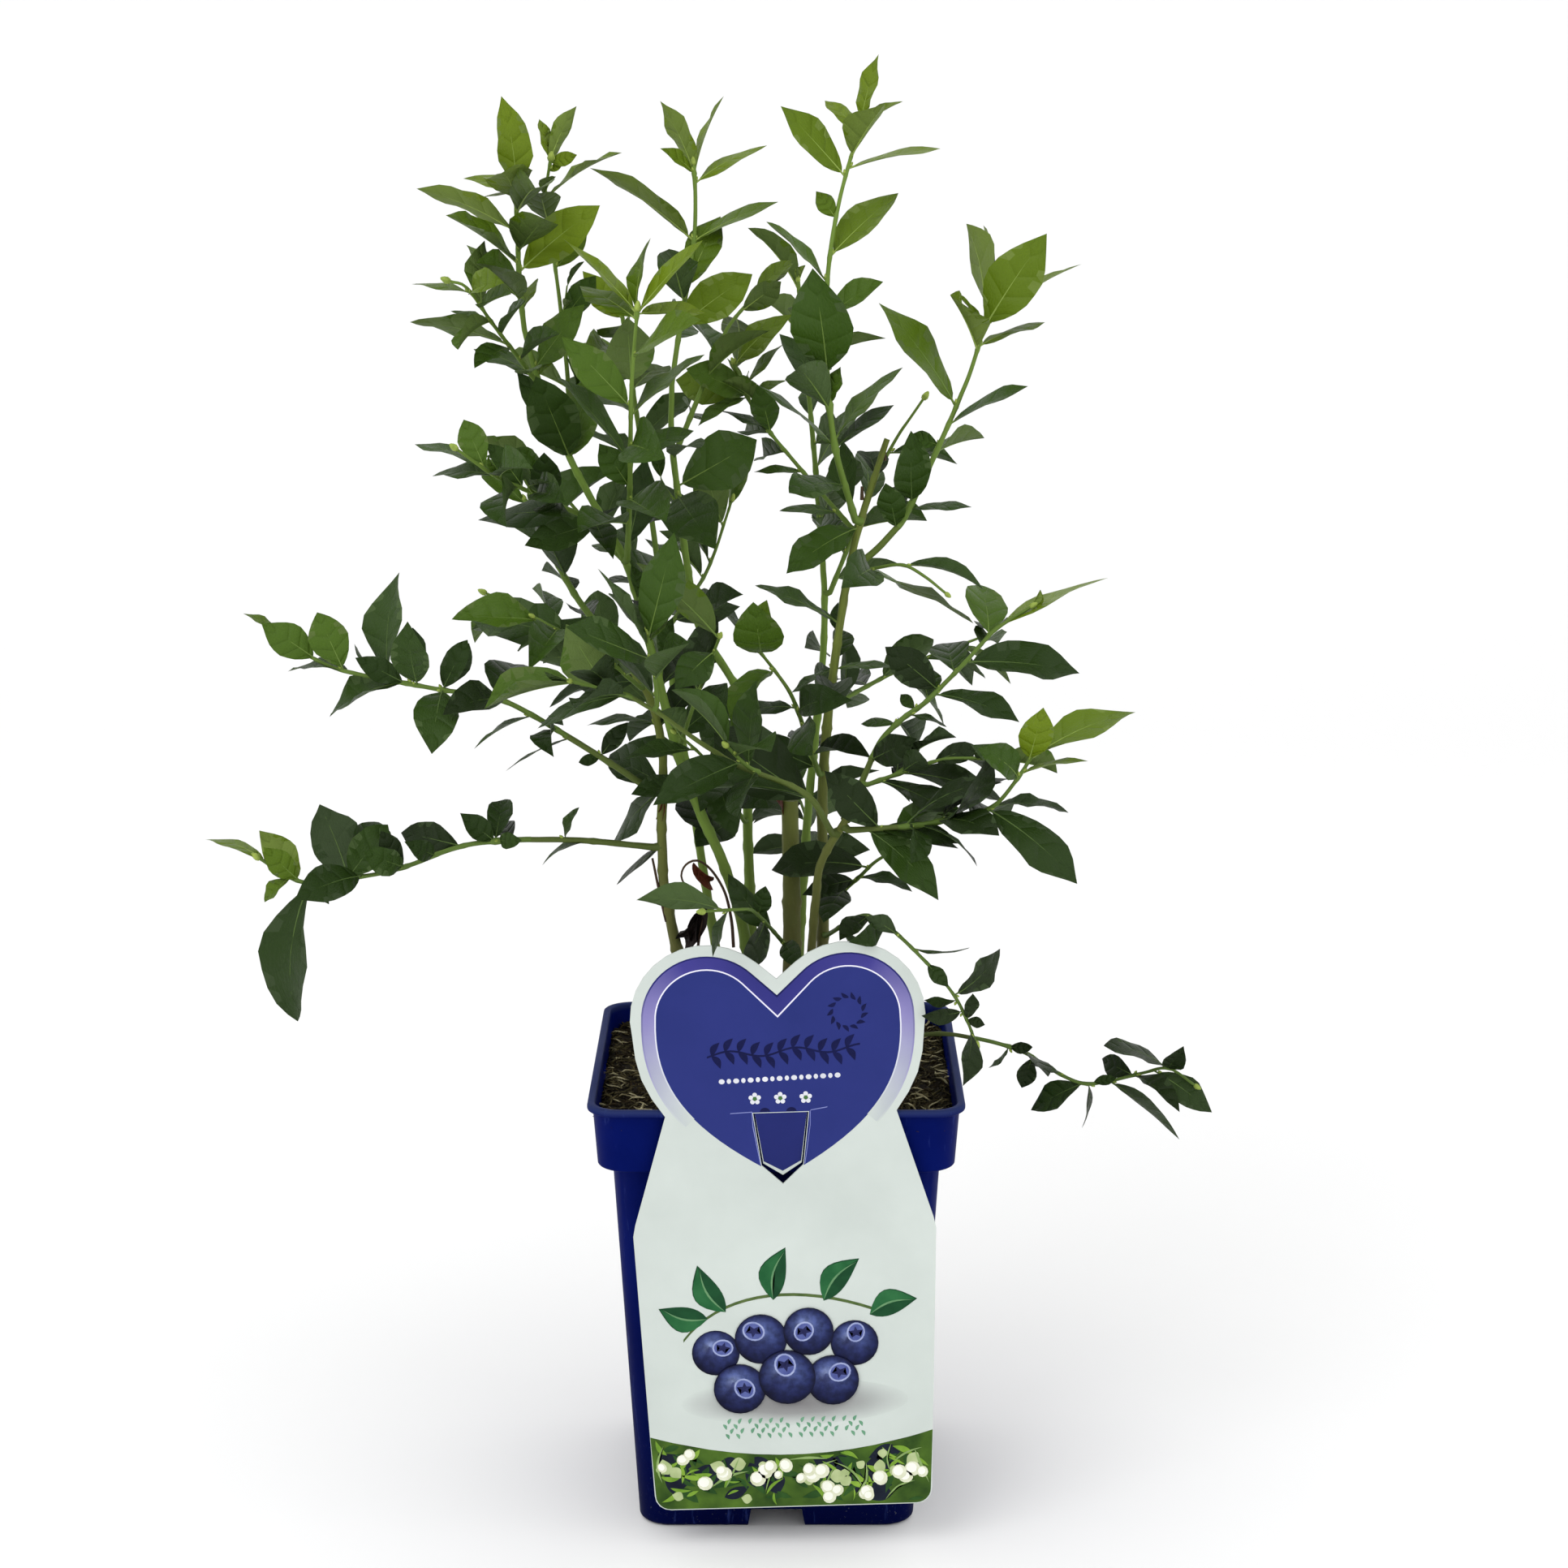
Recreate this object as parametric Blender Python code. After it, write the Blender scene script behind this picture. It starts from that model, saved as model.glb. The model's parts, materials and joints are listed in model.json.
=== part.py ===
# Blueberry bush in a square pot, with a picture card hung on the pot's front rim.
# Metres, +Z up. The pot stands on Z = 0 with its middle at the origin, and its front faces -Y.
import math
import random
from dataclasses import dataclass

import bmesh
import bpy
from mathutils import Matrix, Vector, noise
from mathutils.bvhtree import BVHTree

MM = 0.001
GAP = 0.3 * MM
UP = Vector((0, 0, 1))
DEGREE = math.pi / 180

# Pot: half widths across the flats, heights above the ground
POT_HEIGHT = 204 * MM
BASE_HALF = 62.1 * MM
SHOULDER_HALF = 72.2 * MM
SHOULDER_HEIGHT = 176 * MM
COLLAR_LOW_HALF = 78.4 * MM
COLLAR_TOP_HALF = 80.6 * MM
LIP_HALF = 82.5 * MM
LIP_HEIGHT = 3.2 * MM
CORNER_RADIUS = 13 * MM
CORNER_STEPS = 4
BASE_ROUND = 3 * MM
WALL = 1.6 * MM
FLOOR = 12 * MM
NOTCH_LOW_HALF = 14.5 * MM
NOTCH_TOP_HALF = 11.5 * MM
NOTCH_HEIGHT = 9 * MM
NOTCH_DEPTH = 34 * MM
DRAIN_RADIUS = 4.5 * MM
DRAIN_OFFSET = 38 * MM
DRAIN_SIDES = 12
SLOT_SIZE = (14 * MM, 5 * MM)
SLOT_HEIGHT = 196 * MM

# Compost: flat where the canes stand and uneven towards the pot's walls
SOIL_TOP = 193 * MM
SOIL_FLAT_RADIUS = 42 * MM
SOIL_ROUGH = 2.6 * MM
SOIL_GRAIN = 90
SOIL_CELLS = 11

# Card: half widths and heights in its own plane, turned a little about its hook
CARD_THICKNESS = 1.0 * MM
CARD_TURN = -1.8 * DEGREE
CARD_SHIFT = 2 * MM
HEART_RADIUS = 33 * MM
HEART_LOBE = (30.4 * MM, 246.8 * MM)
HEART_NOTCH = 264 * MM
HEART_BULGE = 3.4 * MM
WAIST = (50 * MM, 203.5 * MM)
BODY_TOP = (66 * MM, 149 * MM)
BODY_LOW = (61.5 * MM, 28 * MM)
CARD_BOTTOM = 20 * MM
CARD_CORNER = 7 * MM
TONGUE_TOP_HALF = 12 * MM
TONGUE_LOW_HALF = 9 * MM
TONGUE_LOW = 180 * MM
TONGUE_POINT = 171.5 * MM
TONGUE_INSIDE = 76.7 * MM
TONGUE_REACH = 182 * MM

# Limbs and leaves
CANE_STEP = 20 * MM
TWIG_STEP = 14 * MM
CANE_SIDES = 1
TWIG_SIDES = 0
FLARE_HEIGHT = 5 * MM
FLARE = 1.4
LEAF_THICKNESS = 0.024
LEAF_SECTIONS = ((0.3, 0.93), (0.66, 0.8))
LEAF_TURN = 144 * DEGREE
LEAF_CLEARANCE = 1.2 * MM
TURNS_TRIED = (0, 28, -28, 55, -55, 85, -85, 120, -120, 160)
BACK_START = 40 * MM
SIDE_SPREAD = 52
TIP_SPREAD = 22
HANGING_SIZE = 1.35
SEED = 11


@dataclass
class Shoot:
    """A limb or a leafy shoot: where it starts, the places it passes and what it bears."""

    name: str
    parent: str
    at: float
    through: tuple
    radii: tuple
    bare: float = 0.0
    leaves: int = 0
    size: float = 38.0
    phase: float = 0.0
    droop: float = 25.0
    hanging: int = -1


# Canes rise from the compost: their first place is where they stand, and the last is the tip.
# Lengths here are millimetres, angles are degrees, and bare is the share that bears no leaf.
CANES = (
    Shoot("cane_left", "", 0, ((-32, -15, 193), (-50, -20, 290), (-50, -20, 335),
          (-56, -5, 370), (-90, 10, 415), (-112, 22, 455)), (2.9, 1.1), 0.77, 9, 40, 40, 30),
    Shoot("cane_left_inner", "", 0, ((-7, -2, 193), (-17, -15, 277), (-41, -20, 341),
          (-56, -10, 397), (-67, 0, 432), (-89, -5, 475), (-109, 4, 530), (-112, 0, 595)),
          (2.9, 0.9), 0.83, 12, 46, 200, 20),
    Shoot("cane_centre", "", 0, ((-10, 10, 193), (-13, 15, 307), (-14, 18, 363),
          (-34, 15, 398), (-44, 15, 462), (-46, 15, 505), (-36, 25, 570), (-36, 24, 602)),
          (2.7, 0.8), 0.76, 12, 42, 120, 25),
    Shoot("cane_old", "", 0, ((6, -13, 193), (7, -13, 262), (6, -10, 325)), (4.4, 3.7), 1),
    Shoot("cane_mid", "", 0, ((12, -25, 193), (16, -40, 270), (20, -50, 308),
          (31, -60, 330)), (2.3, 1.6), 1),
    Shoot("cane_right", "", 0, ((18, 0, 193), (21, 0, 259), (21, 5, 333), (28, 12, 398),
          (36, 15, 441), (49, 15, 483)), (3.1, 1.3), 1),
    Shoot("cane_back", "", 0, ((8, 18, 193), (14, 45, 300), (22, 80, 380), (20, 104, 436),
          (10, 104, 545)), (2.4, 0.9), 0.66, 11, 40, 60, 25),
    Shoot("cane_back_left", "", 0, ((-20, 16, 193), (-36, 48, 290), (-50, 82, 370),
          (-58, 98, 430), (-72, 96, 535)), (2.4, 0.9), 0.66, 11, 40, 10, 25),
)

# Boughs with a bare lower stretch, and shoots that are leafy from their start
SHOOTS = (
    Shoot("bough_upper_left", "cane_left", 0.485, ((-79, -35, 352), (-116, -50, 378),
          (-142, -50, 383), (-191, -40, 391), (-213, -36, 403)), (1.5, 0.7), 0.32, 15, 37, 90, 35),
    Shoot("bough_lower_left", "cane_left", 0.40, ((-94, -30, 312), (-135, -35, 311),
          (-170, -40, 300), (-210, -40, 296), (-226, -40, 306)), (1.5, 0.7), 0.34, 14, 40, 20, 40, 11),
    Shoot("bough_low_right", "cane_old", 0.06, ((40, -2, 206), (68, 0, 213), (89, -5, 213),
          (113, -5, 206), (139, -10, 193), (178, -10, 200), (190, -10, 192)),
          (1.2, 0.6), 0.42, 12, 27, 0, 25),
    Shoot("bough_right", "cane_right", 0.805, ((54, 15, 444), (71, 20, 477), (86, 25, 512),
          (92, 25, 532)), (1.6, 0.8), 0.24, 12, 43, 150, 20),
    Shoot("bough_mid_right", "cane_mid", 0.985, ((47, -25, 357), (65, -15, 370),
          (83, -5, 386), (98, 5, 400), (113, 8, 409)), (1.5, 0.7), 0.24, 12, 38, 60, 25),
    Shoot("bough_front_right", "cane_mid", 0.96, ((63, -75, 330), (92, -80, 339),
          (102, -80, 351), (110, -79, 364)), (1.4, 0.7), 0.24, 11, 38, 30, 40, 5),
    Shoot("bough_front", "cane_mid", 0.93, ((12, -85, 346), (-17, -100, 362),
          (-38, -105, 377), (-59, -105, 391), (-84, -105, 398)), (1.5, 0.7), 0.80, 6, 44, 70, 25),
    Shoot("shoot_left_tip", "cane_left_inner", 0.80, ((-122, -20, 538), (-131, -30, 553),
          (-138, -33, 556)), (1.0, 0.6), 0, 8, 32, 160, 20),
    Shoot("shoot_left_back", "cane_left_inner", 0.725, ((-92, 20, 508), (-96, 25, 548),
          (-101, 25, 589), (-98, 18, 604)), (1.2, 0.6), 0, 11, 38, 210, 20),
    Shoot("shoot_left_front", "cane_left_inner", 0.59, ((-63, -25, 467), (-61, -45, 512),
          (-58, -50, 545)), (1.4, 0.7), 0, 9, 48, 250, 20),
    Shoot("shoot_left_side", "cane_left_inner", 0.64, ((-95, -30, 461), (-121, -50, 477),
          (-134, -58, 488)), (1.2, 0.6), 0, 9, 36, 90, 25),
    Shoot("shoot_centre_back", "cane_centre", 0.70, ((-21, 50, 530), (-10, 62, 542)),
          (1.3, 0.7), 0, 8, 42, 0, 25),
    Shoot("shoot_right_top", "cane_right", 0.87, ((26, 0, 480), (22, -5, 514), (22, 0, 552),
          (27, 5, 586), (37, 10, 622)), (1.6, 0.7), 0, 15, 45, 300, 20),
    Shoot("shoot_right_inner", "cane_right", 0.855, ((5, 35, 474), (-10, 40, 493),
          (-19, 45, 513)), (1.1, 0.6), 0, 9, 28, 60, 25),
    Shoot("shoot_right_leaf", "cane_right", 0.79, ((56, -5, 430), (74, -20, 420)),
          (0.9, 0.6), 0, 3, 38, 0, 30),
    Shoot("shoot_lance", "bough_front", 0.765, ((-50, -107, 401), (-53, -106, 418)),
          (0.9, 0.6), 0, 4, 46, 200, 10),
    Shoot("shoot_front_centre", "bough_front", 0.43, ((-12, -104, 362), (-20, -112, 372)),
          (1.0, 0.6), 0, 5, 42, 100, 20),
    Shoot("shoot_curled", "cane_right", 0.48, ((13, -10, 355), (6, -20, 376),
          (-7, -30, 396)), (1.2, 0.7), 0, 9, 36, 30, 45),
    Shoot("shoot_low_front", "cane_right", 0.28, ((37, -25, 294), (44, -40, 305),
          (54, -52, 314)), (1.1, 0.6), 0, 6, 38, 320, 45, 4),
    Shoot("shoot_over_card", "cane_right", 0.23, ((40, -62, 286), (60, -93, 278),
          (77, -86, 256), (86, -78, 234)), (1.1, 0.6), 0, 11, 24, 40, 30),
    Shoot("shoot_above_card", "cane_old", 0.50, ((-8, -60, 286), (-14, -95, 298),
          (-30, -106, 300)), (1.0, 0.6), 0, 7, 33, 180, 30),
    Shoot("shoot_centre_low", "cane_centre", 0.28, ((-30, -22, 345), (-44, -38, 362)),
          (1.0, 0.6), 0, 7, 35, 60, 35),
    Shoot("shoot_centre_mid", "cane_left_inner", 0.39, ((-34, -46, 380), (-24, -60, 408)),
          (1.1, 0.6), 0, 8, 38, 200, 30),
    Shoot("shoot_left_mid", "cane_left", 0.655, ((-78, -30, 396), (-104, -44, 414)),
          (1.1, 0.6), 0, 8, 38, 30, 30),
    Shoot("shoot_right_low", "bough_mid_right", 0.14, ((74, -46, 352), (100, -52, 352)),
          (1.0, 0.6), 0, 6, 29, 100, 30),
    Shoot("shoot_far_right", "cane_back", 0.45, ((62, 112, 362), (100, 126, 374)),
          (1.3, 0.6), 0, 11, 35, 60, 30),
    Shoot("shoot_far_left", "cane_back_left", 0.45, ((-96, 104, 378), (-138, 108, 398)),
          (1.3, 0.6), 0, 11, 38, 60, 30),
    Shoot("shoot_far_right_high", "cane_back", 0.60, ((50, 98, 462), (68, 92, 492)),
          (1.2, 0.6), 0, 8, 36, 100, 25),
    Shoot("shoot_far_left_high", "cane_back_left", 0.62, ((-92, 84, 440), (-112, 76, 466)),
          (1.2, 0.6), 0, 8, 36, 180, 25),
    Shoot("shoot_back_low", "cane_back", 0.26, ((14, 92, 292), (8, 122, 300)),
          (1.1, 0.6), 0, 8, 34, 0, 35),
    Shoot("shoot_back_mid", "cane_back_left", 0.58, ((-34, 132, 404), (-22, 150, 436)),
          (1.2, 0.6), 0, 9, 38, 0, 25),
)


# Scene and material helpers

def clear_scene():
    for obj in list(bpy.data.objects):
        bpy.data.objects.remove(obj)


def new_collection(name):
    collection = bpy.data.collections.new(name)
    bpy.context.scene.collection.children.link(collection)
    return collection


def material(name, colour, roughness):
    made = bpy.data.materials.new(name)
    made.use_nodes = True
    shader = made.node_tree.nodes["Principled BSDF"]
    shader.inputs["Base Color"].default_value = (*colour, 1)
    shader.inputs["Roughness"].default_value = roughness
    return made


def add_object(name, mesh, collection, surface=None):
    obj = bpy.data.objects.new(name, mesh)
    collection.objects.link(obj)
    if surface:
        mesh.materials.clear()
        mesh.materials.append(surface)
    return obj


def mesh_from(shape, name):
    mesh = bpy.data.meshes.new(name)
    shape.to_mesh(mesh)
    shape.free()
    return mesh


def add_cutter(name, mesh, cutters):
    obj = add_object(name, mesh, cutters)
    obj.hide_render = True
    obj.display_type = "WIRE"
    return obj


def boolean(obj, name, operation, other=None, collection=None, solver="EXACT"):
    step = obj.modifiers.new(name, "BOOLEAN")
    step.operation = operation
    step.solver = solver
    if collection:
        step.operand_type = "COLLECTION"
        step.collection = collection
    else:
        step.object = other


def evaluated_mesh(obj):
    graph = bpy.context.evaluated_depsgraph_get()
    graph.update()
    return bpy.data.meshes.new_from_object(obj.evaluated_get(graph))


# Pot, compost and card

def square_block(name, low_half, top_half, low, top, corner, steps=CORNER_STEPS, base_round=0.0):
    """A square block whose sides slope evenly, with rounded upright corners."""
    shape = bmesh.new()
    place = Matrix.Translation((0, 0, (low + top) / 2)) @ Matrix.Rotation(math.pi / 4, 4, "Z")
    bmesh.ops.create_cone(shape, cap_ends=True, segments=4, radius1=low_half * math.sqrt(2),
                          radius2=top_half * math.sqrt(2), depth=top - low, matrix=place)
    upright = [e for e in shape.edges if abs(e.verts[0].co.z - e.verts[1].co.z) > (top - low) / 2]
    bmesh.ops.bevel(shape, geom=upright, offset=corner, segments=steps, profile=0.5,
                    affect="EDGES")
    if base_round:
        rim = [e for e in shape.edges if max(v.co.z for v in e.verts) < low + base_round / 10]
        bmesh.ops.bevel(shape, geom=rim, offset=base_round, segments=2, profile=0.5,
                        affect="EDGES")
    return mesh_from(shape, name)


def slope(low_half, top_half, low, top, height):
    """Half width at a height, on a side that runs evenly from low to top."""
    return low_half + (top_half - low_half) * (height - low) / (top - low)


def body_half(height):
    return slope(BASE_HALF, SHOULDER_HALF, 0, SHOULDER_HEIGHT, height)


def collar_half(height):
    return slope(COLLAR_LOW_HALF, COLLAR_TOP_HALF, SHOULDER_HEIGHT, POT_HEIGHT, height)


def box_mesh(name, low, high):
    shape = bmesh.new()
    bmesh.ops.create_cube(shape, size=1)
    middle = [(a + b) / 2 for a, b in zip(low, high)]
    sides = [b - a for a, b in zip(low, high)]
    bmesh.ops.scale(shape, vec=sides, verts=shape.verts)
    bmesh.ops.translate(shape, vec=middle, verts=shape.verts)
    return mesh_from(shape, name)


def notch_mesh(name, side):
    """A wedge-sided block under one side of the pot, narrower at its top."""
    shape = bmesh.new()
    outer = BASE_HALF + CORNER_RADIUS
    bmesh.ops.create_cube(shape, size=2)
    for vert in shape.verts:
        half = NOTCH_TOP_HALF if vert.co.z > 0 else NOTCH_LOW_HALF
        reach = outer if vert.co.y < 0 else BASE_HALF - NOTCH_DEPTH
        height = NOTCH_HEIGHT if vert.co.z > 0 else -NOTCH_HEIGHT
        vert.co = (vert.co.x * half, -reach, height)
    bmesh.ops.rotate(shape, verts=shape.verts, matrix=Matrix.Rotation(side * math.pi / 2, 3, "Z"))
    return mesh_from(shape, name)


def drain_mesh(name, side):
    shape = bmesh.new()
    place = Matrix.Rotation(side * math.pi / 2, 4, "Z") @ Matrix.Translation((0, -DRAIN_OFFSET, FLOOR))
    bmesh.ops.create_cone(shape, cap_ends=True, segments=DRAIN_SIDES, radius1=DRAIN_RADIUS,
                          radius2=DRAIN_RADIUS, depth=FLOOR, matrix=place)
    return mesh_from(shape, name)


def build_pot(collection, cutters, surface):
    body = square_block("pot", BASE_HALF, SHOULDER_HALF, 0, SHOULDER_HEIGHT, CORNER_RADIUS,
                        base_round=BASE_ROUND)
    pot = add_object("pot", body, collection, surface)
    collar = square_block("collar", COLLAR_LOW_HALF, COLLAR_TOP_HALF, SHOULDER_HEIGHT - WALL,
                          POT_HEIGHT - LIP_HEIGHT / 2, CORNER_RADIUS, base_round=WALL)
    lip = square_block("lip", LIP_HALF, LIP_HALF, POT_HEIGHT - LIP_HEIGHT, POT_HEIGHT,
                       CORNER_RADIUS)
    for name, mesh in (("collar", collar), ("lip", lip)):
        boolean(pot, name, "UNION", add_cutter("pot_" + name, mesh, cutters))
    hollow = square_block("hollow", body_half(FLOOR) - WALL, body_half(SHOULDER_HEIGHT) - WALL,
                          FLOOR, SHOULDER_HEIGHT + WALL / 2, CORNER_RADIUS - WALL)
    mouth = square_block("mouth", COLLAR_LOW_HALF - WALL, COLLAR_TOP_HALF - WALL, SHOULDER_HEIGHT,
                         POT_HEIGHT + WALL, CORNER_RADIUS - WALL)
    for name, mesh in (("hollow", hollow), ("mouth", mouth)):
        boolean(pot, name, "DIFFERENCE", add_cutter("pot_" + name, mesh, cutters))
    for side in range(4):
        notch = add_cutter(f"pot_notch_{side}", notch_mesh("notch", side), cutters)
        boolean(pot, f"notch_{side}", "DIFFERENCE", notch)
        drain = add_cutter(f"pot_drain_{side}", drain_mesh("drain", side), cutters)
        boolean(pot, f"drain_{side}", "DIFFERENCE", drain)
    length, height = SLOT_SIZE
    for side in (-1, 1):
        ends = sorted((side * (COLLAR_LOW_HALF - 2 * WALL), side * (LIP_HALF + WALL)))
        mesh = box_mesh("slot", (ends[0], -length / 2, SLOT_HEIGHT - height / 2),
                        (ends[1], length / 2, SLOT_HEIGHT + height / 2))
        boolean(pot, f"slot_{side}", "DIFFERENCE", add_cutter(f"pot_slot_{side}", mesh, cutters))
    return pot


def soil_height(x, y):
    """Height of the compost's top: flat among the canes, lumpy beyond them."""
    far = math.hypot(x, y) - SOIL_FLAT_RADIUS
    share = min(max(far / (SOIL_FLAT_RADIUS / 3), 0), 1)
    return SOIL_TOP + share * SOIL_ROUGH * noise.noise((x * SOIL_GRAIN, y * SOIL_GRAIN, 0))


def build_soil(collection, cutters, surface):
    low = FLOOR + GAP
    top = POT_HEIGHT
    lower = square_block("soil", body_half(low) - WALL - GAP, body_half(SHOULDER_HEIGHT) - WALL - GAP,
                         low, SHOULDER_HEIGHT + WALL, CORNER_RADIUS - WALL)
    soil = add_object("soil", lower, collection, surface)
    upper = square_block("upper", COLLAR_LOW_HALF - WALL - GAP,
                         collar_half(top) - WALL - GAP, SHOULDER_HEIGHT + GAP, top,
                         CORNER_RADIUS - WALL)
    boolean(soil, "upper", "UNION", add_cutter("soil_upper", upper, cutters))
    shape = bmesh.new()
    bmesh.ops.create_grid(shape, x_segments=SOIL_CELLS, y_segments=SOIL_CELLS, size=LIP_HALF)
    for vert in shape.verts:
        vert.co.z = soil_height(vert.co.x, vert.co.y)
    sheet = bmesh.ops.extrude_face_region(shape, geom=shape.faces[:])
    for part in sheet["geom"]:
        if isinstance(part, bmesh.types.BMVert):
            part.co.z = 0
    bmesh.ops.recalc_face_normals(shape, faces=shape.faces)
    ground = add_cutter("soil_ground", mesh_from(shape, "ground"), cutters)
    boolean(soil, "ground", "INTERSECT", ground)
    room = 3 * GAP
    slot = box_mesh("room", (-TONGUE_TOP_HALF - room, -LIP_HALF, TONGUE_REACH - room),
                    (TONGUE_TOP_HALF + room, -TONGUE_INSIDE + CARD_THICKNESS + room, POT_HEIGHT))
    boolean(soil, "tongue_room", "DIFFERENCE", add_cutter("soil_tongue_room", slot, cutters))
    return soil


def arc(centre, radius, start, end, steps):
    """Points of an arc, with its angles in degrees."""
    angles = [(start + (end - start) * i / steps) * DEGREE for i in range(steps + 1)]
    return [(centre[0] + radius * math.cos(a), centre[1] + radius * math.sin(a)) for a in angles]


def card_outline():
    """Right half from the heart's notch down to the bottom, then its mirror image."""
    lobe = arc(HEART_LOBE, HEART_RADIUS, 132, -12, 12)
    side_start, side_end = Vector(lobe[-1]), Vector(WAIST)
    bulge = (side_end - side_start).orthogonal().normalized() * HEART_BULGE
    side = [tuple(side_start.lerp(side_end, t) + bulge * math.sin(math.pi * t))
            for t in (0.25, 0.5, 0.75)]
    shoulder = (BODY_TOP[0] - 1.0 * MM, BODY_TOP[1] + 5 * MM)
    foot = arc((BODY_LOW[0] - CARD_CORNER, CARD_BOTTOM + CARD_CORNER), CARD_CORNER, 0, -90, 4)
    right = [(0, HEART_NOTCH)] + lobe + side + [WAIST, shoulder, BODY_TOP] + foot
    left = [(-x, z) for x, z in reversed(right[1:])]
    return right + left


def tongue_outline():
    right = [(TONGUE_TOP_HALF, POT_HEIGHT), (TONGUE_LOW_HALF, TONGUE_LOW), (0, TONGUE_POINT)]
    return right + [(-x, z) for x, z in reversed(right[:-1])]


def build_card(collection, cutters, surface):
    outline = bpy.data.curves.new("card", "CURVE")
    outline.dimensions = "2D"
    outline.fill_mode = "BOTH"
    outline.extrude = CARD_THICKNESS / 2
    for points in (card_outline(), tongue_outline()):
        spline = outline.splines.new("POLY")
        spline.points.add(len(points) - 1)
        for point, (x, z) in zip(spline.points, points):
            point.co = (x, z, 0, 1)
        spline.use_cyclic_u = True
    flat = add_object("card_outline", outline, cutters)
    mesh = evaluated_mesh(flat)
    bpy.data.objects.remove(flat)
    middle = -(LIP_HALF + GAP + CARD_THICKNESS / 2)
    hang = Vector((CARD_SHIFT, middle, 0)) + UP * POT_HEIGHT
    stand = Matrix.Rotation(math.pi / 2, 4, "X")
    turn = Matrix.Translation(hang) @ Matrix.Rotation(CARD_TURN, 4, "Y")
    mesh.transform(turn @ Matrix.Translation(-UP * POT_HEIGHT) @ stand)
    weld(mesh)
    card = add_object("picture_card", mesh, collection, surface)
    hook_low = POT_HEIGHT + GAP
    hook = box_mesh("hook", (CARD_SHIFT - TONGUE_TOP_HALF, middle, hook_low),
                    (CARD_SHIFT + TONGUE_TOP_HALF, -TONGUE_INSIDE + CARD_THICKNESS,
                     hook_low + CARD_THICKNESS))
    inside = box_mesh("inside", (CARD_SHIFT - TONGUE_LOW_HALF, -TONGUE_INSIDE, TONGUE_REACH),
                      (CARD_SHIFT + TONGUE_LOW_HALF, -TONGUE_INSIDE + CARD_THICKNESS,
                       hook_low + CARD_THICKNESS / 2))
    for name, piece in (("hook", hook), ("inside", inside)):
        boolean(card, name, "UNION", add_cutter("card_" + name, piece, cutters))
    return card


# Limbs

def weld(mesh):
    """Joins a curve's loose caps to its sides and turns all faces outwards."""
    shape = bmesh.new()
    shape.from_mesh(mesh)
    bmesh.ops.remove_doubles(shape, verts=shape.verts, dist=0.01 * MM)
    bmesh.ops.recalc_face_normals(shape, faces=shape.faces)
    shape.to_mesh(mesh)
    shape.free()


def tube_mesh(name, points, radii, sides):
    """A tapering round limb along the points, with flat ends."""
    curve = bpy.data.curves.new(name, "CURVE")
    curve.dimensions = "3D"
    curve.bevel_depth = 1
    curve.bevel_resolution = sides
    curve.use_fill_caps = True
    spline = curve.splines.new("POLY")
    spline.points.add(len(points) - 1)
    for point, place, radius in zip(spline.points, points, radii):
        point.co = (*place, 1)
        point.radius = radius
    guide = add_object(name, curve, bpy.context.scene.collection)
    mesh = evaluated_mesh(guide)
    bpy.data.objects.remove(guide)
    bpy.data.curves.remove(curve)
    weld(mesh)
    return mesh


def smooth_path(corners, step):
    """A Catmull-Rom curve through the corners, as points about one step apart."""
    ends = [corners[0] * 2 - corners[1]] + corners + [corners[-1] * 2 - corners[-2]]
    path = []
    for a, b, c, d in zip(ends, ends[1:], ends[2:], ends[3:]):
        count = max(1, round((c - b).length / step))
        for i in range(count):
            t = i / count
            path.append(0.5 * (2 * b + (c - a) * t + (2 * a - 5 * b + 4 * c - d) * t ** 2
                               + (3 * b - a - 3 * c + d) * t ** 3))
    return path + [corners[-1]]


def lengths_along(path):
    total = [0.0]
    for a, b in zip(path, path[1:]):
        total.append(total[-1] + (b - a).length)
    return total


def point_at(path, share):
    """Place and direction at a share of the path's length."""
    along = lengths_along(path)
    target = share * along[-1]
    for i in range(1, len(path)):
        if along[i] >= target or i == len(path) - 1:
            run = path[i] - path[i - 1]
            return path[i - 1] + run * (target - along[i - 1]) / run.length, run.normalized()


def radius_at(shoot, share):
    foot, tip = shoot.radii
    return (foot + (tip - foot) * share) * MM


def path_of(shoot, made):
    """The shoot's route, from the compost or from just off its parent's side or tip."""
    corners = [Vector(p) * MM for p in shoot.through]
    if not shoot.parent:
        foot = corners[0] + UP * GAP
        return [foot, foot + UP * FLARE_HEIGHT / 2] + smooth_path(
            [foot + UP * FLARE_HEIGHT] + corners[1:], CANE_STEP)
    parent, path = made[shoot.parent]
    start, along = point_at(path, shoot.at)
    out = corners[0] - start
    out = (out - along * out.dot(along)).normalized()
    start = start + out * (radius_at(parent, shoot.at) + GAP)
    first = start + out * 1.5 * MM
    return [start] + smooth_path([first] + corners, TWIG_STEP)


def split_path(path, share):
    """The bare stretch and the leafy stretch, whose facing ends lie a gap apart."""
    along = lengths_along(path)
    cut = min(range(2, len(path) - 1), key=lambda i: abs(along[i] - share * along[-1]))
    ahead = (path[cut] - path[cut - 1]).normalized()
    leafy = [path[cut] + ahead * GAP, path[cut] + ahead * 2 * MM] + path[cut + 1:]
    return path[:cut + 1], leafy, along[cut] / along[-1]


def stretch_radii(shoot, path, low, high):
    along = lengths_along(path)
    return [radius_at(shoot, low + (high - low) * a / along[-1]) for a in along]


# Leaves

@dataclass
class Leaf:
    root: Vector
    ahead: Vector
    face: Vector
    length: float
    width: float
    droop: float
    fold: float


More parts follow.
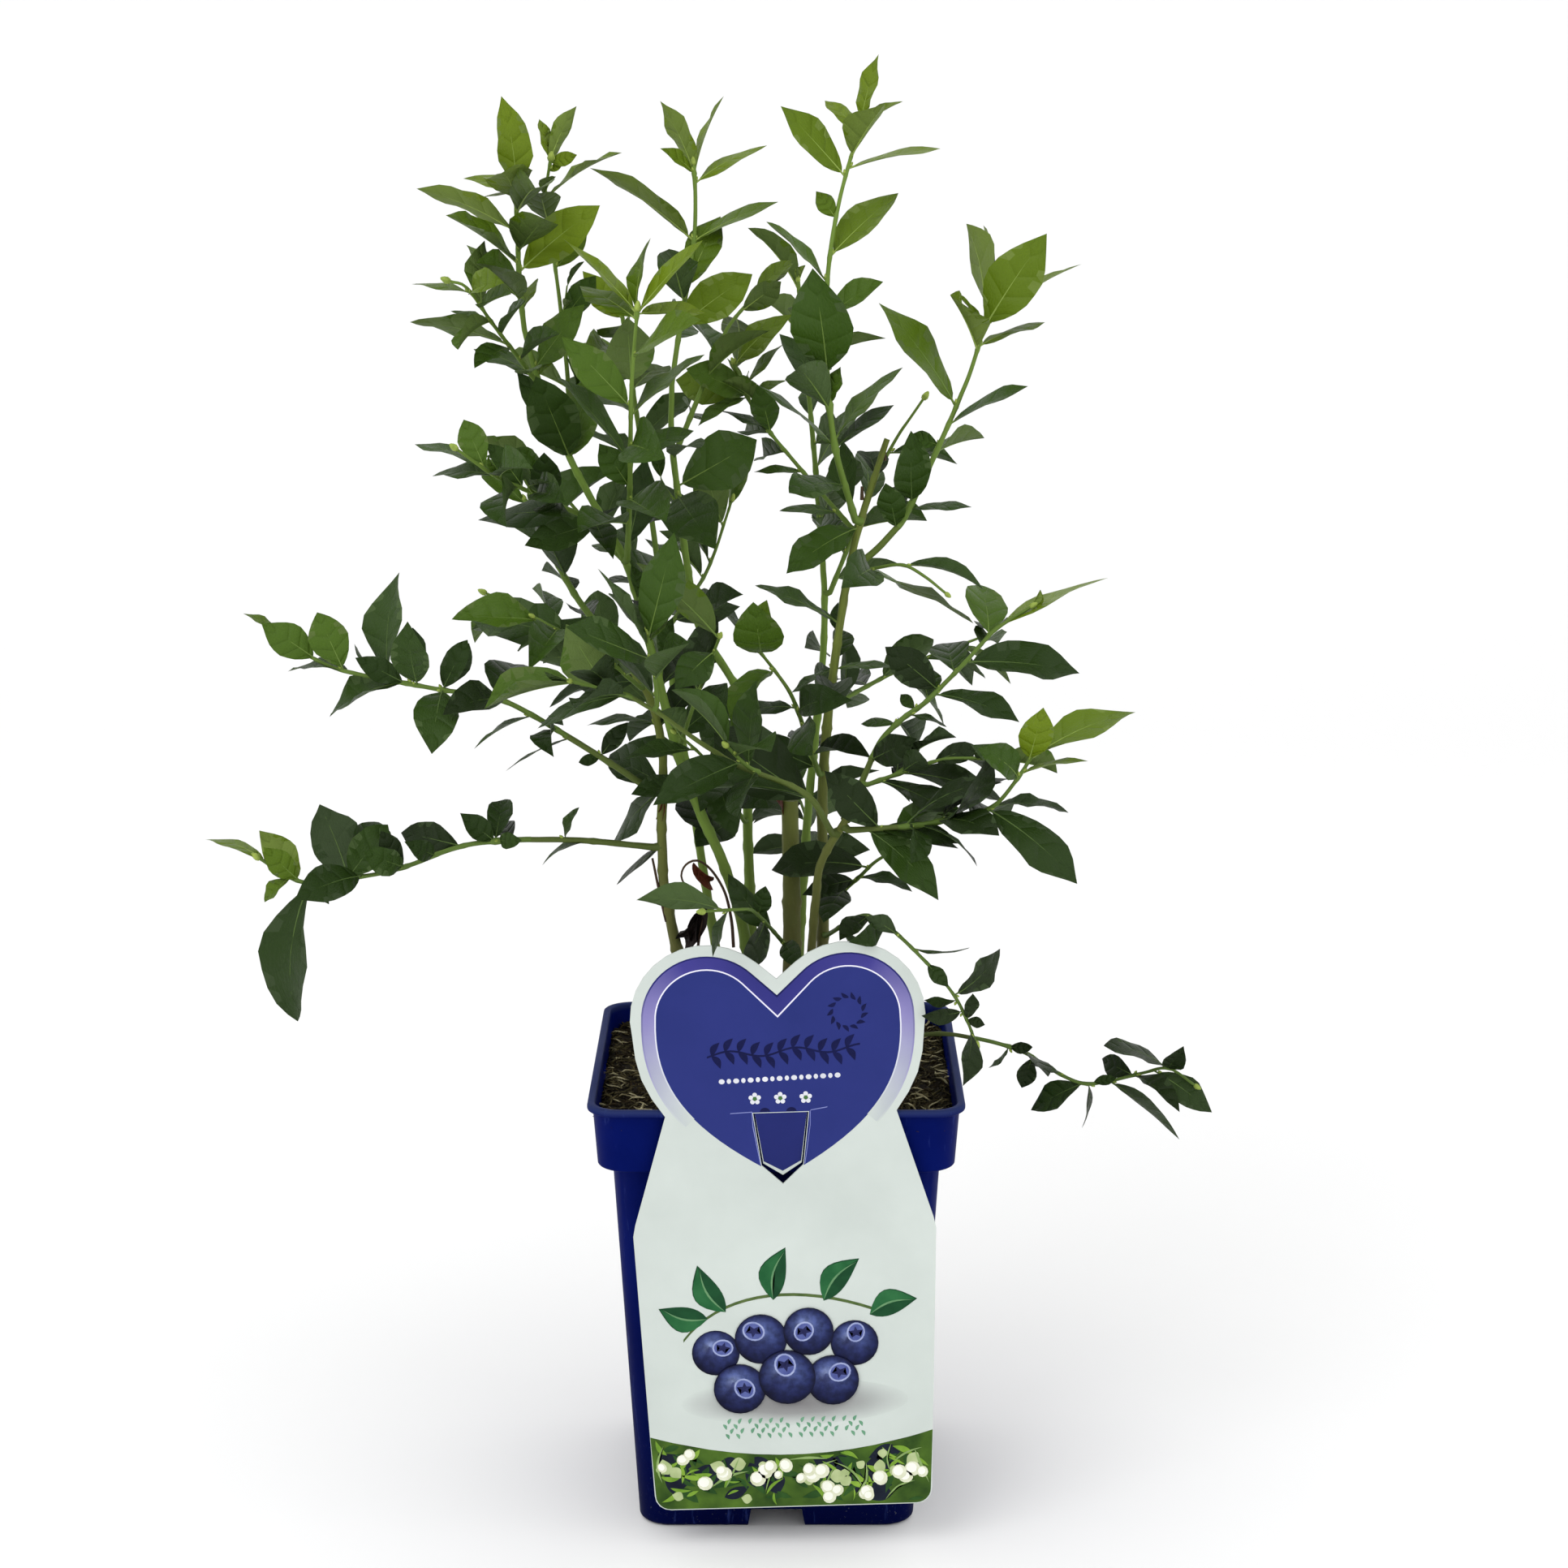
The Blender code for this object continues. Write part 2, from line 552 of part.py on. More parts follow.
def leaf_mesh(leaf, swell=0.0):
    """A pointed blade, thickest along its rib, folded up at both sides and bent down ahead."""
    across = leaf.ahead.cross(leaf.face)
    bend = leaf.length / leaf.droop
    thick = leaf.length * LEAF_THICKNESS / 2 + swell

    def spot(share, side, height):
        turned = leaf.droop * share
        rib = bend * (math.sin(turned) * leaf.ahead - (1 - math.cos(turned)) * leaf.face)
        up = math.sin(turned) * leaf.ahead + math.cos(turned) * leaf.face
        return leaf.root + rib + across * side + up * height

    shape = bmesh.new()
    root_share = 2.5 * swell / leaf.length
    root = shape.verts.new(spot(root_share, 0, 0))
    tip = shape.verts.new(spot(1 + swell / leaf.length, 0, 0))
    rings = []
    for share, wide in LEAF_SECTIONS:
        half = leaf.width / 2 * wide + swell
        lift = half * leaf.fold
        places = ((share, half, lift), (share, 0, thick), (share, -half, lift), (share, 0, -thick))
        rings.append([shape.verts.new(spot(*place)) for place in places])
    for i in range(4):
        shape.faces.new((root, rings[0][i], rings[0][i - 1]))
        shape.faces.new((tip, rings[1][i - 1], rings[1][i]))
        shape.faces.new((rings[0][i], rings[1][i], rings[1][i - 1], rings[0][i - 1]))
    bmesh.ops.recalc_face_normals(shape, faces=shape.faces)
    return mesh_from(shape, "leaf")


def touch_tree(mesh):
    places = [v.co for v in mesh.vertices]
    faces = [tuple(p.vertices) for p in mesh.polygons]
    tree = BVHTree.FromPolygons(places, faces)
    low = Vector([min(p[i] for p in places) for i in range(3)])
    high = Vector([max(p[i] for p in places) for i in range(3)])
    return tree, low, high


def near(a, b):
    return all(a[1][i] <= b[2][i] and b[1][i] <= a[2][i] for i in range(3))


def is_clear(mesh, others):
    own = touch_tree(mesh)
    return not any(near(own, other) and own[0].overlap(other[0]) for other in others)


def leaf_here(root, along, around, size, draw, droop, pose):
    """One leaf on a twig: it leaves the twig sideways and turns its face to the light."""
    steep = abs(along.z)
    out = around - UP * around.z * 0.7 * (1 - steep)
    out = (out - along * out.dot(along)).normalized()
    spread = (TIP_SPREAD if pose == "last" else SIDE_SPREAD + draw["spread"]) * DEGREE
    ahead = (along * math.cos(spread) + out * math.sin(spread)).normalized()
    if pose == "hanging":
        ahead = (out * 0.4 - UP).normalized()
    open_side = -1 if root.y < BACK_START else 1
    light = UP * 0.6 + along * 0.25 + Vector((0, 0.45 * open_side, 0))
    face = (light - ahead * light.dot(ahead)).normalized()
    face = Matrix.Rotation(draw["roll"] * DEGREE, 3, ahead) @ face
    return Leaf(root, ahead, face, size * draw["size"] * MM, size * draw["size"] * draw["width"] * MM,
                droop * draw["droop"] * DEGREE, draw["fold"])


def draw_leaf(dice):
    return {"turn": dice.uniform(-22, 22), "spread": dice.uniform(-10, 12),
            "size": dice.uniform(0.88, 1.15), "roll": dice.uniform(-55, 55),
            "width": dice.uniform(0.41, 0.54), "droop": dice.uniform(0.5, 1.5),
            "fold": dice.uniform(0.08, 0.4)}


def around_twig(along, angle):
    """A direction square to the twig, turned by the angle about it."""
    side = along.cross(UP)
    side = side.normalized() if side.length > 0.15 else Vector((1, 0, 0))
    side = (side - along * side.dot(along)).normalized()
    return Matrix.Rotation(angle, 3, along) @ side


def leafy_size(share):
    """Leaves are smaller near a shoot's foot and a little smaller at its tip."""
    return 0.68 + 0.32 * math.sin(math.pi * (0.12 + 0.66 * share))


def grow_leaves(path, radii, shoot, dice, others):
    """Leaves in a 2/5 spiral along the path. One that can't clear its neighbours is left out."""
    grown = []
    for i in range(shoot.leaves):
        draw = draw_leaf(dice)
        share = (i + 0.6) / shoot.leaves
        pose = "last" if i == shoot.leaves - 1 else "hanging" if i == shoot.hanging else "side"
        place, along = point_at(path, min(share, 0.985))
        size = shoot.size * (HANGING_SIZE if pose == "hanging" else leafy_size(share))
        angle = (shoot.phase + draw["turn"]) * DEGREE + i * LEAF_TURN
        for turn in TURNS_TRIED:
            around = around_twig(along, angle + turn * DEGREE)
            leaf = leaf_here(place, along, around, size, draw, shoot.droop, pose)
            if is_clear(leaf_mesh(leaf, LEAF_CLEARANCE), others):
                grown.append(leaf)
                others.append(touch_tree(leaf_mesh(leaf)))
                break
    return grown


def fuse(host, pieces, name):
    """One Boolean union of the host with all its pieces, applied."""
    parts = new_collection(name + "_pieces")
    objects = [add_object(f"{name}_piece_{i}", mesh, parts) for i, mesh in enumerate(pieces)]
    boolean(host, "fuse", "UNION", collection=parts)
    fused = evaluated_mesh(host)
    host.modifiers.clear()
    host.data = fused
    for obj in objects:
        bpy.data.objects.remove(obj)
    bpy.data.collections.remove(parts)


# Whole plant

def leafy_name(shoot):
    """The name of the leafy stretch: cane_left bears leaves_left."""
    return "leaves_" + shoot.name.split("_", 1)[1]


def build_limbs(collection, bark, young):
    """Makes every limb and twig stem, and says which of them still want their leaves."""
    made = {}
    leafy = []
    for shoot in CANES + SHOOTS:
        path = path_of(shoot, made)
        made[shoot.name] = (shoot, path)
        sides = TWIG_SIDES if shoot.parent else CANE_SIDES
        surface = young if shoot.parent else bark
        bare, stem, low = (path, [], 1.0) if shoot.bare == 1 else ([], path, 0.0)
        if 0 < shoot.bare < 1:
            bare, stem, low = split_path(path, shoot.bare)
        if bare:
            radii = stretch_radii(shoot, bare, 0, low)
            if not shoot.parent:
                radii[0] *= FLARE
                radii[1] *= (1 + FLARE) / 2
            add_object(shoot.name, tube_mesh(shoot.name, bare, radii, sides), collection, surface)
        if stem:
            name = leafy_name(shoot)
            radii = stretch_radii(shoot, stem, low, 1)
            obj = add_object(name, tube_mesh(name, stem, radii, TWIG_SIDES), collection)
            leafy.append((shoot, obj, stem, radii))
    return leafy


def build_leaves(leafy, others, surface):
    for number, (shoot, stem, path, radii) in enumerate(leafy):
        dice = random.Random(SEED * 100 + number)
        own = touch_tree(stem.data)
        rest = [tree for tree in others if tree[1] != own[1]]
        before = len(rest)
        leaves = grow_leaves(path, radii, shoot, dice, rest)
        others.extend(rest[before:])
        fuse(stem, [leaf_mesh(leaf) for leaf in leaves], stem.name)
        stem.data.materials.clear()
        stem.data.materials.append(surface)
        print(stem.name, len(leaves), "of", shoot.leaves)


def main():
    clear_scene()
    plant = new_collection("blueberry_bush")
    cutters = new_collection("cutters")
    navy = material("navy_plastic", (0.005, 0.012, 0.16), 0.4)
    compost = material("compost", (0.035, 0.022, 0.012), 0.95)
    paper = material("pale_card", (0.66, 0.72, 0.66), 0.5)
    bark = material("olive_bark", (0.11, 0.1, 0.035), 0.7)
    young = material("young_bark", (0.14, 0.19, 0.05), 0.6)
    green = material("leaf_green", (0.06, 0.14, 0.03), 0.5)
    rigid = [build_pot(plant, cutters, navy), build_soil(plant, cutters, compost),
             build_card(plant, cutters, paper)]
    leafy = build_limbs(plant, bark, young)
    others = [touch_tree(evaluated_mesh(obj)) for obj in rigid]
    others += [touch_tree(obj.data) for obj in plant.objects if obj not in rigid]
    build_leaves(leafy, others, green)


main()
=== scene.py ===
import json
import math
import random

import bmesh
import bpy
import numpy as np
from mathutils import Matrix, Vector, noise
from mathutils.bvhtree import BVHTree

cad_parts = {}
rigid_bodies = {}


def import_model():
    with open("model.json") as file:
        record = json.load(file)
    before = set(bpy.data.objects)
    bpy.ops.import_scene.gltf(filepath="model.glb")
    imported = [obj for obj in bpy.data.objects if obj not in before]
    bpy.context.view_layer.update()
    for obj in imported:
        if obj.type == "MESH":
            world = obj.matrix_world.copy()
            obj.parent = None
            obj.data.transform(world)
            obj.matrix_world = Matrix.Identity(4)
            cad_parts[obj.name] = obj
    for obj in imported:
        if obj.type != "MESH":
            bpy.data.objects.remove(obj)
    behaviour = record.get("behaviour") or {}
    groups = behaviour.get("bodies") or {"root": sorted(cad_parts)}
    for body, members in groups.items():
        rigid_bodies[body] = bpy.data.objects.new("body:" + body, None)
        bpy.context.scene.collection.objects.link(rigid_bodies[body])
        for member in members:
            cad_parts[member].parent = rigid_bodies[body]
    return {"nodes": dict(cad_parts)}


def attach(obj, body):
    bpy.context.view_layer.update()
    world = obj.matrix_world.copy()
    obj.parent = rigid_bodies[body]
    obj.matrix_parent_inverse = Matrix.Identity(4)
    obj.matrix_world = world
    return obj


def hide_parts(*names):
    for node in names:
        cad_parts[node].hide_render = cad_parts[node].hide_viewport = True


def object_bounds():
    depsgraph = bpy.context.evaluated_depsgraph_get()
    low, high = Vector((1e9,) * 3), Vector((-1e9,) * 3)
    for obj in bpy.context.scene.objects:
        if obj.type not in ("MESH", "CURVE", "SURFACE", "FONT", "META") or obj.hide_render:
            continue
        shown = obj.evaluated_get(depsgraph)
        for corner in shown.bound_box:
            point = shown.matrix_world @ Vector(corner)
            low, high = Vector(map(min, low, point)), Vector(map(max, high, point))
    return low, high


# Looks of a blueberry bush in a square pot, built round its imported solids.
# Settings are millimetres and degrees, meshes are metres, +Z is up and the front faces -Y.
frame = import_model()
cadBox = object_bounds()
mm = 0.001
white = (1, 1, 1, 1)
degree = math.pi / 180
up = Vector((0, 0, 1))
gap = 0.3 * mm


# Making and placing pieces

def newObject(name, mesh, *materials):
    obj = bpy.data.objects.new(name, mesh)
    bpy.context.scene.collection.objects.link(obj)
    for made in materials:
        mesh.materials.append(made)
    return obj


def place(obj, nodes=()):
    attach(obj, "root")
    if nodes:
        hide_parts(*nodes)
    return obj


def nodesNamed(start):
    return [name for name in frame["nodes"] if name.startswith(start)]


def meshFromShape(shape, name):
    mesh = bpy.data.meshes.new(name)
    shape.to_mesh(mesh)
    shape.free()
    return mesh


def meshFromObject(obj):
    graph = bpy.context.evaluated_depsgraph_get()
    graph.update()
    return bpy.data.meshes.new_from_object(obj.evaluated_get(graph))


def closedMesh(shape, name):
    bmesh.ops.recalc_face_normals(shape, faces=shape.faces)
    return meshFromShape(shape, name)


def bridge(shape, low, high):
    # Faces between two closed rings of equal count.
    for i in range(len(low)):
        shape.faces.new((low[i - 1], low[i], high[i], high[i - 1]))


def shadeSmooth(mesh, angle):
    mesh.shade_smooth()
    mesh.set_sharp_from_angle(angle=angle * degree)


def cut(obj, cutters):
    for cutter in cutters:
        step = obj.modifiers.new("cut", "BOOLEAN")
        step.operation = "DIFFERENCE"
        step.solver = "EXACT"
        step.object = cutter
    mesh = meshFromObject(obj)
    obj.modifiers.clear()
    obj.data = mesh
    for cutter in cutters:
        bpy.data.objects.remove(cutter)


# Node trees

def join(tree, value, socket):
    # Puts a plain value, an output or a node's first output into a socket.
    if isinstance(value, bpy.types.Node):
        value = value.outputs[0]
    if isinstance(value, bpy.types.NodeSocket):
        tree.links.new(value, socket)
    else:
        socket.default_value = value


def addNode(tree, kind, inputs=None, **settings):
    node = tree.nodes.new(kind)
    for name, value in settings.items():
        setattr(node, name, value)
    for key, value in (inputs or {}).items():
        join(tree, value, node.inputs[key])
    return node


def maths(tree, operation, *values):
    return addNode(tree, "ShaderNodeMath", dict(enumerate(values)), operation=operation)


def addGrain(tree, spot, scale, detail, roughness=0.5):
    return addNode(tree, "ShaderNodeTexNoise", {"Vector": spot, "Scale": scale, "Detail": detail,
                                                "Roughness": roughness})


def newTree(name, kind, inputs, outputs):
    # A value gives its input's kind, and an input without one names its kind instead.
    tree = bpy.data.node_groups.new(name, kind)
    for title, value in inputs.items():
        kinds = {str: value, int: "Int", float: "Float"}
        socketKind = kinds.get(type(value)) or ("Vector" if len(value) == 3 else "Color")
        socket = tree.interface.new_socket(title, in_out="INPUT", socket_type="NodeSocket" + socketKind)
        if socketKind != value:
            socket.default_value = value
    for title, socketKind in outputs.items():
        tree.interface.new_socket(title, in_out="OUTPUT", socket_type="NodeSocket" + socketKind)
    return tree, tree.nodes.new("NodeGroupInput").outputs, tree.nodes.new("NodeGroupOutput")


def runTree(obj, tree, values):
    step = obj.modifiers.new(tree.name, "NODES")
    step.node_group = tree
    for item in tree.interface.items_tree:
        if item.item_type == "SOCKET" and item.in_out == "INPUT" and item.name in values:
            step[item.identifier] = values[item.name]
    mesh = meshFromObject(obj)
    obj.modifiers.remove(step)
    return mesh


def store(tree, geometry, name, value, kind="FLOAT"):
    return addNode(tree, "GeometryNodeStoreNamedAttribute",
                   {"Geometry": geometry, "Name": name, "Value": value},
                   data_type=kind, domain="POINT")


def finishTree(tree, given, out, geometry):
    smooth = addNode(tree, "GeometryNodeSetShadeSmooth", {"Geometry": geometry})
    painted = addNode(tree, "GeometryNodeSetMaterial", {"Geometry": smooth, "Material": given["Material"]})
    join(tree, painted, out.inputs[0])
    return tree


def limbTree():
    # A curve's round skin, swelling with its radius, with long ridges pushed along its normals.
    tree, given, out = newTree("limb skin", "GeometryNodeTree", {
        "Geometry": "Geometry", "Sides": 12, "Ridge Height": 0.0002, "Ridge Scale": 1.5,
        "Ridge Stretch": 60.0, "Material": "Material"}, {"Geometry": "Geometry"})
    run = addNode(tree, "GeometryNodeSplineParameter")
    order = addNode(tree, "GeometryNodeInputIndex")
    line = addNode(tree, "GeometryNodeCurveOfPoint", {0: order})
    lane = maths(tree, "MULTIPLY", line, 7.3)
    lengthed = store(tree, given["Geometry"], "run", run.outputs["Length"])
    laned = store(tree, lengthed, "lane", lane)
    circle = addNode(tree, "GeometryNodeCurvePrimitiveCircle", {"Resolution": given["Sides"], "Radius": 1.0})
    turn = addNode(tree, "GeometryNodeSplineParameter")
    profile = store(tree, circle, "turn", turn.outputs["Factor"])
    thick = addNode(tree, "GeometryNodeInputRadius")
    skin = addNode(tree, "GeometryNodeCurveToMesh",
                   {"Curve": laned, "Profile Curve": profile,
                    "Scale": thick, "Fill Caps": True})
    read = {name: addNode(tree, "GeometryNodeInputNamedAttribute", {"Name": name}, data_type="FLOAT")
            for name in ("run", "lane", "turn")}
    angle = maths(tree, "MULTIPLY", read["turn"], 2 * math.pi)
    east = maths(tree, "COSINE", angle)
    north = maths(tree, "SINE", angle)
    long = maths(tree, "MULTIPLY_ADD", read["run"], given["Ridge Stretch"], read["lane"])
    spot = addNode(tree, "ShaderNodeCombineXYZ", {0: east, 1: north, 2: long})
    grain = addGrain(tree, spot, given["Ridge Scale"], 3.0)
    lift = addNode(tree, "ShaderNodeMapRange", {0: grain, 1: 0.3, 2: 0.7, 3: -0.5, 4: 0.5})
    tall = maths(tree, "MULTIPLY", lift, given["Ridge Height"])
    normal = addNode(tree, "GeometryNodeInputNormal")
    push = addNode(tree, "ShaderNodeVectorMath", {0: normal, "Scale": tall}, operation="SCALE")
    moved = addNode(tree, "GeometryNodeSetPosition", {"Geometry": skin, "Offset": push})
    kept = store(tree, moved, "barkPlace", spot, "FLOAT_VECTOR")
    real = addNode(tree, "GeometryNodeRealizeInstances", {"Geometry": kept})
    return finishTree(tree, given, out, real)


def scatterTree():
    # Copies of one shape strewn over a surface, each turned, tilted and sized by chance.
    tree, given, out = newTree("scatter", "GeometryNodeTree", {
        "Geometry": "Geometry", "Shape": "Object", "Density": 1000.0, "Smallest": 0.6, "Largest": 1.4,
        "Tilt": 0.3, "Lift": 0.0, "Seed": 1, "Material": "Material"}, {"Geometry": "Geometry"})
    dots = addNode(tree, "GeometryNodeDistributePointsOnFaces",
                   {"Mesh": given["Geometry"], "Density": given["Density"], "Seed": given["Seed"]})
    tiltDown = maths(tree, "MULTIPLY", given["Tilt"], -1.0)
    least = addNode(tree, "ShaderNodeCombineXYZ", {0: tiltDown, 1: tiltDown, 2: -math.pi})
    most = addNode(tree, "ShaderNodeCombineXYZ", {0: given["Tilt"], 1: given["Tilt"], 2: math.pi})
    spin = addNode(tree, "FunctionNodeRandomValue", {0: least, 1: most, 8: given["Seed"]},
                   data_type="FLOAT_VECTOR")
    asTurn = addNode(tree, "FunctionNodeEulerToRotation", {0: spin})
    turned = addNode(tree, "FunctionNodeRotateRotation",
                     {0: dots.outputs["Rotation"], 1: asTurn}, rotation_space="LOCAL")
    size = addNode(tree, "FunctionNodeRandomValue",
                   {2: given["Smallest"], 3: given["Largest"], 8: given["Seed"]}, data_type="FLOAT")
    shape = addNode(tree, "GeometryNodeObjectInfo", {"Object": given["Shape"], "As Instance": True})
    copies = addNode(tree, "GeometryNodeInstanceOnPoints",
                     {"Points": dots.outputs["Points"], "Instance": shape.outputs["Geometry"],
                      "Rotation": turned, "Scale": size.outputs[1]})
    real = addNode(tree, "GeometryNodeRealizeInstances", {"Geometry": copies})
    rise = addNode(tree, "ShaderNodeCombineXYZ", {2: given["Lift"]})
    raised = addNode(tree, "GeometryNodeSetPosition", {"Geometry": real, "Offset": rise})
    return finishTree(tree, given, out, raised)


def budTree():
    # One copy of a shape on each point, laid along the point's aim and sized by its grow.
    tree, given, out = newTree("buds", "GeometryNodeTree", {
        "Geometry": "Geometry", "Shape": "Object", "Material": "Material"}, {"Geometry": "Geometry"})
    aim = addNode(tree, "GeometryNodeInputNamedAttribute", {"Name": "aim"}, data_type="FLOAT_VECTOR")
    grow = addNode(tree, "GeometryNodeInputNamedAttribute", {"Name": "grow"}, data_type="FLOAT")
    laid = addNode(tree, "FunctionNodeAlignRotationToVector", {"Vector": aim}, axis="Z")
    shape = addNode(tree, "GeometryNodeObjectInfo", {"Object": given["Shape"], "As Instance": True})
    copies = addNode(tree, "GeometryNodeInstanceOnPoints",
                     {"Points": given["Geometry"], "Instance": shape.outputs["Geometry"],
                      "Rotation": laid, "Scale": grow})
    real = addNode(tree, "GeometryNodeRealizeInstances", {"Geometry": copies})
    return finishTree(tree, given, out, real)


# Shader effects that several materials share

def tone(red, green, blue):
    # A colour as a screen shows it, 0 to 255, in linear light.
    parts = [c / 255 for c in (red, green, blue)]
    return (*[p / 12.92 if p <= 0.04045 else ((p + 0.055) / 1.055) ** 2.4 for p in parts], 1)


def mottleGroup():
    tree, given, out = newTree("mottle", "ShaderNodeTree", {
        "Vector": "Vector", "Dark": (0, 0, 0, 1), "Light": (1, 1, 1, 1), "Scale": 50.0, "Spread": 0.15},
        {"Colour": "Color", "Mask": "Float"})
    grain = addGrain(tree, given["Vector"], given["Scale"], 4.0)
    low = maths(tree, "SUBTRACT", 0.5, given["Spread"])
    high = maths(tree, "ADD", 0.5, given["Spread"])
    share = addNode(tree, "ShaderNodeMapRange", {0: grain, 1: low, 2: high})
    mix = addNode(tree, "ShaderNodeMix", {0: share, 6: given["Dark"], 7: given["Light"]},
                  data_type="RGBA")
    join(tree, mix.outputs[2], out.inputs["Colour"])
    join(tree, share, out.inputs["Mask"])
    return tree


def reliefGroup():
    tree, given, out = newTree("fine relief", "ShaderNodeTree", {
        "Vector": "Vector", "Scale": 800.0, "Depth": 0.0001, "Strength": 0.4}, {"Normal": "Vector"})
    grain = addGrain(tree, given["Vector"], given["Scale"], 5.0)
    bump = addNode(tree, "ShaderNodeBump", {"Strength": given["Strength"], "Distance": given["Depth"],
                                            "Height": grain})
    join(tree, bump, out.inputs[0])
    return tree


def wearGroup():
    # Thin scuffs and specks of dust, as one mask.
    tree, given, out = newTree("scuffs and dust", "ShaderNodeTree", {
        "Vector": "Vector", "Stretch": (1, 1, 1), "Scale": 120.0, "Start": 0.6, "Full": 0.75},
        {"Mask": "Float"})
    drawn = addNode(tree, "ShaderNodeVectorMath", {0: given["Vector"], 1: given["Stretch"]},
                    operation="MULTIPLY")
    grain = addGrain(tree, drawn, given["Scale"], 6.0, 0.7)
    share = addNode(tree, "ShaderNodeMapRange", {0: grain, 1: given["Start"], 2: given["Full"]})
    join(tree, share, out.inputs[0])
    return tree


def veinGroup():
    # Side veins that leave the rib slantwise, with the blade's fine grain between them.
    tree, given, out = newTree("leaf veins", "ShaderNodeTree", {
        "Blade": "Vector", "Pairs": 9.0, "Slant": 0.3, "Depth": 0.0006, "Strength": 0.5, "Sheen": 0.45},
        {"Normal": "Vector", "Roughness": "Float"})
    split = addNode(tree, "ShaderNodeSeparateXYZ", {0: given["Blade"]})
    side = maths(tree, "SUBTRACT", split, 0.5)
    away = maths(tree, "ABSOLUTE", side)
    back = maths(tree, "MULTIPLY", away, given["Slant"])
    along = maths(tree, "SUBTRACT", split.outputs[1], back)
    many = maths(tree, "MULTIPLY", along, given["Pairs"])
    wave = maths(tree, "PINGPONG", many, 1.0)
    ridge = maths(tree, "POWER", wave, 3.0)
    grain = addGrain(tree, given["Blade"], 26.0, 4.0)
    both = maths(tree, "MULTIPLY_ADD", grain, 0.7, ridge)
    bump = addNode(tree, "ShaderNodeBump", {"Strength": given["Strength"], "Distance": given["Depth"],
                                            "Height": both})
    rough = addNode(tree, "ShaderNodeMapRange", {0: grain, 1: 0.3, 2: 0.7, 3: -0.08, 4: 0.08})
    shine = maths(tree, "ADD", rough, given["Sheen"])
    join(tree, bump, out.inputs["Normal"])
    join(tree, shine, out.inputs["Roughness"])
    return tree


limbSkin = limbTree()
scatter = scatterTree()
budsOnPoints = budTree()
mottle = mottleGroup()
relief = reliefGroup()
wear = wearGroup()
veins = veinGroup()
print("node trees ready")


# Materials

def newMaterial(name, sockets):
    made = bpy.data.materials.new(name)
    made.use_nodes = True
    shader = made.node_tree.nodes["Principled BSDF"]
    for title, value in sockets.items():
        shader.inputs[title].default_value = value
    return made, made.node_tree, shader


def useGroup(tree, group, inputs):
    return addNode(tree, "ShaderNodeGroup", inputs, node_tree=group)


def objectPlace(tree):
    return addNode(tree, "ShaderNodeTexCoord").outputs["Object"]


def mixColours(tree, share, first, second):
    return addNode(tree, "ShaderNodeMix", {0: share, 6: first, 7: second}, data_type="RGBA").outputs[2]


def heightShare(tree, spot, low, high):
    # 0 below the low height and 1 above the high one, in metres.
    split = addNode(tree, "ShaderNodeSeparateXYZ", {0: spot})
    return addNode(tree, "ShaderNodeMapRange", {0: split.outputs[2], 1: low, 2: high})


def roughFrom(tree, mask, smooth, rough):
    return addNode(tree, "ShaderNodeMapRange", {0: mask, 3: smooth, 4: rough})


def finishSurface(tree, shader, spot, grain, mask=None, rough=None):
    # A fine relief by its scale, depth and strength, and an uneven sheen where there is a mask.
    scale, depth, strength = grain
    fine = useGroup(tree, relief, {"Vector": spot, "Scale": scale, "Depth": depth, "Strength": strength})
    join(tree, fine, shader.inputs["Normal"])
    if mask:
        join(tree, roughFrom(tree, mask, *rough), shader.inputs["Roughness"])


def mottled(name, dark, light, scale, spread, specular, rough, grain):
    made, tree, shader = newMaterial(name, {"Specular IOR Level": specular})
    spot = objectPlace(tree)
    base = useGroup(tree, mottle, {"Vector": spot, "Dark": tone(*dark), "Light": tone(*light), "Scale": scale,
                                   "Spread": spread})
    join(tree, base.outputs["Colour"], shader.inputs["Base Color"])
    finishSurface(tree, shader, spot, grain, base.outputs["Mask"], rough)
    return made


printRelief = (900.0, 0.00005, 0.25)


def soilLike(name, dark, light, scale, depth):
    return mottled(name, dark, light, scale, 0.12, 0.1, (0.75, 0.95), (1500.0, depth, 0.7))


def printed(name, dark, light, scale=40.0, rough=(0.38, 0.48)):
    # Ink on smooth card: two close tones, a faint grain and an uneven sheen.
    return mottled(name, dark, light, scale, 0.2, 0.12, rough, printRelief)


# The rim tone is a painted highlight along the lip, and the foot tone is painted shade near the floor.
navyLook = {"dark": tone(2, 12, 74), "light": tone(5, 20, 94), "rim": tone(38, 48, 92),
            "foot": tone(1, 5, 46), "scuff": tone(58, 74, 142), "dust": tone(96, 96, 104),
            "rough": (0.38, 0.52), "lipHighlightHeights": (0.2008, 0.2034), "footShadeHeights": (0.16, -0.02),
            "dustHeights": (0.05, 0.0)}


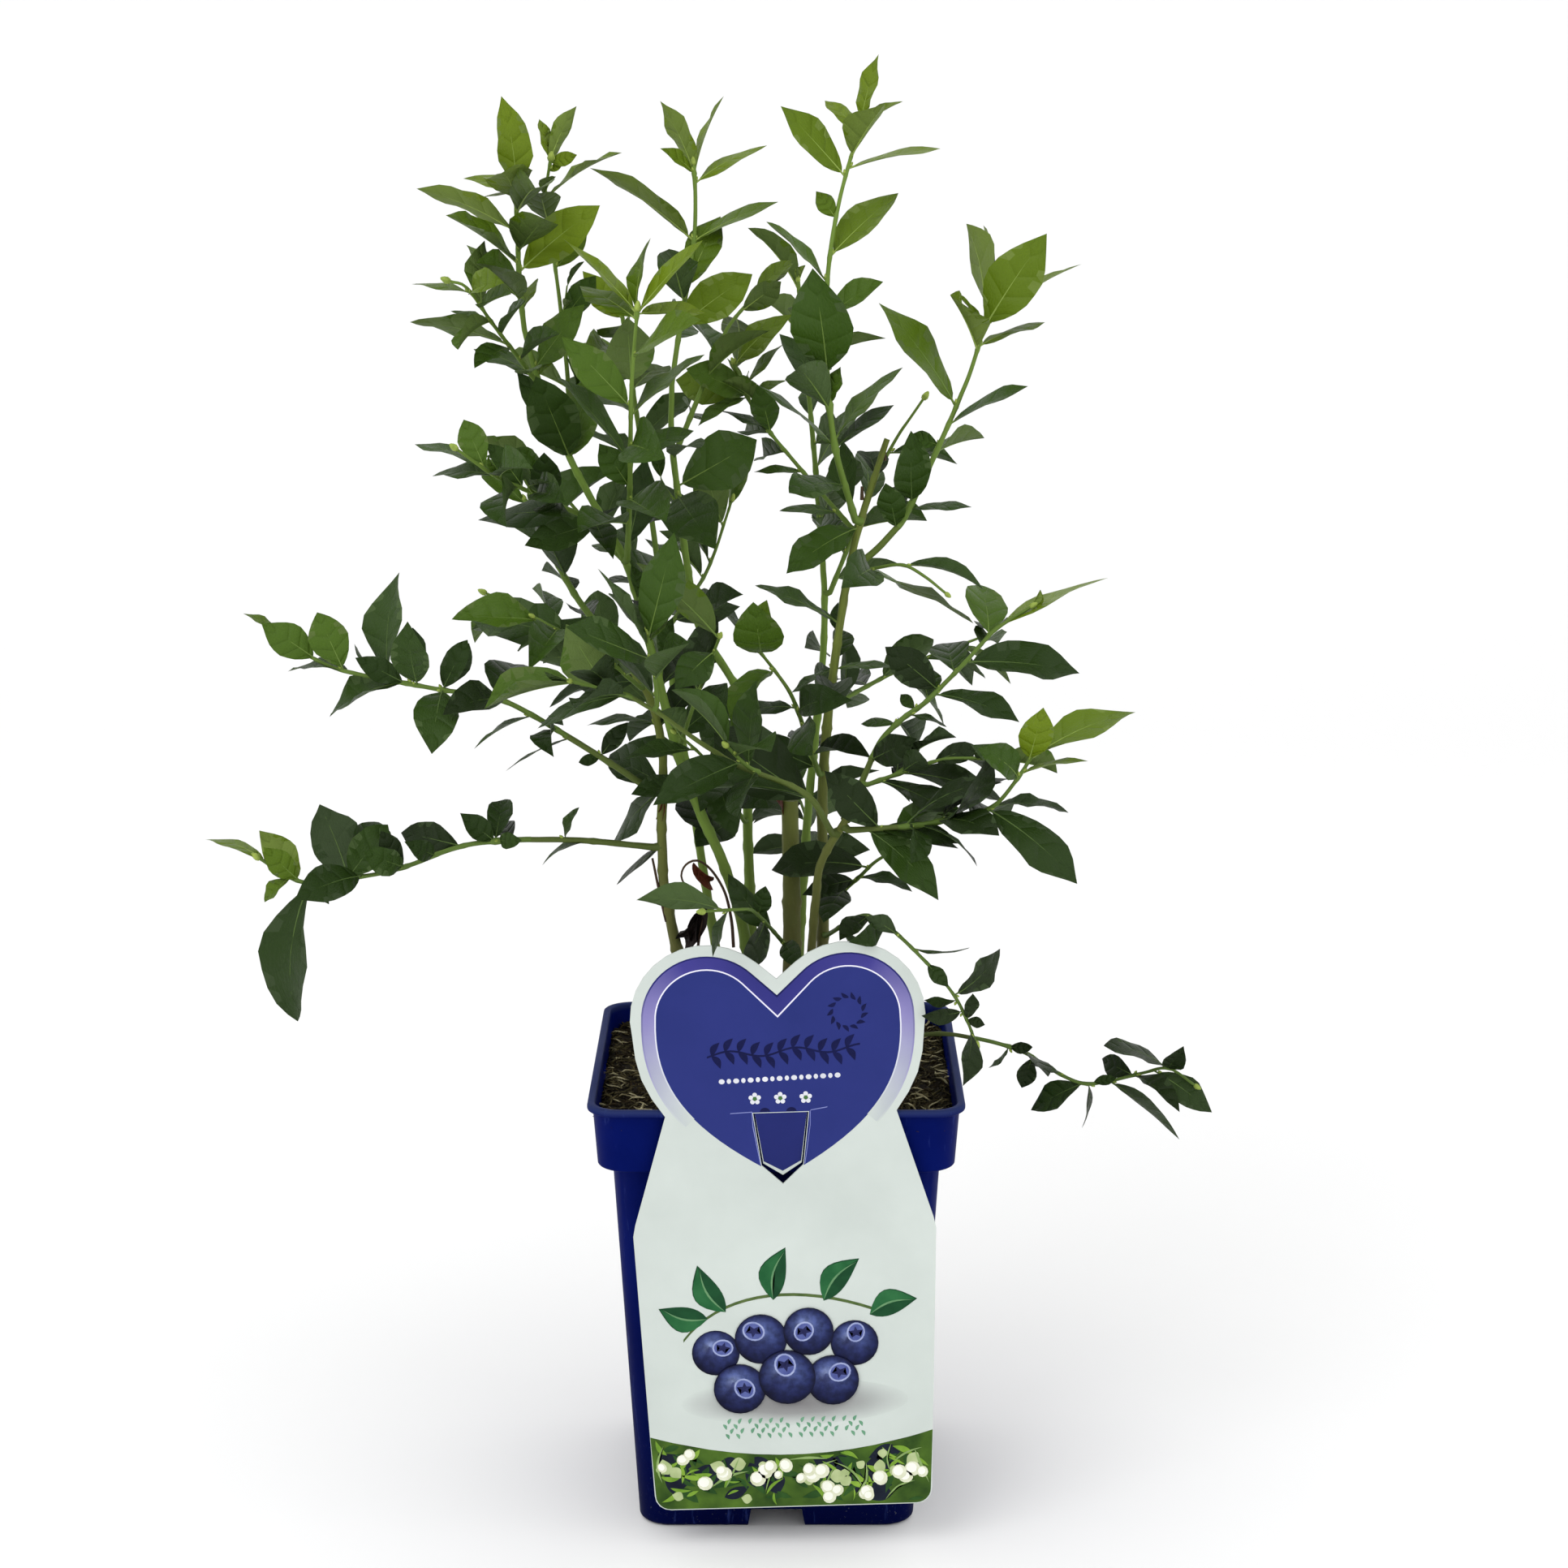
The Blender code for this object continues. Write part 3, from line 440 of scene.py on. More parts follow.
def navyPlastic():
    made, tree, shader = newMaterial("navyPlastic", {"Specular IOR Level": 0.015})
    spot = objectPlace(tree)
    base = useGroup(tree, mottle, {"Vector": spot, "Dark": navyLook["dark"], "Light": navyLook["light"],
                                   "Scale": 14.0, "Spread": 0.2})
    # Painted highlight: the top of the lip is mixed towards the paler rim tone.
    lipHighlightShare = heightShare(tree, spot, *navyLook["lipHighlightHeights"])
    # Painted shade: the pot grows darker towards its foot.
    footShadeShare = heightShare(tree, spot, *navyLook["footShadeHeights"])
    footShaded = mixColours(tree, footShadeShare, base.outputs["Colour"], navyLook["foot"])
    rimmed = mixColours(tree, lipHighlightShare, footShaded, navyLook["rim"])
    scuffs = useGroup(tree, wear, {"Vector": spot, "Stretch": (1.0, 1.0, 0.12), "Scale": 260.0,
                                   "Start": 0.6, "Full": 0.9})
    scuffed = mixColours(tree, scuffs, rimmed, navyLook["scuff"])
    specks = useGroup(tree, wear, {"Vector": spot, "Scale": 700.0, "Start": 0.62, "Full": 0.72})
    low = heightShare(tree, spot, *navyLook["dustHeights"])
    dusty = maths(tree, "MULTIPLY", specks, low)
    join(tree, mixColours(tree, dusty, scuffed, navyLook["dust"]), shader.inputs["Base Color"])
    finishSurface(tree, shader, spot, (420.0, 0.00012, 0.3), base.outputs["Mask"], navyLook["rough"])
    return made


def faded(name, stops, acrossStops, uneven=0.06, grainScale=60.0):
    # A printed blend: colours along the strip's own length, times those across it, a little uneven.
    made, tree, shader = newMaterial(name, {"Roughness": 0.42, "Specular IOR Level": 0.12})
    laid = addNode(tree, "ShaderNodeUVMap", uv_map="strip")
    split = addNode(tree, "ShaderNodeSeparateXYZ", {0: laid})
    ramps = []
    for share, wanted in ((split, stops), (split.outputs[1], acrossStops)):
        ramp = addNode(tree, "ShaderNodeValToRGB", {0: share})
        points = ramp.color_ramp.elements
        while len(points) < len(wanted):
            points.new(0.5)
        for point, (position, colour) in zip(points, wanted):
            point.position = position
            point.color = colour
        ramps.append(ramp)
    mix = addNode(tree, "ShaderNodeMix", {0: 1.0, 6: ramps[0], 7: ramps[1]}, data_type="RGBA",
                  blend_type="MULTIPLY")
    spot = objectPlace(tree)
    patches = useGroup(tree, mottle, {"Vector": spot, "Dark": (*[1 - uneven] * 3, 1), "Light": white,
                                      "Scale": grainScale})
    blend = addNode(tree, "ShaderNodeMix", {0: 1.0, 6: mix.outputs[2], 7: patches.outputs["Colour"]},
                    data_type="RGBA", blend_type="MULTIPLY")
    join(tree, blend.outputs[2], shader.inputs["Base Color"])
    finishSurface(tree, shader, spot, printRelief)
    return made


barkLook = {"streakGrain": 1.6, "streakSpread": 0.16, "streakShare": 0.55, "dotGrain": 5.0,
            "dotShare": 0.5, "dotTone": tone(150, 140, 105), "rough": (0.5, 0.75)}


def barkLike(name, low, high, heights, streak, depth):
    # Bark whose colour changes with height and runs in streaks along the limb.
    made, tree, shader = newMaterial(name, {"Specular IOR Level": 0.15})
    spot = objectPlace(tree)
    laid = addNode(tree, "ShaderNodeAttribute", attribute_name="barkPlace").outputs["Vector"]
    rise = heightShare(tree, spot, heights[0] * mm, heights[1] * mm)
    base = mixColours(tree, rise, tone(*low), tone(*high))
    streaks = useGroup(tree, mottle, {"Vector": laid, "Scale": barkLook["streakGrain"],
                                      "Spread": barkLook["streakSpread"]})
    shade = maths(tree, "MULTIPLY", streaks.outputs["Mask"], barkLook["streakShare"])
    streaky = mixColours(tree, shade, base, tone(*streak))
    dots = useGroup(tree, wear, {"Vector": laid, "Scale": barkLook["dotGrain"], "Start": 0.62, "Full": 0.7})
    dotShare = maths(tree, "MULTIPLY", dots, barkLook["dotShare"])
    join(tree, mixColours(tree, dotShare, streaky, barkLook["dotTone"]), shader.inputs["Base Color"])
    finishSurface(tree, shader, laid, (3.0, depth, 0.6), streaks.outputs["Mask"], barkLook["rough"])
    return made


def leafSkin(name, colour, sheen, strength):
    made, tree, shader = newMaterial(name, {"Base Color": colour, "Specular IOR Level": 0.16})
    blade = addNode(tree, "ShaderNodeUVMap", uv_map="blade")
    skin = useGroup(tree, veins, {"Blade": blade, "Sheen": sheen, "Strength": strength})
    join(tree, skin.outputs["Normal"], shader.inputs["Normal"])
    join(tree, skin.outputs["Roughness"], shader.inputs["Roughness"])
    return made


# From the painted deep shade of the lower crown to the yellow green of new tips and the painted light on the
# top of the crown.
shadeToLightLeafTones = (tone(27, 42, 11), tone(35, 55, 14), tone(44, 67, 17), tone(54, 80, 20), tone(69, 96, 23),
             tone(80, 105, 18), tone(89, 112, 16), tone(102, 124, 18))
underTones = (tone(50, 66, 36), tone(66, 86, 44), tone(84, 104, 48), tone(106, 126, 52))
topMaterials = [leafSkin(f"leafTop{i}", colour, 0.42, 0.9) for i, colour in enumerate(shadeToLightLeafTones)]
underMaterials = [leafSkin(f"leafUnder{i}", colour, 0.6, 0.8) for i, colour in enumerate(underTones)]
ribMaterials = [leafSkin(f"leafRib{i}", colour, 0.5, 0.2)
                for i, colour in enumerate((tone(80, 102, 50), tone(106, 130, 60), tone(140, 162, 76)))]
driedMaterials = [leafSkin("driedRusty", tone(92, 44, 26), 0.7, 1.0),
                  leafSkin("driedBlack", tone(30, 22, 20), 0.7, 1.0)]
print("materials ready")


# Limbs: the same shoots and the same rule as the solids

def shoot(name, parent, at, through, radii, bare=0.0, leaves=0, size=38.0, phase=0.0, droop=25.0, hanging=-1):
    return {"name": name, "parent": parent, "at": at, "through": through, "radii": radii, "bare": bare,
            "leaves": leaves, "size": size, "phase": phase, "droop": droop, "hanging": hanging}


# Canes rise from the compost: their first place is where they stand, and the last is the tip.
canes = (
    shoot("cane_left", "", 0, ((-32, -15, 193), (-50, -20, 290), (-50, -20, 335), (-56, -5, 370),
          (-90, 10, 415), (-112, 22, 455)), (2.9, 1.1), 0.77, 9, 40, 40, 30),
    shoot("cane_left_inner", "", 0, ((-7, -2, 193), (-17, -15, 277), (-41, -20, 341), (-56, -10, 397),
          (-67, 0, 432), (-89, -5, 475), (-109, 4, 530), (-112, 0, 595)), (2.9, 0.9), 0.83, 12, 46, 200,
          20),
    shoot("cane_centre", "", 0, ((-10, 10, 193), (-13, 15, 307), (-14, 18, 363), (-34, 15, 398),
          (-44, 15, 462), (-46, 15, 505), (-36, 25, 570), (-36, 24, 602)), (2.7, 0.8), 0.76, 12, 42, 120,
          25),
    shoot("cane_old", "", 0, ((6, -13, 193), (7, -13, 262), (6, -10, 325)), (4.4, 3.7), 1),
    shoot("cane_mid", "", 0, ((12, -25, 193), (16, -40, 270), (20, -50, 308), (31, -60, 330)), (2.3, 1.6),
          1),
    shoot("cane_right", "", 0, ((18, 0, 193), (21, 0, 259), (21, 5, 333), (28, 12, 398), (36, 15, 441),
          (49, 15, 483)), (3.1, 1.3), 1),
    shoot("cane_back", "", 0, ((8, 18, 193), (14, 45, 300), (22, 80, 380), (20, 104, 436), (10, 104, 545)),
          (2.4, 0.9), 0.66, 11, 40, 60, 25),
    shoot("cane_back_left", "", 0, ((-20, 16, 193), (-36, 48, 290), (-50, 82, 370), (-58, 98, 430),
          (-72, 96, 535)), (2.4, 0.9), 0.66, 11, 40, 10, 25),
)

# Boughs with a bare lower stretch, and shoots that are leafy from their start
sideShoots = (
    shoot("bough_upper_left", "cane_left", 0.485, ((-79, -35, 352), (-116, -50, 378), (-142, -50, 383),
          (-191, -40, 391), (-213, -36, 403)), (1.5, 0.7), 0.32, 15, 37, 90, 35),
    shoot("bough_lower_left", "cane_left", 0.40, ((-94, -30, 312), (-135, -35, 311), (-170, -40, 300),
          (-210, -40, 296), (-226, -40, 306)), (1.5, 0.7), 0.34, 14, 40, 20, 40, 11),
    shoot("bough_low_right", "cane_old", 0.06, ((40, -2, 206), (68, 0, 213), (89, -5, 213), (113, -5, 206),
          (139, -10, 193), (178, -10, 200), (190, -10, 192)), (1.2, 0.6), 0.42, 12, 27, 0, 25),
    shoot("bough_right", "cane_right", 0.805, ((54, 15, 444), (71, 20, 477), (86, 25, 512), (92, 25, 532)),
          (1.6, 0.8), 0.24, 12, 43, 150, 20),
    shoot("bough_mid_right", "cane_mid", 0.985, ((47, -25, 357), (65, -15, 370), (83, -5, 386),
          (98, 5, 400), (113, 8, 409)), (1.5, 0.7), 0.24, 12, 38, 60, 25),
    shoot("bough_front_right", "cane_mid", 0.96, ((63, -75, 330), (92, -80, 339), (102, -80, 351),
          (110, -79, 364)), (1.4, 0.7), 0.24, 11, 38, 30, 40, 5),
    shoot("bough_front", "cane_mid", 0.93, ((12, -85, 346), (-17, -100, 362), (-38, -105, 377),
          (-59, -105, 391), (-84, -105, 398)), (1.5, 0.7), 0.80, 6, 44, 70, 25),
    shoot("shoot_left_tip", "cane_left_inner", 0.80, ((-122, -20, 538), (-131, -30, 553), (-138, -33, 556)),
          (1.0, 0.6), 0, 8, 32, 160, 20),
    shoot("shoot_left_back", "cane_left_inner", 0.725, ((-92, 20, 508), (-96, 25, 548), (-101, 25, 589),
          (-98, 18, 604)), (1.2, 0.6), 0, 11, 38, 210, 20),
    shoot("shoot_left_front", "cane_left_inner", 0.59, ((-63, -25, 467), (-61, -45, 512), (-58, -50, 545)),
          (1.4, 0.7), 0, 9, 48, 250, 20),
    shoot("shoot_left_side", "cane_left_inner", 0.64, ((-95, -30, 461), (-121, -50, 477), (-134, -58, 488)),
          (1.2, 0.6), 0, 9, 36, 90, 25),
    shoot("shoot_centre_back", "cane_centre", 0.70, ((-21, 50, 530), (-10, 62, 542)), (1.3, 0.7), 0, 8, 42,
          0, 25),
    shoot("shoot_right_top", "cane_right", 0.87, ((26, 0, 480), (22, -5, 514), (22, 0, 552), (27, 5, 586),
          (37, 10, 622)), (1.6, 0.7), 0, 15, 45, 300, 20),
    shoot("shoot_right_inner", "cane_right", 0.855, ((5, 35, 474), (-10, 40, 493), (-19, 45, 513)), (1.1,
          0.6), 0, 9, 28, 60, 25),
    shoot("shoot_right_leaf", "cane_right", 0.79, ((56, -5, 430), (74, -20, 420)), (0.9, 0.6), 0, 3, 38, 0,
          30),
    shoot("shoot_lance", "bough_front", 0.765, ((-50, -107, 401), (-53, -106, 418)), (0.9, 0.6), 0, 4, 46,
          200, 10),
    shoot("shoot_front_centre", "bough_front", 0.43, ((-12, -104, 362), (-20, -112, 372)), (1.0, 0.6), 0, 5,
          42, 100, 20),
    shoot("shoot_curled", "cane_right", 0.48, ((13, -10, 355), (6, -20, 376), (-7, -30, 396)), (1.2, 0.7),
          0, 9, 36, 30, 45),
    shoot("shoot_low_front", "cane_right", 0.28, ((37, -25, 294), (44, -40, 305), (54, -52, 314)), (1.1,
          0.6), 0, 6, 38, 320, 45, 4),
    shoot("shoot_over_card", "cane_right", 0.23, ((40, -62, 286), (60, -93, 278), (77, -86, 256),
          (86, -78, 234)), (1.1, 0.6), 0, 11, 24, 40, 30),
    shoot("shoot_above_card", "cane_old", 0.50, ((-8, -60, 286), (-14, -95, 298), (-30, -106, 300)), (1.0,
          0.6), 0, 7, 33, 180, 30),
    shoot("shoot_centre_low", "cane_centre", 0.28, ((-30, -22, 345), (-44, -38, 362)), (1.0, 0.6), 0, 7, 35,
          60, 35),
    shoot("shoot_centre_mid", "cane_left_inner", 0.39, ((-34, -46, 380), (-24, -60, 408)), (1.1, 0.6), 0, 8,
          38, 200, 30),
    shoot("shoot_left_mid", "cane_left", 0.655, ((-78, -30, 396), (-104, -44, 414)), (1.1, 0.6), 0, 8, 38,
          30, 30),
    shoot("shoot_right_low", "bough_mid_right", 0.14, ((74, -46, 352), (100, -52, 352)), (1.0, 0.6), 0, 6,
          29, 100, 30),
    shoot("shoot_far_right", "cane_back", 0.45, ((62, 112, 362), (100, 126, 374)), (1.3, 0.6), 0, 11, 35,
          60, 30),
    shoot("shoot_far_left", "cane_back_left", 0.45, ((-96, 104, 378), (-138, 108, 398)), (1.3, 0.6), 0, 11,
          38, 60, 30),
    shoot("shoot_far_right_high", "cane_back", 0.60, ((50, 98, 462), (68, 92, 492)), (1.2, 0.6), 0, 8, 36,
          100, 25),
    shoot("shoot_far_left_high", "cane_back_left", 0.62, ((-92, 84, 440), (-112, 76, 466)), (1.2, 0.6), 0,
          8, 36, 180, 25),
    shoot("shoot_back_low", "cane_back", 0.26, ((14, 92, 292), (8, 122, 300)), (1.1, 0.6), 0, 8, 34, 0, 35),
    shoot("shoot_back_mid", "cane_back_left", 0.58, ((-34, 132, 404), (-22, 150, 436)), (1.2, 0.6), 0, 9,
          38, 0, 25),
)

limbRule = {"caneStep": 20 * mm, "twigStep": 14 * mm, "flareHeight": 5 * mm, "flare": 1.4,
            "firstStep": 1.5 * mm, "leafyStart": 2 * mm, "fineStep": 2 * mm,
            "collar": 0.6, "collarLength": 2.2 * mm, "nodeSwell": 0.2, "nodeLength": 1.5 * mm,
            "nodeApart": 19 * mm, "caneSides": 16, "boughSides": 12, "twigSides": 10}


def smoothPath(corners, step):
    # A Catmull-Rom curve through the corners, as points about one step apart.
    ends = [corners[0] * 2 - corners[1]] + corners + [corners[-1] * 2 - corners[-2]]
    path = []
    for a, b, c, d in zip(ends, ends[1:], ends[2:], ends[3:]):
        count = max(1, round((c - b).length / step))
        for i in range(count):
            t = i / count
            path.append(0.5 * (2 * b + (c - a) * t + (2 * a - 5 * b + 4 * c - d) * t ** 2
                               + (3 * b - a - 3 * c + d) * t ** 3))
    return path + [corners[-1]]


def lengthsAlong(path):
    total = [0.0]
    for a, b in zip(path, path[1:]):
        total.append(total[-1] + (b - a).length)
    return total


def pointAt(path, share):
    along = lengthsAlong(path)
    target = share * along[-1]
    for i in range(1, len(path)):
        if along[i] >= target or i == len(path) - 1:
            run = path[i] - path[i - 1]
            return path[i - 1] + run * (target - along[i - 1]) / run.length, run.normalized()


def radiusAt(limb, share):
    foot, tip = limb["radii"]
    return (foot + (tip - foot) * share) * mm


def pathOf(limb, made):
    # The shoot's route, and the place inside its parent that its skin starts from.
    corners = [Vector(p) * mm for p in limb["through"]]
    if not limb["parent"]:
        foot = corners[0] + up * gap
        rise = limbRule["flareHeight"]
        return [foot, foot + up * rise / 2] + smoothPath([foot + up * rise] + corners[1:],
                                                         limbRule["caneStep"]), None
    parent, path = made[limb["parent"]]
    start, along = pointAt(path, limb["at"])
    out = corners[0] - start
    out = (out - along * out.dot(along)).normalized()
    inside = start + out * radiusAt(parent, limb["at"]) * 0.3
    start = start + out * (radiusAt(parent, limb["at"]) + gap)
    first = start + out * limbRule["firstStep"]
    return [start] + smoothPath([first] + corners, limbRule["twigStep"]), inside


def splitPath(path, share):
    along = lengthsAlong(path)
    cutAt = min(range(2, len(path) - 1), key=lambda i: abs(along[i] - share * along[-1]))
    ahead = (path[cutAt] - path[cutAt - 1]).normalized()
    leafy = [path[cutAt] + ahead * gap, path[cutAt] + ahead * limbRule["leafyStart"]] + path[cutAt + 1:]
    return path[:cutAt + 1], leafy, along[cutAt] / along[-1]


def planLimbs():
    # Each limb's bare and leafy stretch, with the shares of the limb's length at their ends.
    made = {}
    plans = []
    for limb in canes + sideShoots:
        path, inside = pathOf(limb, made)
        made[limb["name"]] = (limb, path)
        bare, stem, low = (path, [], 1.0) if limb["bare"] == 1 else ([], path, 0.0)
        if 0 < limb["bare"] < 1:
            bare, stem, low = splitPath(path, limb["bare"])
        plans.append({"limb": limb, "path": path, "bare": bare, "stem": stem, "low": low, "inside": inside,
                      "leafAt": []})
    return plans


# Growing leaves by the solids' rule

leafRule = {"seed": 11, "thick": 0.024, "sections": ((0.3, 0.93), (0.66, 0.8)), "turn": 144 * degree,
            "clearance": 1.2 * mm, "turnsTried": (0, 28, -28, 55, -55, 85, -85, 120, -120, 160),
            "backStart": 40 * mm, "sideSpread": 52, "tipSpread": 22, "hangingSize": 1.35,
            "upLight": 0.6, "alongLight": 0.25, "sideLight": 0.45, "flatten": 0.7,
            "sizeLeast": 0.68, "sizeMore": 0.32, "sizeStart": 0.12, "sizeRun": 0.66}

# Where each kind of leaf starts its count: a leaf's shoot and number together seed its own shape.
kindStart = {"twiglet": 100, "young": 200, "aimed": 300, "spur": 400}


def proxyLeaf(leaf, swell=0.0):
    # The solids' own pointed blade of few faces, used here only to keep leaves apart.
    across = leaf["ahead"].cross(leaf["face"])
    bend = leaf["length"] / leaf["droop"]
    thick = leaf["length"] * leafRule["thick"] / 2 + swell

    def spot(share, side, height):
        turned = leaf["droop"] * share
        rib = bend * (math.sin(turned) * leaf["ahead"] - (1 - math.cos(turned)) * leaf["face"])
        rise = math.sin(turned) * leaf["ahead"] + math.cos(turned) * leaf["face"]
        return leaf["root"] + rib + across * side + rise * height

    places = [spot(2.5 * swell / leaf["length"], 0, 0), spot(1 + swell / leaf["length"], 0, 0)]
    for share, wide in leafRule["sections"]:
        half = leaf["width"] / 2 * wide + swell
        lift = half * leaf["fold"]
        places += [spot(share, half, lift), spot(share, 0, thick), spot(share, -half, lift),
                   spot(share, 0, -thick)]
    faces = []
    for i in range(4):
        before = (i - 1) % 4
        faces += [(0, 2 + i, 2 + before), (1, 6 + before, 6 + i), (2 + i, 6 + i, 6 + before, 2 + before)]
    return touchTree(places, faces)


def touchTree(places, faces):
    tree = BVHTree.FromPolygons(places, faces)
    low = Vector([min(p[i] for p in places) for i in range(3)])
    high = Vector([max(p[i] for p in places) for i in range(3)])
    return tree, low, high


def meshTree(mesh):
    return touchTree([v.co.copy() for v in mesh.vertices], [tuple(p.vertices) for p in mesh.polygons])


def near(a, b):
    return all(a[1][i] <= b[2][i] and b[1][i] <= a[2][i] for i in range(3))


def isClear(own, others):
    return not any(near(own, other) and own[0].overlap(other[0]) for other in others)


def keepLeaf(leaf, grown, others, **facts):
    leaf.update(facts)
    grown.append(leaf)
    others.append(proxyLeaf(leaf))


def leafHere(root, along, around, size, draw, droop, pose):
    steep = abs(along.z)
    out = around - up * around.z * leafRule["flatten"] * (1 - steep)
    out = (out - along * out.dot(along)).normalized()
    spread = (leafRule["tipSpread"] if pose == "last" else leafRule["sideSpread"] + draw["spread"]) * degree
    ahead = (along * math.cos(spread) + out * math.sin(spread)).normalized()
    if pose == "hanging":
        ahead = (out * 0.4 - up).normalized()
    openSide = -1 if root.y < leafRule["backStart"] else 1
    light = up * leafRule["upLight"] + along * leafRule["alongLight"]
    light += Vector((0, leafRule["sideLight"] * openSide, 0))
    face = (light - ahead * light.dot(ahead)).normalized()
    face = Matrix.Rotation(draw["roll"] * degree, 3, ahead) @ face
    return {"root": root, "ahead": ahead, "face": face, "length": size * draw["size"] * mm,
            "width": size * draw["size"] * draw["width"] * mm, "droop": droop * draw["droop"] * degree,
            "fold": draw["fold"], "pose": pose}


def drawLeaf(dice):
    return {"turn": dice.uniform(-22, 22), "spread": dice.uniform(-10, 12),
            "size": dice.uniform(0.88, 1.15), "roll": dice.uniform(-55, 55),
            "width": dice.uniform(0.41, 0.54), "droop": dice.uniform(0.5, 1.5),
            "fold": dice.uniform(0.08, 0.4)}


def aroundTwig(along, angle):
    side = along.cross(up)
    side = side.normalized() if side.length > 0.15 else Vector((1, 0, 0))
    side = (side - along * side.dot(along)).normalized()
    return Matrix.Rotation(angle, 3, along) @ side


def leafySize(share):
    # Small at the shoot's foot, full size at its middle and a little smaller at its tip.
    rise = leafRule["sizeStart"] + leafRule["sizeRun"] * share
    return leafRule["sizeLeast"] + leafRule["sizeMore"] * math.sin(math.pi * rise)


thinShare = {"bareBelow": 0.8, "aimed": 0.3}
bareBelow = ("bough_lower_left", "bough_upper_left", "bough_low_right", "shoot_over_card")


def thinning(limb, plan):
    # The share of a shoot's own leaves that gives way to those seen from the front.
    if limb["name"] in bareBelow:
        return thinShare["bareBelow"]
    return thinShare["aimed"] if plan["seenAt"] else 0


def growLeaves(plan, dice, others):
    limb = plan["limb"]
    grown = []
    for i in range(limb["leaves"]):
        draw = drawLeaf(dice)
        share = (i + 0.6) / limb["leaves"]
        pose = "last" if i == limb["leaves"] - 1 else "hanging" if i == limb["hanging"] else "side"
        spot, along = pointAt(plan["stem"], min(share, 0.985))
        size = limb["size"] * (leafRule["hangingSize"] if pose == "hanging" else leafySize(share))
        angle = (limb["phase"] + draw["turn"]) * degree + i * leafRule["turn"]
        crowded = any((spot - seen).length < aimRule["apart"] for seen in plan["seenAt"])
        thinned = random.Random(f"{limb['name']} thinning {i}").random() < thinning(limb, plan)
        if (crowded and pose != "side") or (thinned and pose != "last"):
            continue
        for turn in leafRule["turnsTried"]:
            around = aroundTwig(along, angle + turn * degree)
            leaf = leafHere(spot, along, around, size, draw, limb["droop"], pose)
            if (crowded and abs(leaf["ahead"].dot(toBack)) < aimRule["towards"]) or inSkyGap(leaf):
                continue
            if isClear(proxyLeaf(leaf, leafRule["clearance"]), others):
                keepLeaf(leaf, grown, others, share=share, along=along, shoot=limb["name"], number=i)
                break
    return grown


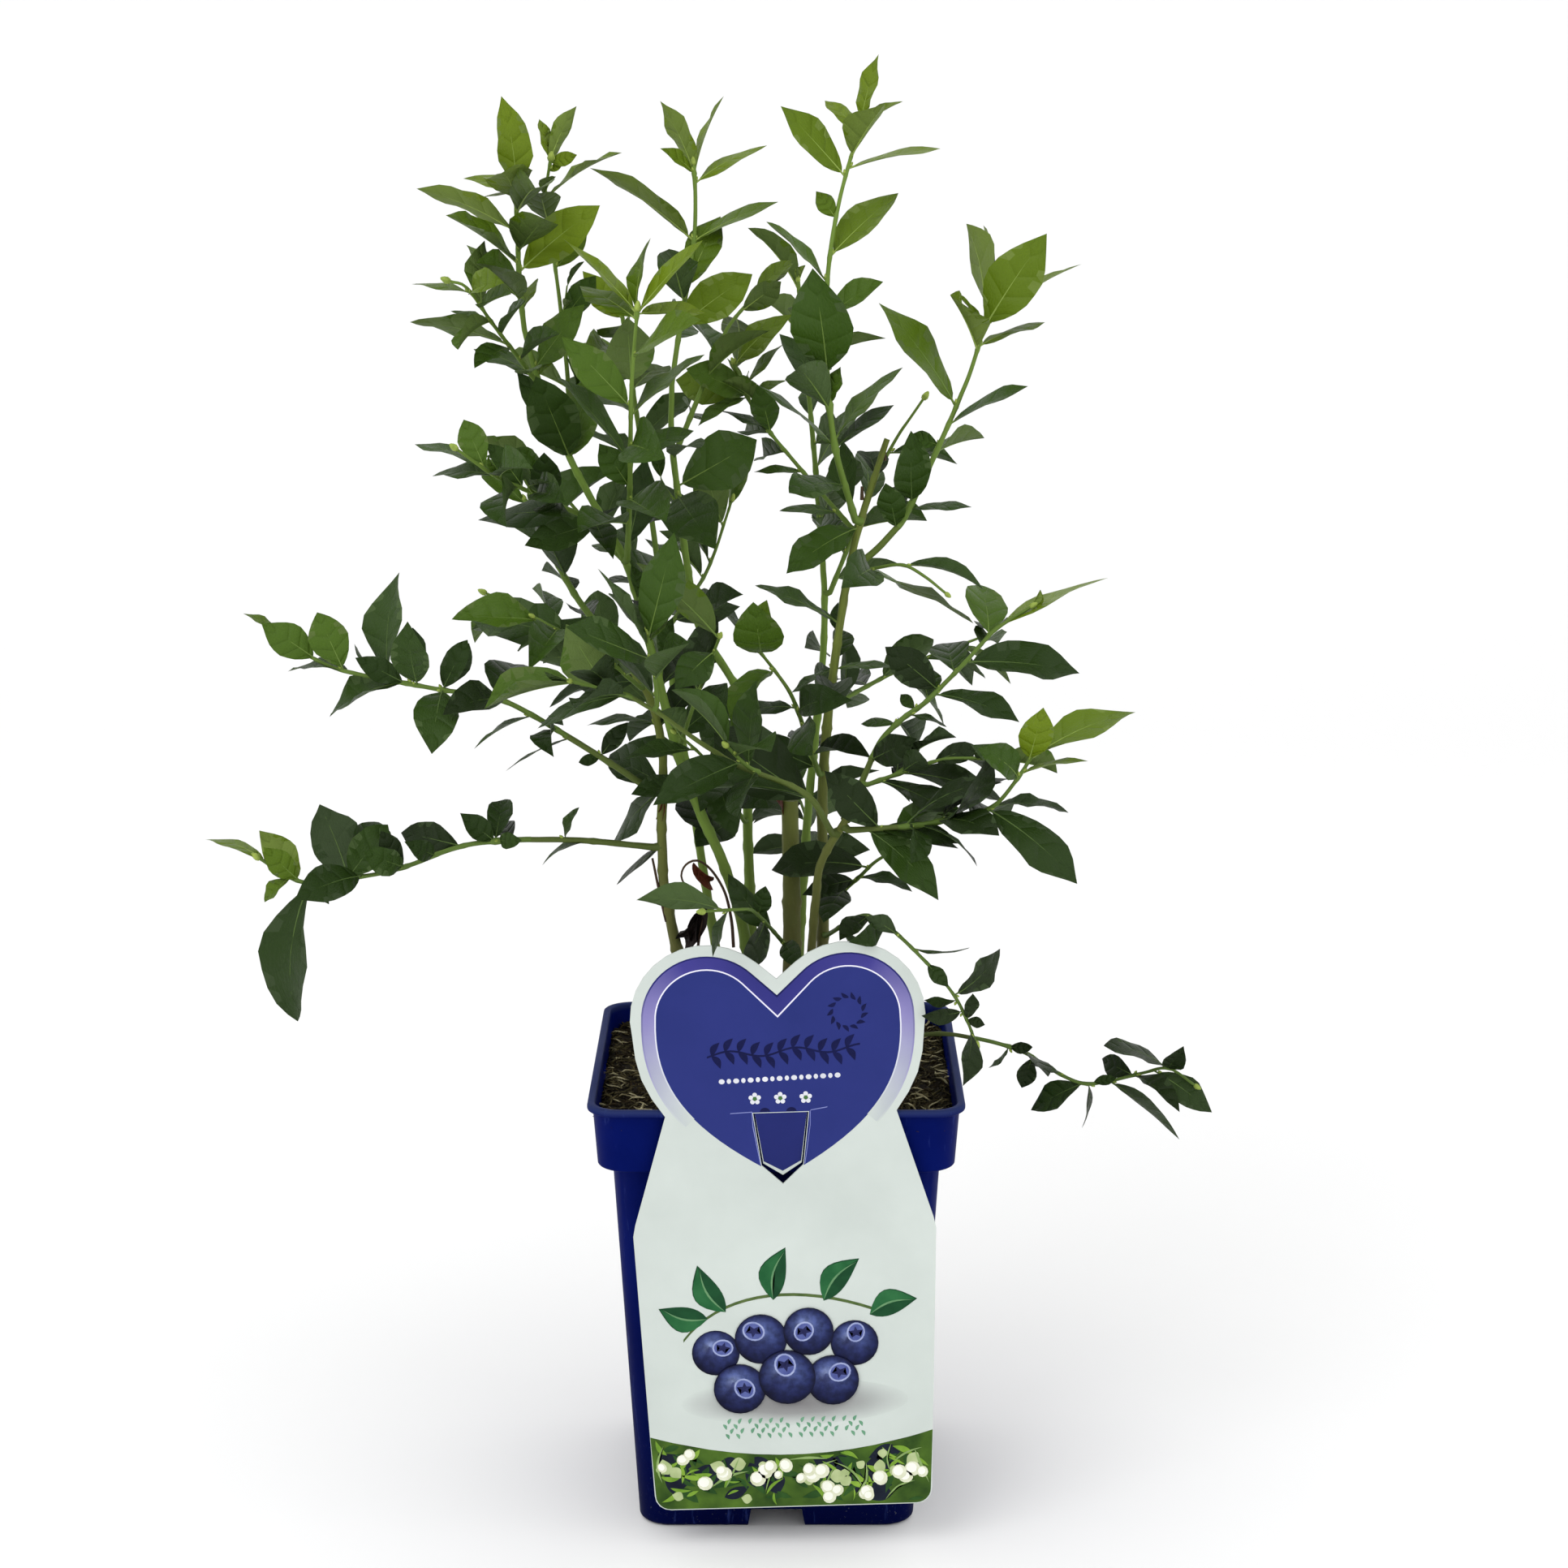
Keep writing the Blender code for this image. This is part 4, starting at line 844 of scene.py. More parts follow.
# The leaves that show most from the front: share along the limb, angle in the picture (0 is to the
# right, 90 is up), length in millimetres, and seen width as a share of the length.
seenLeaves = {
    "cane_left_inner": ((0.71, 73, 37, 0.48), (0.71, 111, 37, 0.57), (0.80, 61, 28, 0.35),
        (0.80, 153, 33, 0.23), (0.87, 69, 17, 0.25), (0.88, 133, 35, 0.30), (0.91, 39, 45, 0.41),
        (0.95, 156, 45, 0.14), (0.99, -176, 15, 0.14), (1.00, 95, 37, 0.36), (1.00, 162, 23, 0.25),
        (0.81, 47, 32, 0.45)),
    "shoot_left_back": ((0.46, 48, 25, 0.43), (0.63, 51, 21, 0.42), (0.86, 28, 39, 0.14),
        (0.96, 24, 7, 0.50), (1.00, 69, 27, 0.26), (0.99, 14, 12, 0.50), (1.00, 105, 21, 0.23)),
    "shoot_left_tip": ((0.35, 168, 41, 0.11), (0.57, 162, 18, 0.19), (0.69, 92, 31, 0.27),
        (0.83, 170, 26, 0.17)),
    "shoot_left_front": ((0.34, 123, 22, 0.54), (0.44, 130, 47, 0.19), (0.46, 26, 30, 0.35),
        (0.63, 42, 43, 0.19), (0.75, 97, 33, 0.61), (1.00, 4, 27, 0.31), (1.00, 45, 39, 0.19),
        (1.00, 133, 44, 0.17), (0.66, 133, 39, 0.39), (0.97, 144, 29, 0.43), (1.00, 81, 34, 0.16)),
    "cane_centre": ((0.64, -147, 23, 0.18), (0.65, -62, 31, 0.76), (0.66, 28, 42, 0.56),
        (0.83, 37, 39, 0.46), (0.87, 65, 35, 0.41), (0.92, 24, 38, 0.21), (0.92, 147, 51, 0.11),
        (0.98, 30, 34, 0.19), (1.00, 71, 35, 0.09), (1.00, 115, 32, 0.29), (1.00, 146, 17, 0.35)),
    "shoot_centre_back": ((0.87, 36, 22, 0.49), (1.00, 40, 24, 0.33), (1.00, 40, 24, 0.33)),
    "shoot_right_top": ((0.21, 36, 33, 0.22), (0.21, 142, 42, 0.13), (0.23, 49, 42, 0.17),
        (0.32, 72, 17, 0.33), (0.32, 122, 38, 0.37), (0.32, 123, 34, 0.27), (0.39, 95, 41, 0.60),
        (0.52, 33, 30, 0.32), (0.61, 136, 37, 0.12), (0.67, 45, 42, 0.35), (0.76, 124, 14, 0.55),
        (0.86, 138, 38, 0.36), (0.88, 15, 42, 0.12), (0.97, 135, 21, 0.39), (0.99, 23, 19, 0.19),
        (0.99, 75, 27, 0.28)),
    "shoot_right_inner": ((0.11, -180, 27, 0.19), (0.38, 179, 21, 0.21), (0.63, 102, 20, 0.58),
        (0.63, 156, 24, 0.15), (0.83, -149, 25, 0.29), (0.83, 24, 19, 0.19), (0.83, 159, 30, 0.46),
        (0.85, 164, 32, 0.55), (0.87, 49, 26, 0.19), (0.87, 119, 16, 0.18), (1.00, 41, 31, 0.40)),
    "bough_right": ((0.20, 101, 20, 0.58), (0.25, 113, 16, 0.77), (0.28, 3, 28, 0.13), (0.31, 96, 28, 0.60),
        (0.43, 113, 15, 0.84), (0.54, 162, 13, 0.56), (0.62, 25, 37, 0.14), (0.69, 129, 54, 0.27),
        (0.92, 22, 33, 0.18), (1.00, 35, 50, 0.06), (1.00, 59, 46, 0.48), (1.00, 97, 54, 0.14),
        (1.00, 129, 19, 0.15), (1.00, 74, 49, 0.11)),
    "shoot_left_side": ((0.02, -161, 34, 0.40), (0.21, -177, 44, 0.30), (0.39, 125, 31, 0.16),
        (0.41, 98, 20, 0.60), (0.58, 131, 25, 0.35), (0.74, 177, 28, 0.24), (0.82, 113, 24, 0.48),
        (0.82, 159, 34, 0.17)),
    "bough_upper_left": ((0.18, -164, 10, 0.48), (0.18, 55, 18, 0.44), (0.27, -152, 32, 0.07),
        (0.38, -150, 29, 0.07), (0.47, 81, 17, 1.08), (0.60, -97, 27, 0.65), (0.60, 59, 25, 0.40),
        (0.60, 62, 23, 0.51), (0.66, 97, 25, 0.63), (0.67, 94, 24, 0.53), (0.69, -158, 36, 0.25),
        (0.69, 152, 23, 0.43), (0.73, 86, 45, 0.29), (0.84, 112, 28, 0.56), (0.91, 143, 26, 0.54),
        (1.00, 148, 21, 0.13), (0.73, 135, 22, 0.19), (0.82, 173, 29, 0.14)),
    "shoot_left_mid": ((0.17, 138, 36, 0.66), (0.45, -179, 32, 0.38), (0.67, 170, 48, 0.37)),
    "bough_lower_left": ((0.16, -156, 24, 0.15), (0.23, 67, 16, 0.27), (0.36, 117, 9, 1.01),
        (0.39, 7, 11, 0.63), (0.40, 83, 19, 0.57), (0.48, 166, 29, 0.47), (0.55, 157, 12, 0.73),
        (0.63, 125, 19, 0.46), (0.63, 160, 18, 0.65), (0.75, 70, 25, 0.63), (0.77, 116, 37, 0.57),
        (0.84, -68, 11, 0.44), (0.86, -95, 65, 0.30), (0.89, 129, 28, 0.48), (0.89, 135, 20, 0.53),
        (0.91, -136, 17, 0.32), (0.98, 160, 29, 0.17), (0.77, 52, 29, 0.55), (0.40, 142, 18, 0.55),
        (0.88, 175, 29, 0.12)),
    "cane_left": ((0.40, -145, 28, 0.15), (0.49, -133, 35, 0.24), (0.59, 179, 31, 0.14),
        (0.65, 114, 19, 0.83)),
    "bough_mid_right": ((0.24, 22, 20, 0.62), (0.40, -179, 16, 0.26), (0.45, -17, 18, 0.18),
        (0.48, 134, 9, 0.58), (0.56, -17, 38, 0.24), (0.58, 140, 30, 0.50), (0.71, -4, 50, 0.34),
        (0.83, 92, 25, 0.72), (0.87, 25, 53, 0.14)),
    "cane_right": ((0.64, -152, 22, 0.20), (0.64, 1, 27, 0.19), (0.71, 157, 43, 0.13),
        (0.80, -23, 60, 0.05), (0.86, -146, 39, 0.37)),
    "bough_front_right": ((0.10, -44, 41, 0.34), (0.13, -11, 36, 0.17), (0.15, -11, 34, 0.24),
        (0.29, 23, 46, 0.14), (0.35, -36, 31, 0.06), (0.45, 31, 35, 0.10), (0.45, 62, 35, 0.21),
        (0.66, -39, 48, 0.36), (0.69, -6, 33, 0.10), (0.85, 142, 23, 0.44), (0.85, 143, 23, 0.51),
        (0.87, 11, 27, 0.09), (0.94, 24, 49, 0.18), (0.94, 80, 22, 0.62), (0.17, 137, 33, 0.46)),
    "shoot_over_card": ((0.58, 148, 16, 0.43), (0.64, 1, 26, 0.11), (0.70, -49, 13, 0.47),
        (0.83, 44, 27, 0.36), (0.85, 180, 14, 0.29), (0.89, -172, 17, 0.44), (0.90, 42, 4, 0.80),
        (0.92, -12, 8, 0.55), (0.96, -100, 22, 0.38), (0.92, 80, 12, 0.50)),
    "bough_low_right": ((0.52, -132, 13, 0.17), (0.52, -2, 11, 0.46), (0.58, -104, 15, 0.55),
        (0.66, 162, 15, 0.20), (0.72, -152, 27, 0.35), (0.73, -95, 20, 0.15), (0.74, 16, 11, 0.41),
        (0.78, -39, 38, 0.17), (0.84, 158, 14, 0.67), (0.89, -34, 32, 0.37), (0.92, 69, 12, 0.79),
        (0.92, 158, 35, 0.13)),
    "shoot_above_card": ((0.47, 72, 14, 0.57), (0.89, -110, 20, 0.21), (0.91, 171, 35, 0.29)),
    "shoot_lance": ((0.80, 123, 38, 0.09), (0.87, 64, 20, 0.33), (0.93, 74, 42, 0.42)),
    "bough_front": ((0.20, 145, 53, 0.50), (0.22, 176, 55, 0.16), (0.85, -160, 39, 0.22),
        (0.90, 124, 33, 0.61)),
    "shoot_curled": ((0.54, -169, 28, 0.25), (1.00, 82, 23, 0.41), (1.00, 96, 22, 0.91)),
    "shoot_low_front": ((0.41, -167, 23, 0.39), (0.44, -15, 24, 0.22), (0.62, -176, 44, 0.36)),
    "shoot_centre_mid": ((0.89, -134, 22, 0.62), (1.00, 138, 44, 0.31)),
    "shoot_centre_low": ((0.43, -177, 33, 0.33), (0.51, -75, 27, 0.58)),
    "shoot_right_low": ((0.10, -25, 40, 0.21), (0.23, 80, 14, 1.22), (0.26, -14, 46, 0.21),
        (0.48, 18, 22, 0.39)),
    "cane_back_left": ((0.92, 158, 30, 0.37), (0.98, 130, 27, 0.47)),
}

view = {"place": (0.0034, -1.457, 0.669), "pitch": 0.2285, "pixels": 1932, "focal": 4118}

# Where the sky shows through the crown: across, height and radius in millimetres, level with the
# pot's middle.
skyGaps = ((-39, 592, 11), (12, 569, 10), (-121, 422, 13), (-142, 422, 9), (-122, 446, 9),
           (-109, 493, 9), (-9, 450, 16), (-26, 444, 8), (60, 507, 15), (10, 485, 11), (0, 514, 9),
           (10, 460, 8), (-86, 431, 9), (69, 420, 8), (46, 401, 11), (10, 383, 11), (20, 360, 7),
           (45, 374, 9), (85, 306, 11), (-109, 345, 8), (-131, 358, 8), (127, 332, 9), (41, 277, 11),
           (119, 422, 8), (84, 373, 7), (45, 353, 7), (-96, 406, 6), (1, 428, 11), (80, 446, 14),
           (-20, 587, 14), (62, 464, 7), (-69, 570, 8), (-21, 295, 6), (109, 391, 6), (53, 257, 7),
           (-195, 272, 11), (-15, 427, 8), (82, 417, 10), (84, 397, 8), (107, 401, 8),
           (86, 515, 8), (79, 496, 8), (1, 368, 9), (28, 362, 7), (46, 362, 8))


def inSkyGap(leaf):
    eye = Vector(view["place"])
    for share in (0.35, 0.65, 0.95):
        sight = leaf["root"] + leaf["ahead"] * leaf["length"] * share - eye
        seen = eye - sight * eye.y / sight.y
        if any(math.hypot(seen.x - x * mm, seen.z - z * mm) < radius * mm for x, z, radius in skyGaps):
            return True
    return False


aimRule = {"lean": (0.1, 0.45), "leans": (1, -1, 0.2, -0.2, 1.7, -1.7, 2.6, -2.6),
           "turns": (0, 5, -5, 11, -11),
           "clearance": 0.1, "twist": 0.45,
           "endOn": 0.62, "widest": 0.62, "across": 0.5, "apart": 13 * mm, "towards": 0.76, "underside": 0.1,
           "slim": 0.26, "slimWidth": 0.42, "slimFold": 0.3, "wideFold": 0.7, "grow": 1.1}
toRight = Vector((1, 0, 0))
toTop = Vector((0, math.sin(view["pitch"]), math.cos(view["pitch"])))
toBack = Vector((0, math.cos(view["pitch"]), -math.sin(view["pitch"])))


def aimedLeaf(limb, spot, along, aim, draw, lean, turn):
    # A leaf whose chord and width look as measured from the front, leaning to the back by so much.
    share, angle, length, seen = aim
    seen *= aimRule["grow"]
    angle = (angle + turn) * degree
    if seen > aimRule["endOn"]:
        lean = math.copysign(math.sqrt((seen / aimRule["across"]) ** 2 - 1), lean)
    stretch = math.sqrt(1 + lean ** 2)
    ahead = (toRight * math.cos(angle) + toTop * math.sin(angle) + toBack * lean).normalized()
    slim = seen < aimRule["slim"]
    fold = draw["fold"] * aimRule["slimFold" if slim else "wideFold"]
    wide = aimRule["slimWidth"] if slim else min(aimRule["widest"], max(draw["width"], seen / stretch))
    openness = max(0, min(1, seen / (wide * stretch) - (fold / 2 if slim else 0)))
    front = (ahead * toBack.dot(ahead) - toBack).normalized()
    edge = ahead.cross(front)
    if edge.dot(up * 0.6 + along) < 0:
        edge = -edge
    if draw["under"] < aimRule["underside"]:
        front = -front
    face = (front * openness + edge * math.sqrt(1 - openness ** 2)).normalized()
    half = limb["droop"] * draw["droop"] * degree / 2
    return {"root": spot, "ahead": ahead * math.cos(half) + face * math.sin(half),
            "face": face * math.cos(half) - ahead * math.sin(half),
            "length": length * stretch * mm * half / math.sin(half),
            "width": length * stretch * wide * mm, "droop": 2 * half, "fold": fold,
            "pose": "aimed", "share": share, "along": along, "shoot": limb["name"]}


def growAimed(plan, dice, others):
    limb = plan["limb"]
    grown = []
    for number, aim in enumerate(seenLeaves.get(limb["name"], ())):
        draw = drawLeaf(dice)
        draw["under"] = dice.random()
        lean = dice.uniform(*aimRule["lean"]) * dice.choice((-1, 1))
        spot, along = pointAt(plan["path"], min(aim[0], 0.99))
        tries = [(turn, lean * part) for turn in aimRule["turns"] for part in aimRule["leans"]]
        for turn, tried in tries:
            leaf = aimedLeaf(limb, spot, along, aim, draw, tried, turn)
            tip = leaf["root"] + leaf["ahead"] * leaf["length"]
            if inReach(tip) and isClear(proxyLeaf(leaf, leafRule["clearance"] * aimRule["clearance"]),
                                        others):
                keepLeaf(leaf, grown, others, number=kindStart["aimed"] + number)
                break
    return grown


def stemTree(path, radii):
    # A four-sided tube, as the solids' twigs are.
    places = []
    faces = []
    for i, (spot, radius) in enumerate(zip(path, radii)):
        ahead = (path[min(i + 1, len(path) - 1)] - path[max(i - 1, 0)]).normalized()
        side = aroundTwig(ahead, 0)
        other = ahead.cross(side)
        places += [spot + side * radius, spot + other * radius, spot - side * radius, spot - other * radius]
        if i:
            start = 4 * i
            faces += [(start + k, start + (k + 1) % 4, start - 4 + (k + 1) % 4, start - 4 + k)
                      for k in range(4)]
    return touchTree(places, faces)


def stretchRadii(limb, path, low, high):
    along = lengthsAlong(path)
    return [radiusAt(limb, low + (high - low) * a / along[-1]) for a in along]


def growAll(plans):
    # First the leaves that are seen most, then the rule's own, then a few straight on the bare wood.
    kept = {name: meshTree(obj.data) for name, obj in frame["nodes"].items()
            if not name.startswith("leaves_")}
    leafy = [plan for plan in plans if plan["stem"]]
    for plan in leafy:
        radii = stretchRadii(plan["limb"], plan["stem"], plan["low"], 1)
        plan["tree"] = stemTree(plan["stem"], radii)
    others = list(kept.values()) + [plan["tree"] for plan in leafy]
    leaves = []
    for grow in (growAimed, growLeaves, growSpurs):
        for number, plan in enumerate(plans):
            dice = random.Random(leafRule["seed"] * 100 + number)
            own = (plan.get("tree"), kept.get(plan["limb"]["name"]))
            rest = [tree for tree in others if tree not in own]
            before = len(rest)
            grown = grow(plan, dice, rest) if plan["stem"] or grow is not growLeaves else []
            others.extend(rest[before:])
            if grow is growAimed:
                plan["seenAt"] = [leaf["root"] for leaf in grown]
            plan["leafAt"] += [leaf["root"] for leaf in grown]
            leaves += grown
    return leaves, others


spurRule = {"low": 0.3, "step": 24 * mm, "size": (26, 42), "chance": 0.5, "backChance": 1.0}


def growSpurs(plan, dice, others):
    # Leaves straight on the bare wood of the inner crown.
    limb = plan["limb"]
    grown = []
    total = lengthsAlong(plan["bare"])[-1] if plan["bare"] else 0
    for i in range(1, int(total / spurRule["step"])):
        draw = drawLeaf(dice)
        size = dice.uniform(*spurRule["size"])
        wanted = dice.random() < spurRule["backChance" if limb["name"].startswith("cane_back") else "chance"]
        spot, along = pointAt(plan["bare"], i * spurRule["step"] / total)
        if spot.z < spurRule["low"] or not wanted or not limb["name"].startswith("cane_"):
            continue
        for turn in leafRule["turnsTried"]:
            around = aroundTwig(along, i * leafRule["turn"] + turn * degree)
            leaf = leafHere(spot, along, around, size, draw, 30, "side")
            if not inSkyGap(leaf) and isClear(proxyLeaf(leaf, leafRule["clearance"]), others):
                keepLeaf(leaf, grown, others, share=0.4, along=along, shoot=limb["name"],
                         number=kindStart["spur"] + i)
                break
    return grown


# Finer growth: small twigs in the leaves' axils, within the same reach

twigletRule = {"seed": 5, "chance": 0.14, "length": (7, 17), "radius": 0.55 * mm, "leaves": (2, 4),
               "size": (11, 21), "roomLeft": 3, "aim": (0.75, 0.55, 0.15), "lowest": 0.23, "reach": 8 * mm,
               "tipShare": 0.86, "nearAxis": 95 * mm,
               "axis": Vector((-0.03, 0.0, 0.0))}


def inReach(spot):
    slack = twigletRule["reach"]
    return all(cadBox[0][i] - slack < spot[i] < cadBox[1][i] + slack for i in range(3))


def growTwiglets(leaves, others):
    dice = random.Random(twigletRule["seed"])
    twiglets = []
    small = []
    for leaf in leaves:
        wanted = dice.random() < twigletRule["chance"]
        lengthOf = dice.uniform(*twigletRule["length"]) * mm
        count = dice.randint(*twigletRule["leaves"])
        far = Vector((leaf["root"].x, leaf["root"].y, 0)) - twigletRule["axis"]
        if not wanted or leaf["share"] > twigletRule["tipShare"] or far.length > twigletRule["nearAxis"]:
            continue
        if leaf["root"].z < twigletRule["lowest"]:
            continue
        onward, outward, upward = twigletRule["aim"]
        aim = (leaf["along"] * onward + leaf["ahead"] * outward + up * upward).normalized()
        bent = (aim + up * 0.35).normalized()
        tip = leaf["root"] + aim * lengthOf * 0.5 + bent * lengthOf * 0.5
        path = smoothPath([leaf["root"], leaf["root"] + aim * lengthOf * 0.5, tip], limbRule["fineStep"])
        grown = []
        for i in range(count):
            draw = drawLeaf(dice)
            size = dice.uniform(*twigletRule["size"])
            share = 1.0 if i == count - 1 else (i + 1) / count
            spot, along = pointAt(path, min(share, 0.98))
            pose = "last" if i == count - 1 else "side"
            around = aroundTwig(along, dice.uniform(0, 40) * degree + i * leafRule["turn"])
            young = leafHere(spot, along, around, size, draw, 25, pose)
            young.update(share=leaf["share"], along=along, shoot=leaf["shoot"],
                         number=kindStart["twiglet"] + i)
            tipSpot = spot + young["ahead"] * young["length"]
            room = proxyLeaf(young, leafRule["clearance"] / twigletRule["roomLeft"])
            if inReach(tipSpot) and not inSkyGap(young) and isClear(room, others):
                keepLeaf(young, grown, others)
        if grown:
            twiglets.append(path)
            small += grown
    return twiglets, small


# Blades: the final leaves, with thickness, fold, droop, twist and wavy edges

bladeRule = {"rows": (0.06, 0.1, 0.18, 0.28, 0.39, 0.51, 0.63, 0.74, 0.84, 0.93, 1.0),
             "sides": (-1, -0.5, 0, 0.5, 1), "thick": 0.28 * mm, "stalk": 0.06, "peak": 1.04,
             "footFullness": 0.74, "tipFullness": 1.05, "ripple": 0.2, "ragged": 0.1,
             "twist": 26 * degree, "sickle": 0.06, "curl": 0.2, "moreFold": 0.5, "lastFold": 0.45,
             "ribRadius": 0.5 * mm, "ribTip": 0.08 * mm, "ribSides": 5, "ribTaper": 1.4, "ribFull": 40 * mm,
             "ribGrow": 0.6, "ribRows": (0.0, 0.05, 0.11, 0.2, 0.33, 0.47, 0.61, 0.75, 0.88)}


def bladeExtras(leaf):
    dice = random.Random(f"{leaf['shoot']} {leaf['number']}")
    calm = aimRule["twist"] if leaf["pose"] == "aimed" else 1
    return {"ripple": dice.uniform(0.3, 1) * bladeRule["ripple"], "waves": dice.uniform(1.0, 2.2),
            "phase": dice.uniform(0, 1), "twist": dice.uniform(-1, 1) * bladeRule["twist"] * calm,
            "sickle": dice.uniform(-1, 1) * bladeRule["sickle"],
            "curl": dice.uniform(-0.6, 1) * bladeRule["curl"],
            "lopsided": dice.uniform(-0.25, 0.25), "tone": dice.uniform(-1, 1),
            "tipBend": dice.uniform(-0.5, 0.9), "edge": dice.uniform(0, 50),
            "fold": leaf["fold"] + dice.random() ** 1.6 * bladeRule["moreFold"] * (leaf["pose"] != "aimed")
            + (bladeRule["lastFold"] if leaf["pose"] == "last" else 0)}


def bladeSpot(leaf, extra, share, side, height):
    # A place on the blade: share along it, side from -1 to 1 across it, height off its surface.
    bent = share + extra["tipBend"] * max(0, share - 0.7) ** 2
    turned = leaf["droop"] * bent
    bend = leaf["length"] / leaf["droop"]
    across = leaf["ahead"].cross(leaf["face"])
    rib = bend * (math.sin(turned) * leaf["ahead"] - (1 - math.cos(turned)) * leaf["face"])
    tangent = math.cos(turned) * leaf["ahead"] - math.sin(turned) * leaf["face"]
    rise = math.sin(turned) * leaf["ahead"] + math.cos(turned) * leaf["face"]
    twist = Matrix.Rotation(extra["twist"] * share, 3, tangent)
    across = twist @ across
    rise = twist @ rise
    grown = max(0, share - bladeRule["stalk"]) / (1 - bladeRule["stalk"])
    fullness = bladeRule["footFullness"] + (bladeRule["tipFullness"] - bladeRule["footFullness"]) * grown
    half = leaf["width"] / 2 * max(0, math.sin(math.pi * min(1, grown) ** bladeRule["peak"])) ** fullness
    half *= 1 + bladeRule["ragged"] * noise.noise((extra["edge"], share * 5.5, side * 2))
    fold = extra["fold"] * (1 + extra["lopsided"] * side)
    wave = math.sin(2 * math.pi * (extra["waves"] * share + extra["phase"] + 0.3 * side))
    lift = half * (abs(side) * fold + extra["curl"] * side ** 2 + extra["ripple"] * wave * side ** 2)
    reach = half * side / math.sqrt(1 + fold ** 2)
    sway = extra["sickle"] * leaf["length"] * share ** 2
    return leaf["root"] + rib + across * (reach + sway) + rise * (lift + height)


def newBuild():
    return {"places": [], "faces": [], "uvs": [], "slots": [], "sharp": set()}


def addFace(build, corners, uvs, slotNumber):
    build["faces"].append(corners)
    build["uvs"] += uvs
    build["slots"].append(slotNumber)


def addBlade(build, leaf, extra, topSlot, underSlot):
    rows = bladeRule["rows"]
    sides = bladeRule["sides"]
    inner = rows[1:-1]
    start = len(build["places"])
    build["places"].append(bladeSpot(leaf, extra, rows[0], 0, 0))
    build["places"].append(bladeSpot(leaf, extra, rows[-1], 0, 0))
    grid = {}
    for r, share in enumerate(inner):
        for c, side in enumerate(sides):
            rim = abs(side) == 1
            for layer, lift in (("top", bladeRule["thick"] / 2), ("under", -bladeRule["thick"] / 2)):
                if rim and layer == "under":
                    grid[layer, r, c] = grid["top", r, c]
                    continue
                grid[layer, r, c] = len(build["places"])
                build["places"].append(bladeSpot(leaf, extra, share, side, 0 if rim else lift))
                if rim:
                    build["sharp"].add(grid[layer, r, c])
    build["sharp"] |= {start, start + 1}
    last = len(inner) - 1

    def uv(r, c):
        share = inner[r] if 0 <= r <= last else rows[0] if r < 0 else rows[-1]
        return (0.5, share) if c is None else (0.5 + sides[c] / 2, share)

    for layer, slotNumber in (("top", topSlot), ("under", underSlot)):
        for c in range(len(sides) - 1):
            sets = [((start, grid[layer, 0, c], grid[layer, 0, c + 1]),
                     (uv(-1, None), uv(0, c), uv(0, c + 1)))]
            for r in range(last):
                around = ((r, c + 1), (r, c), (r + 1, c), (r + 1, c + 1))
                sets.append((tuple(grid[layer, *at] for at in around), tuple(uv(*at) for at in around)))
            sets.append(((start + 1, grid[layer, last, c + 1], grid[layer, last, c]),
                         (uv(last + 1, None), uv(last, c + 1), uv(last, c))))
            for corners, uvs in sets:
                if layer == "under":
                    corners, uvs = corners[::-1], uvs[::-1]
                addFace(build, corners, list(uvs), slotNumber)


def addRib(build, leaf, extra, slotNumber):
    # The stalk and midrib: a thin tube from inside the twig to near the blade's tip.
    count = bladeRule["ribSides"]
    shares = bladeRule["ribRows"]
    big = (leaf["length"] / bladeRule["ribFull"]) ** bladeRule["ribGrow"]
    start = len(build["places"])
    for share in shares:
        middle = bladeSpot(leaf, extra, share, 0, 0)
        ahead = (bladeSpot(leaf, extra, share + 0.02, 0, 0) - middle).normalized()
        side = aroundTwig(ahead, 0)
        other = ahead.cross(side)
        taper = (bladeRule["ribRadius"] - bladeRule["ribTip"]) * (1 - share) ** bladeRule["ribTaper"]
        radius = big * (bladeRule["ribTip"] + taper)
        for k in range(count):
            angle = 2 * math.pi * k / count
            build["places"].append(middle + (side * math.cos(angle) + other * math.sin(angle)) * radius)
    for r in range(len(shares) - 1):
        for k in range(count):
            a, b = start + r * count + k, start + r * count + (k + 1) % count
            uvs = [(k / count, shares[r]), ((k + 1) / count, shares[r]),
                   ((k + 1) / count, shares[r + 1]), (k / count, shares[r + 1])]
            addFace(build, (a, b, b + count, a + count), uvs, slotNumber)
    end = start + (len(shares) - 1) * count
    addFace(build, tuple(start + k for k in reversed(range(count))), [(0.5, 0)] * count, slotNumber)
    addFace(build, tuple(end + k for k in range(count)), [(0.5, 1)] * count, slotNumber)


def finishBuild(name, build, materials, uvName="blade"):
    mesh = bpy.data.meshes.new(name)
    mesh.from_pydata([tuple(p) for p in build["places"]], [], build["faces"])
    layer = mesh.uv_layers.new(name=uvName)
    layer.data.foreach_set("uv", [number for uv in build["uvs"] for number in uv])
    mesh.polygons.foreach_set("material_index", build["slots"])
    mesh.shade_smooth()
    if build["sharp"]:
        ends = np.empty(len(mesh.edges) * 2, np.int32)
        mesh.edges.foreach_get("vertices", ends)
        rim = np.zeros(len(mesh.vertices), bool)
        rim[list(build["sharp"])] = True
        sharp = mesh.attributes.new("sharp_edge", "BOOLEAN", "EDGE")
        sharp.data.foreach_set("value", rim[ends.reshape(-1, 2)].all(axis=1))
    mesh.update()
    return newObject(name, mesh, *materials)


def placePrint(name, build, surface):
    place(finishBuild(name, build, [surface], "strip"))


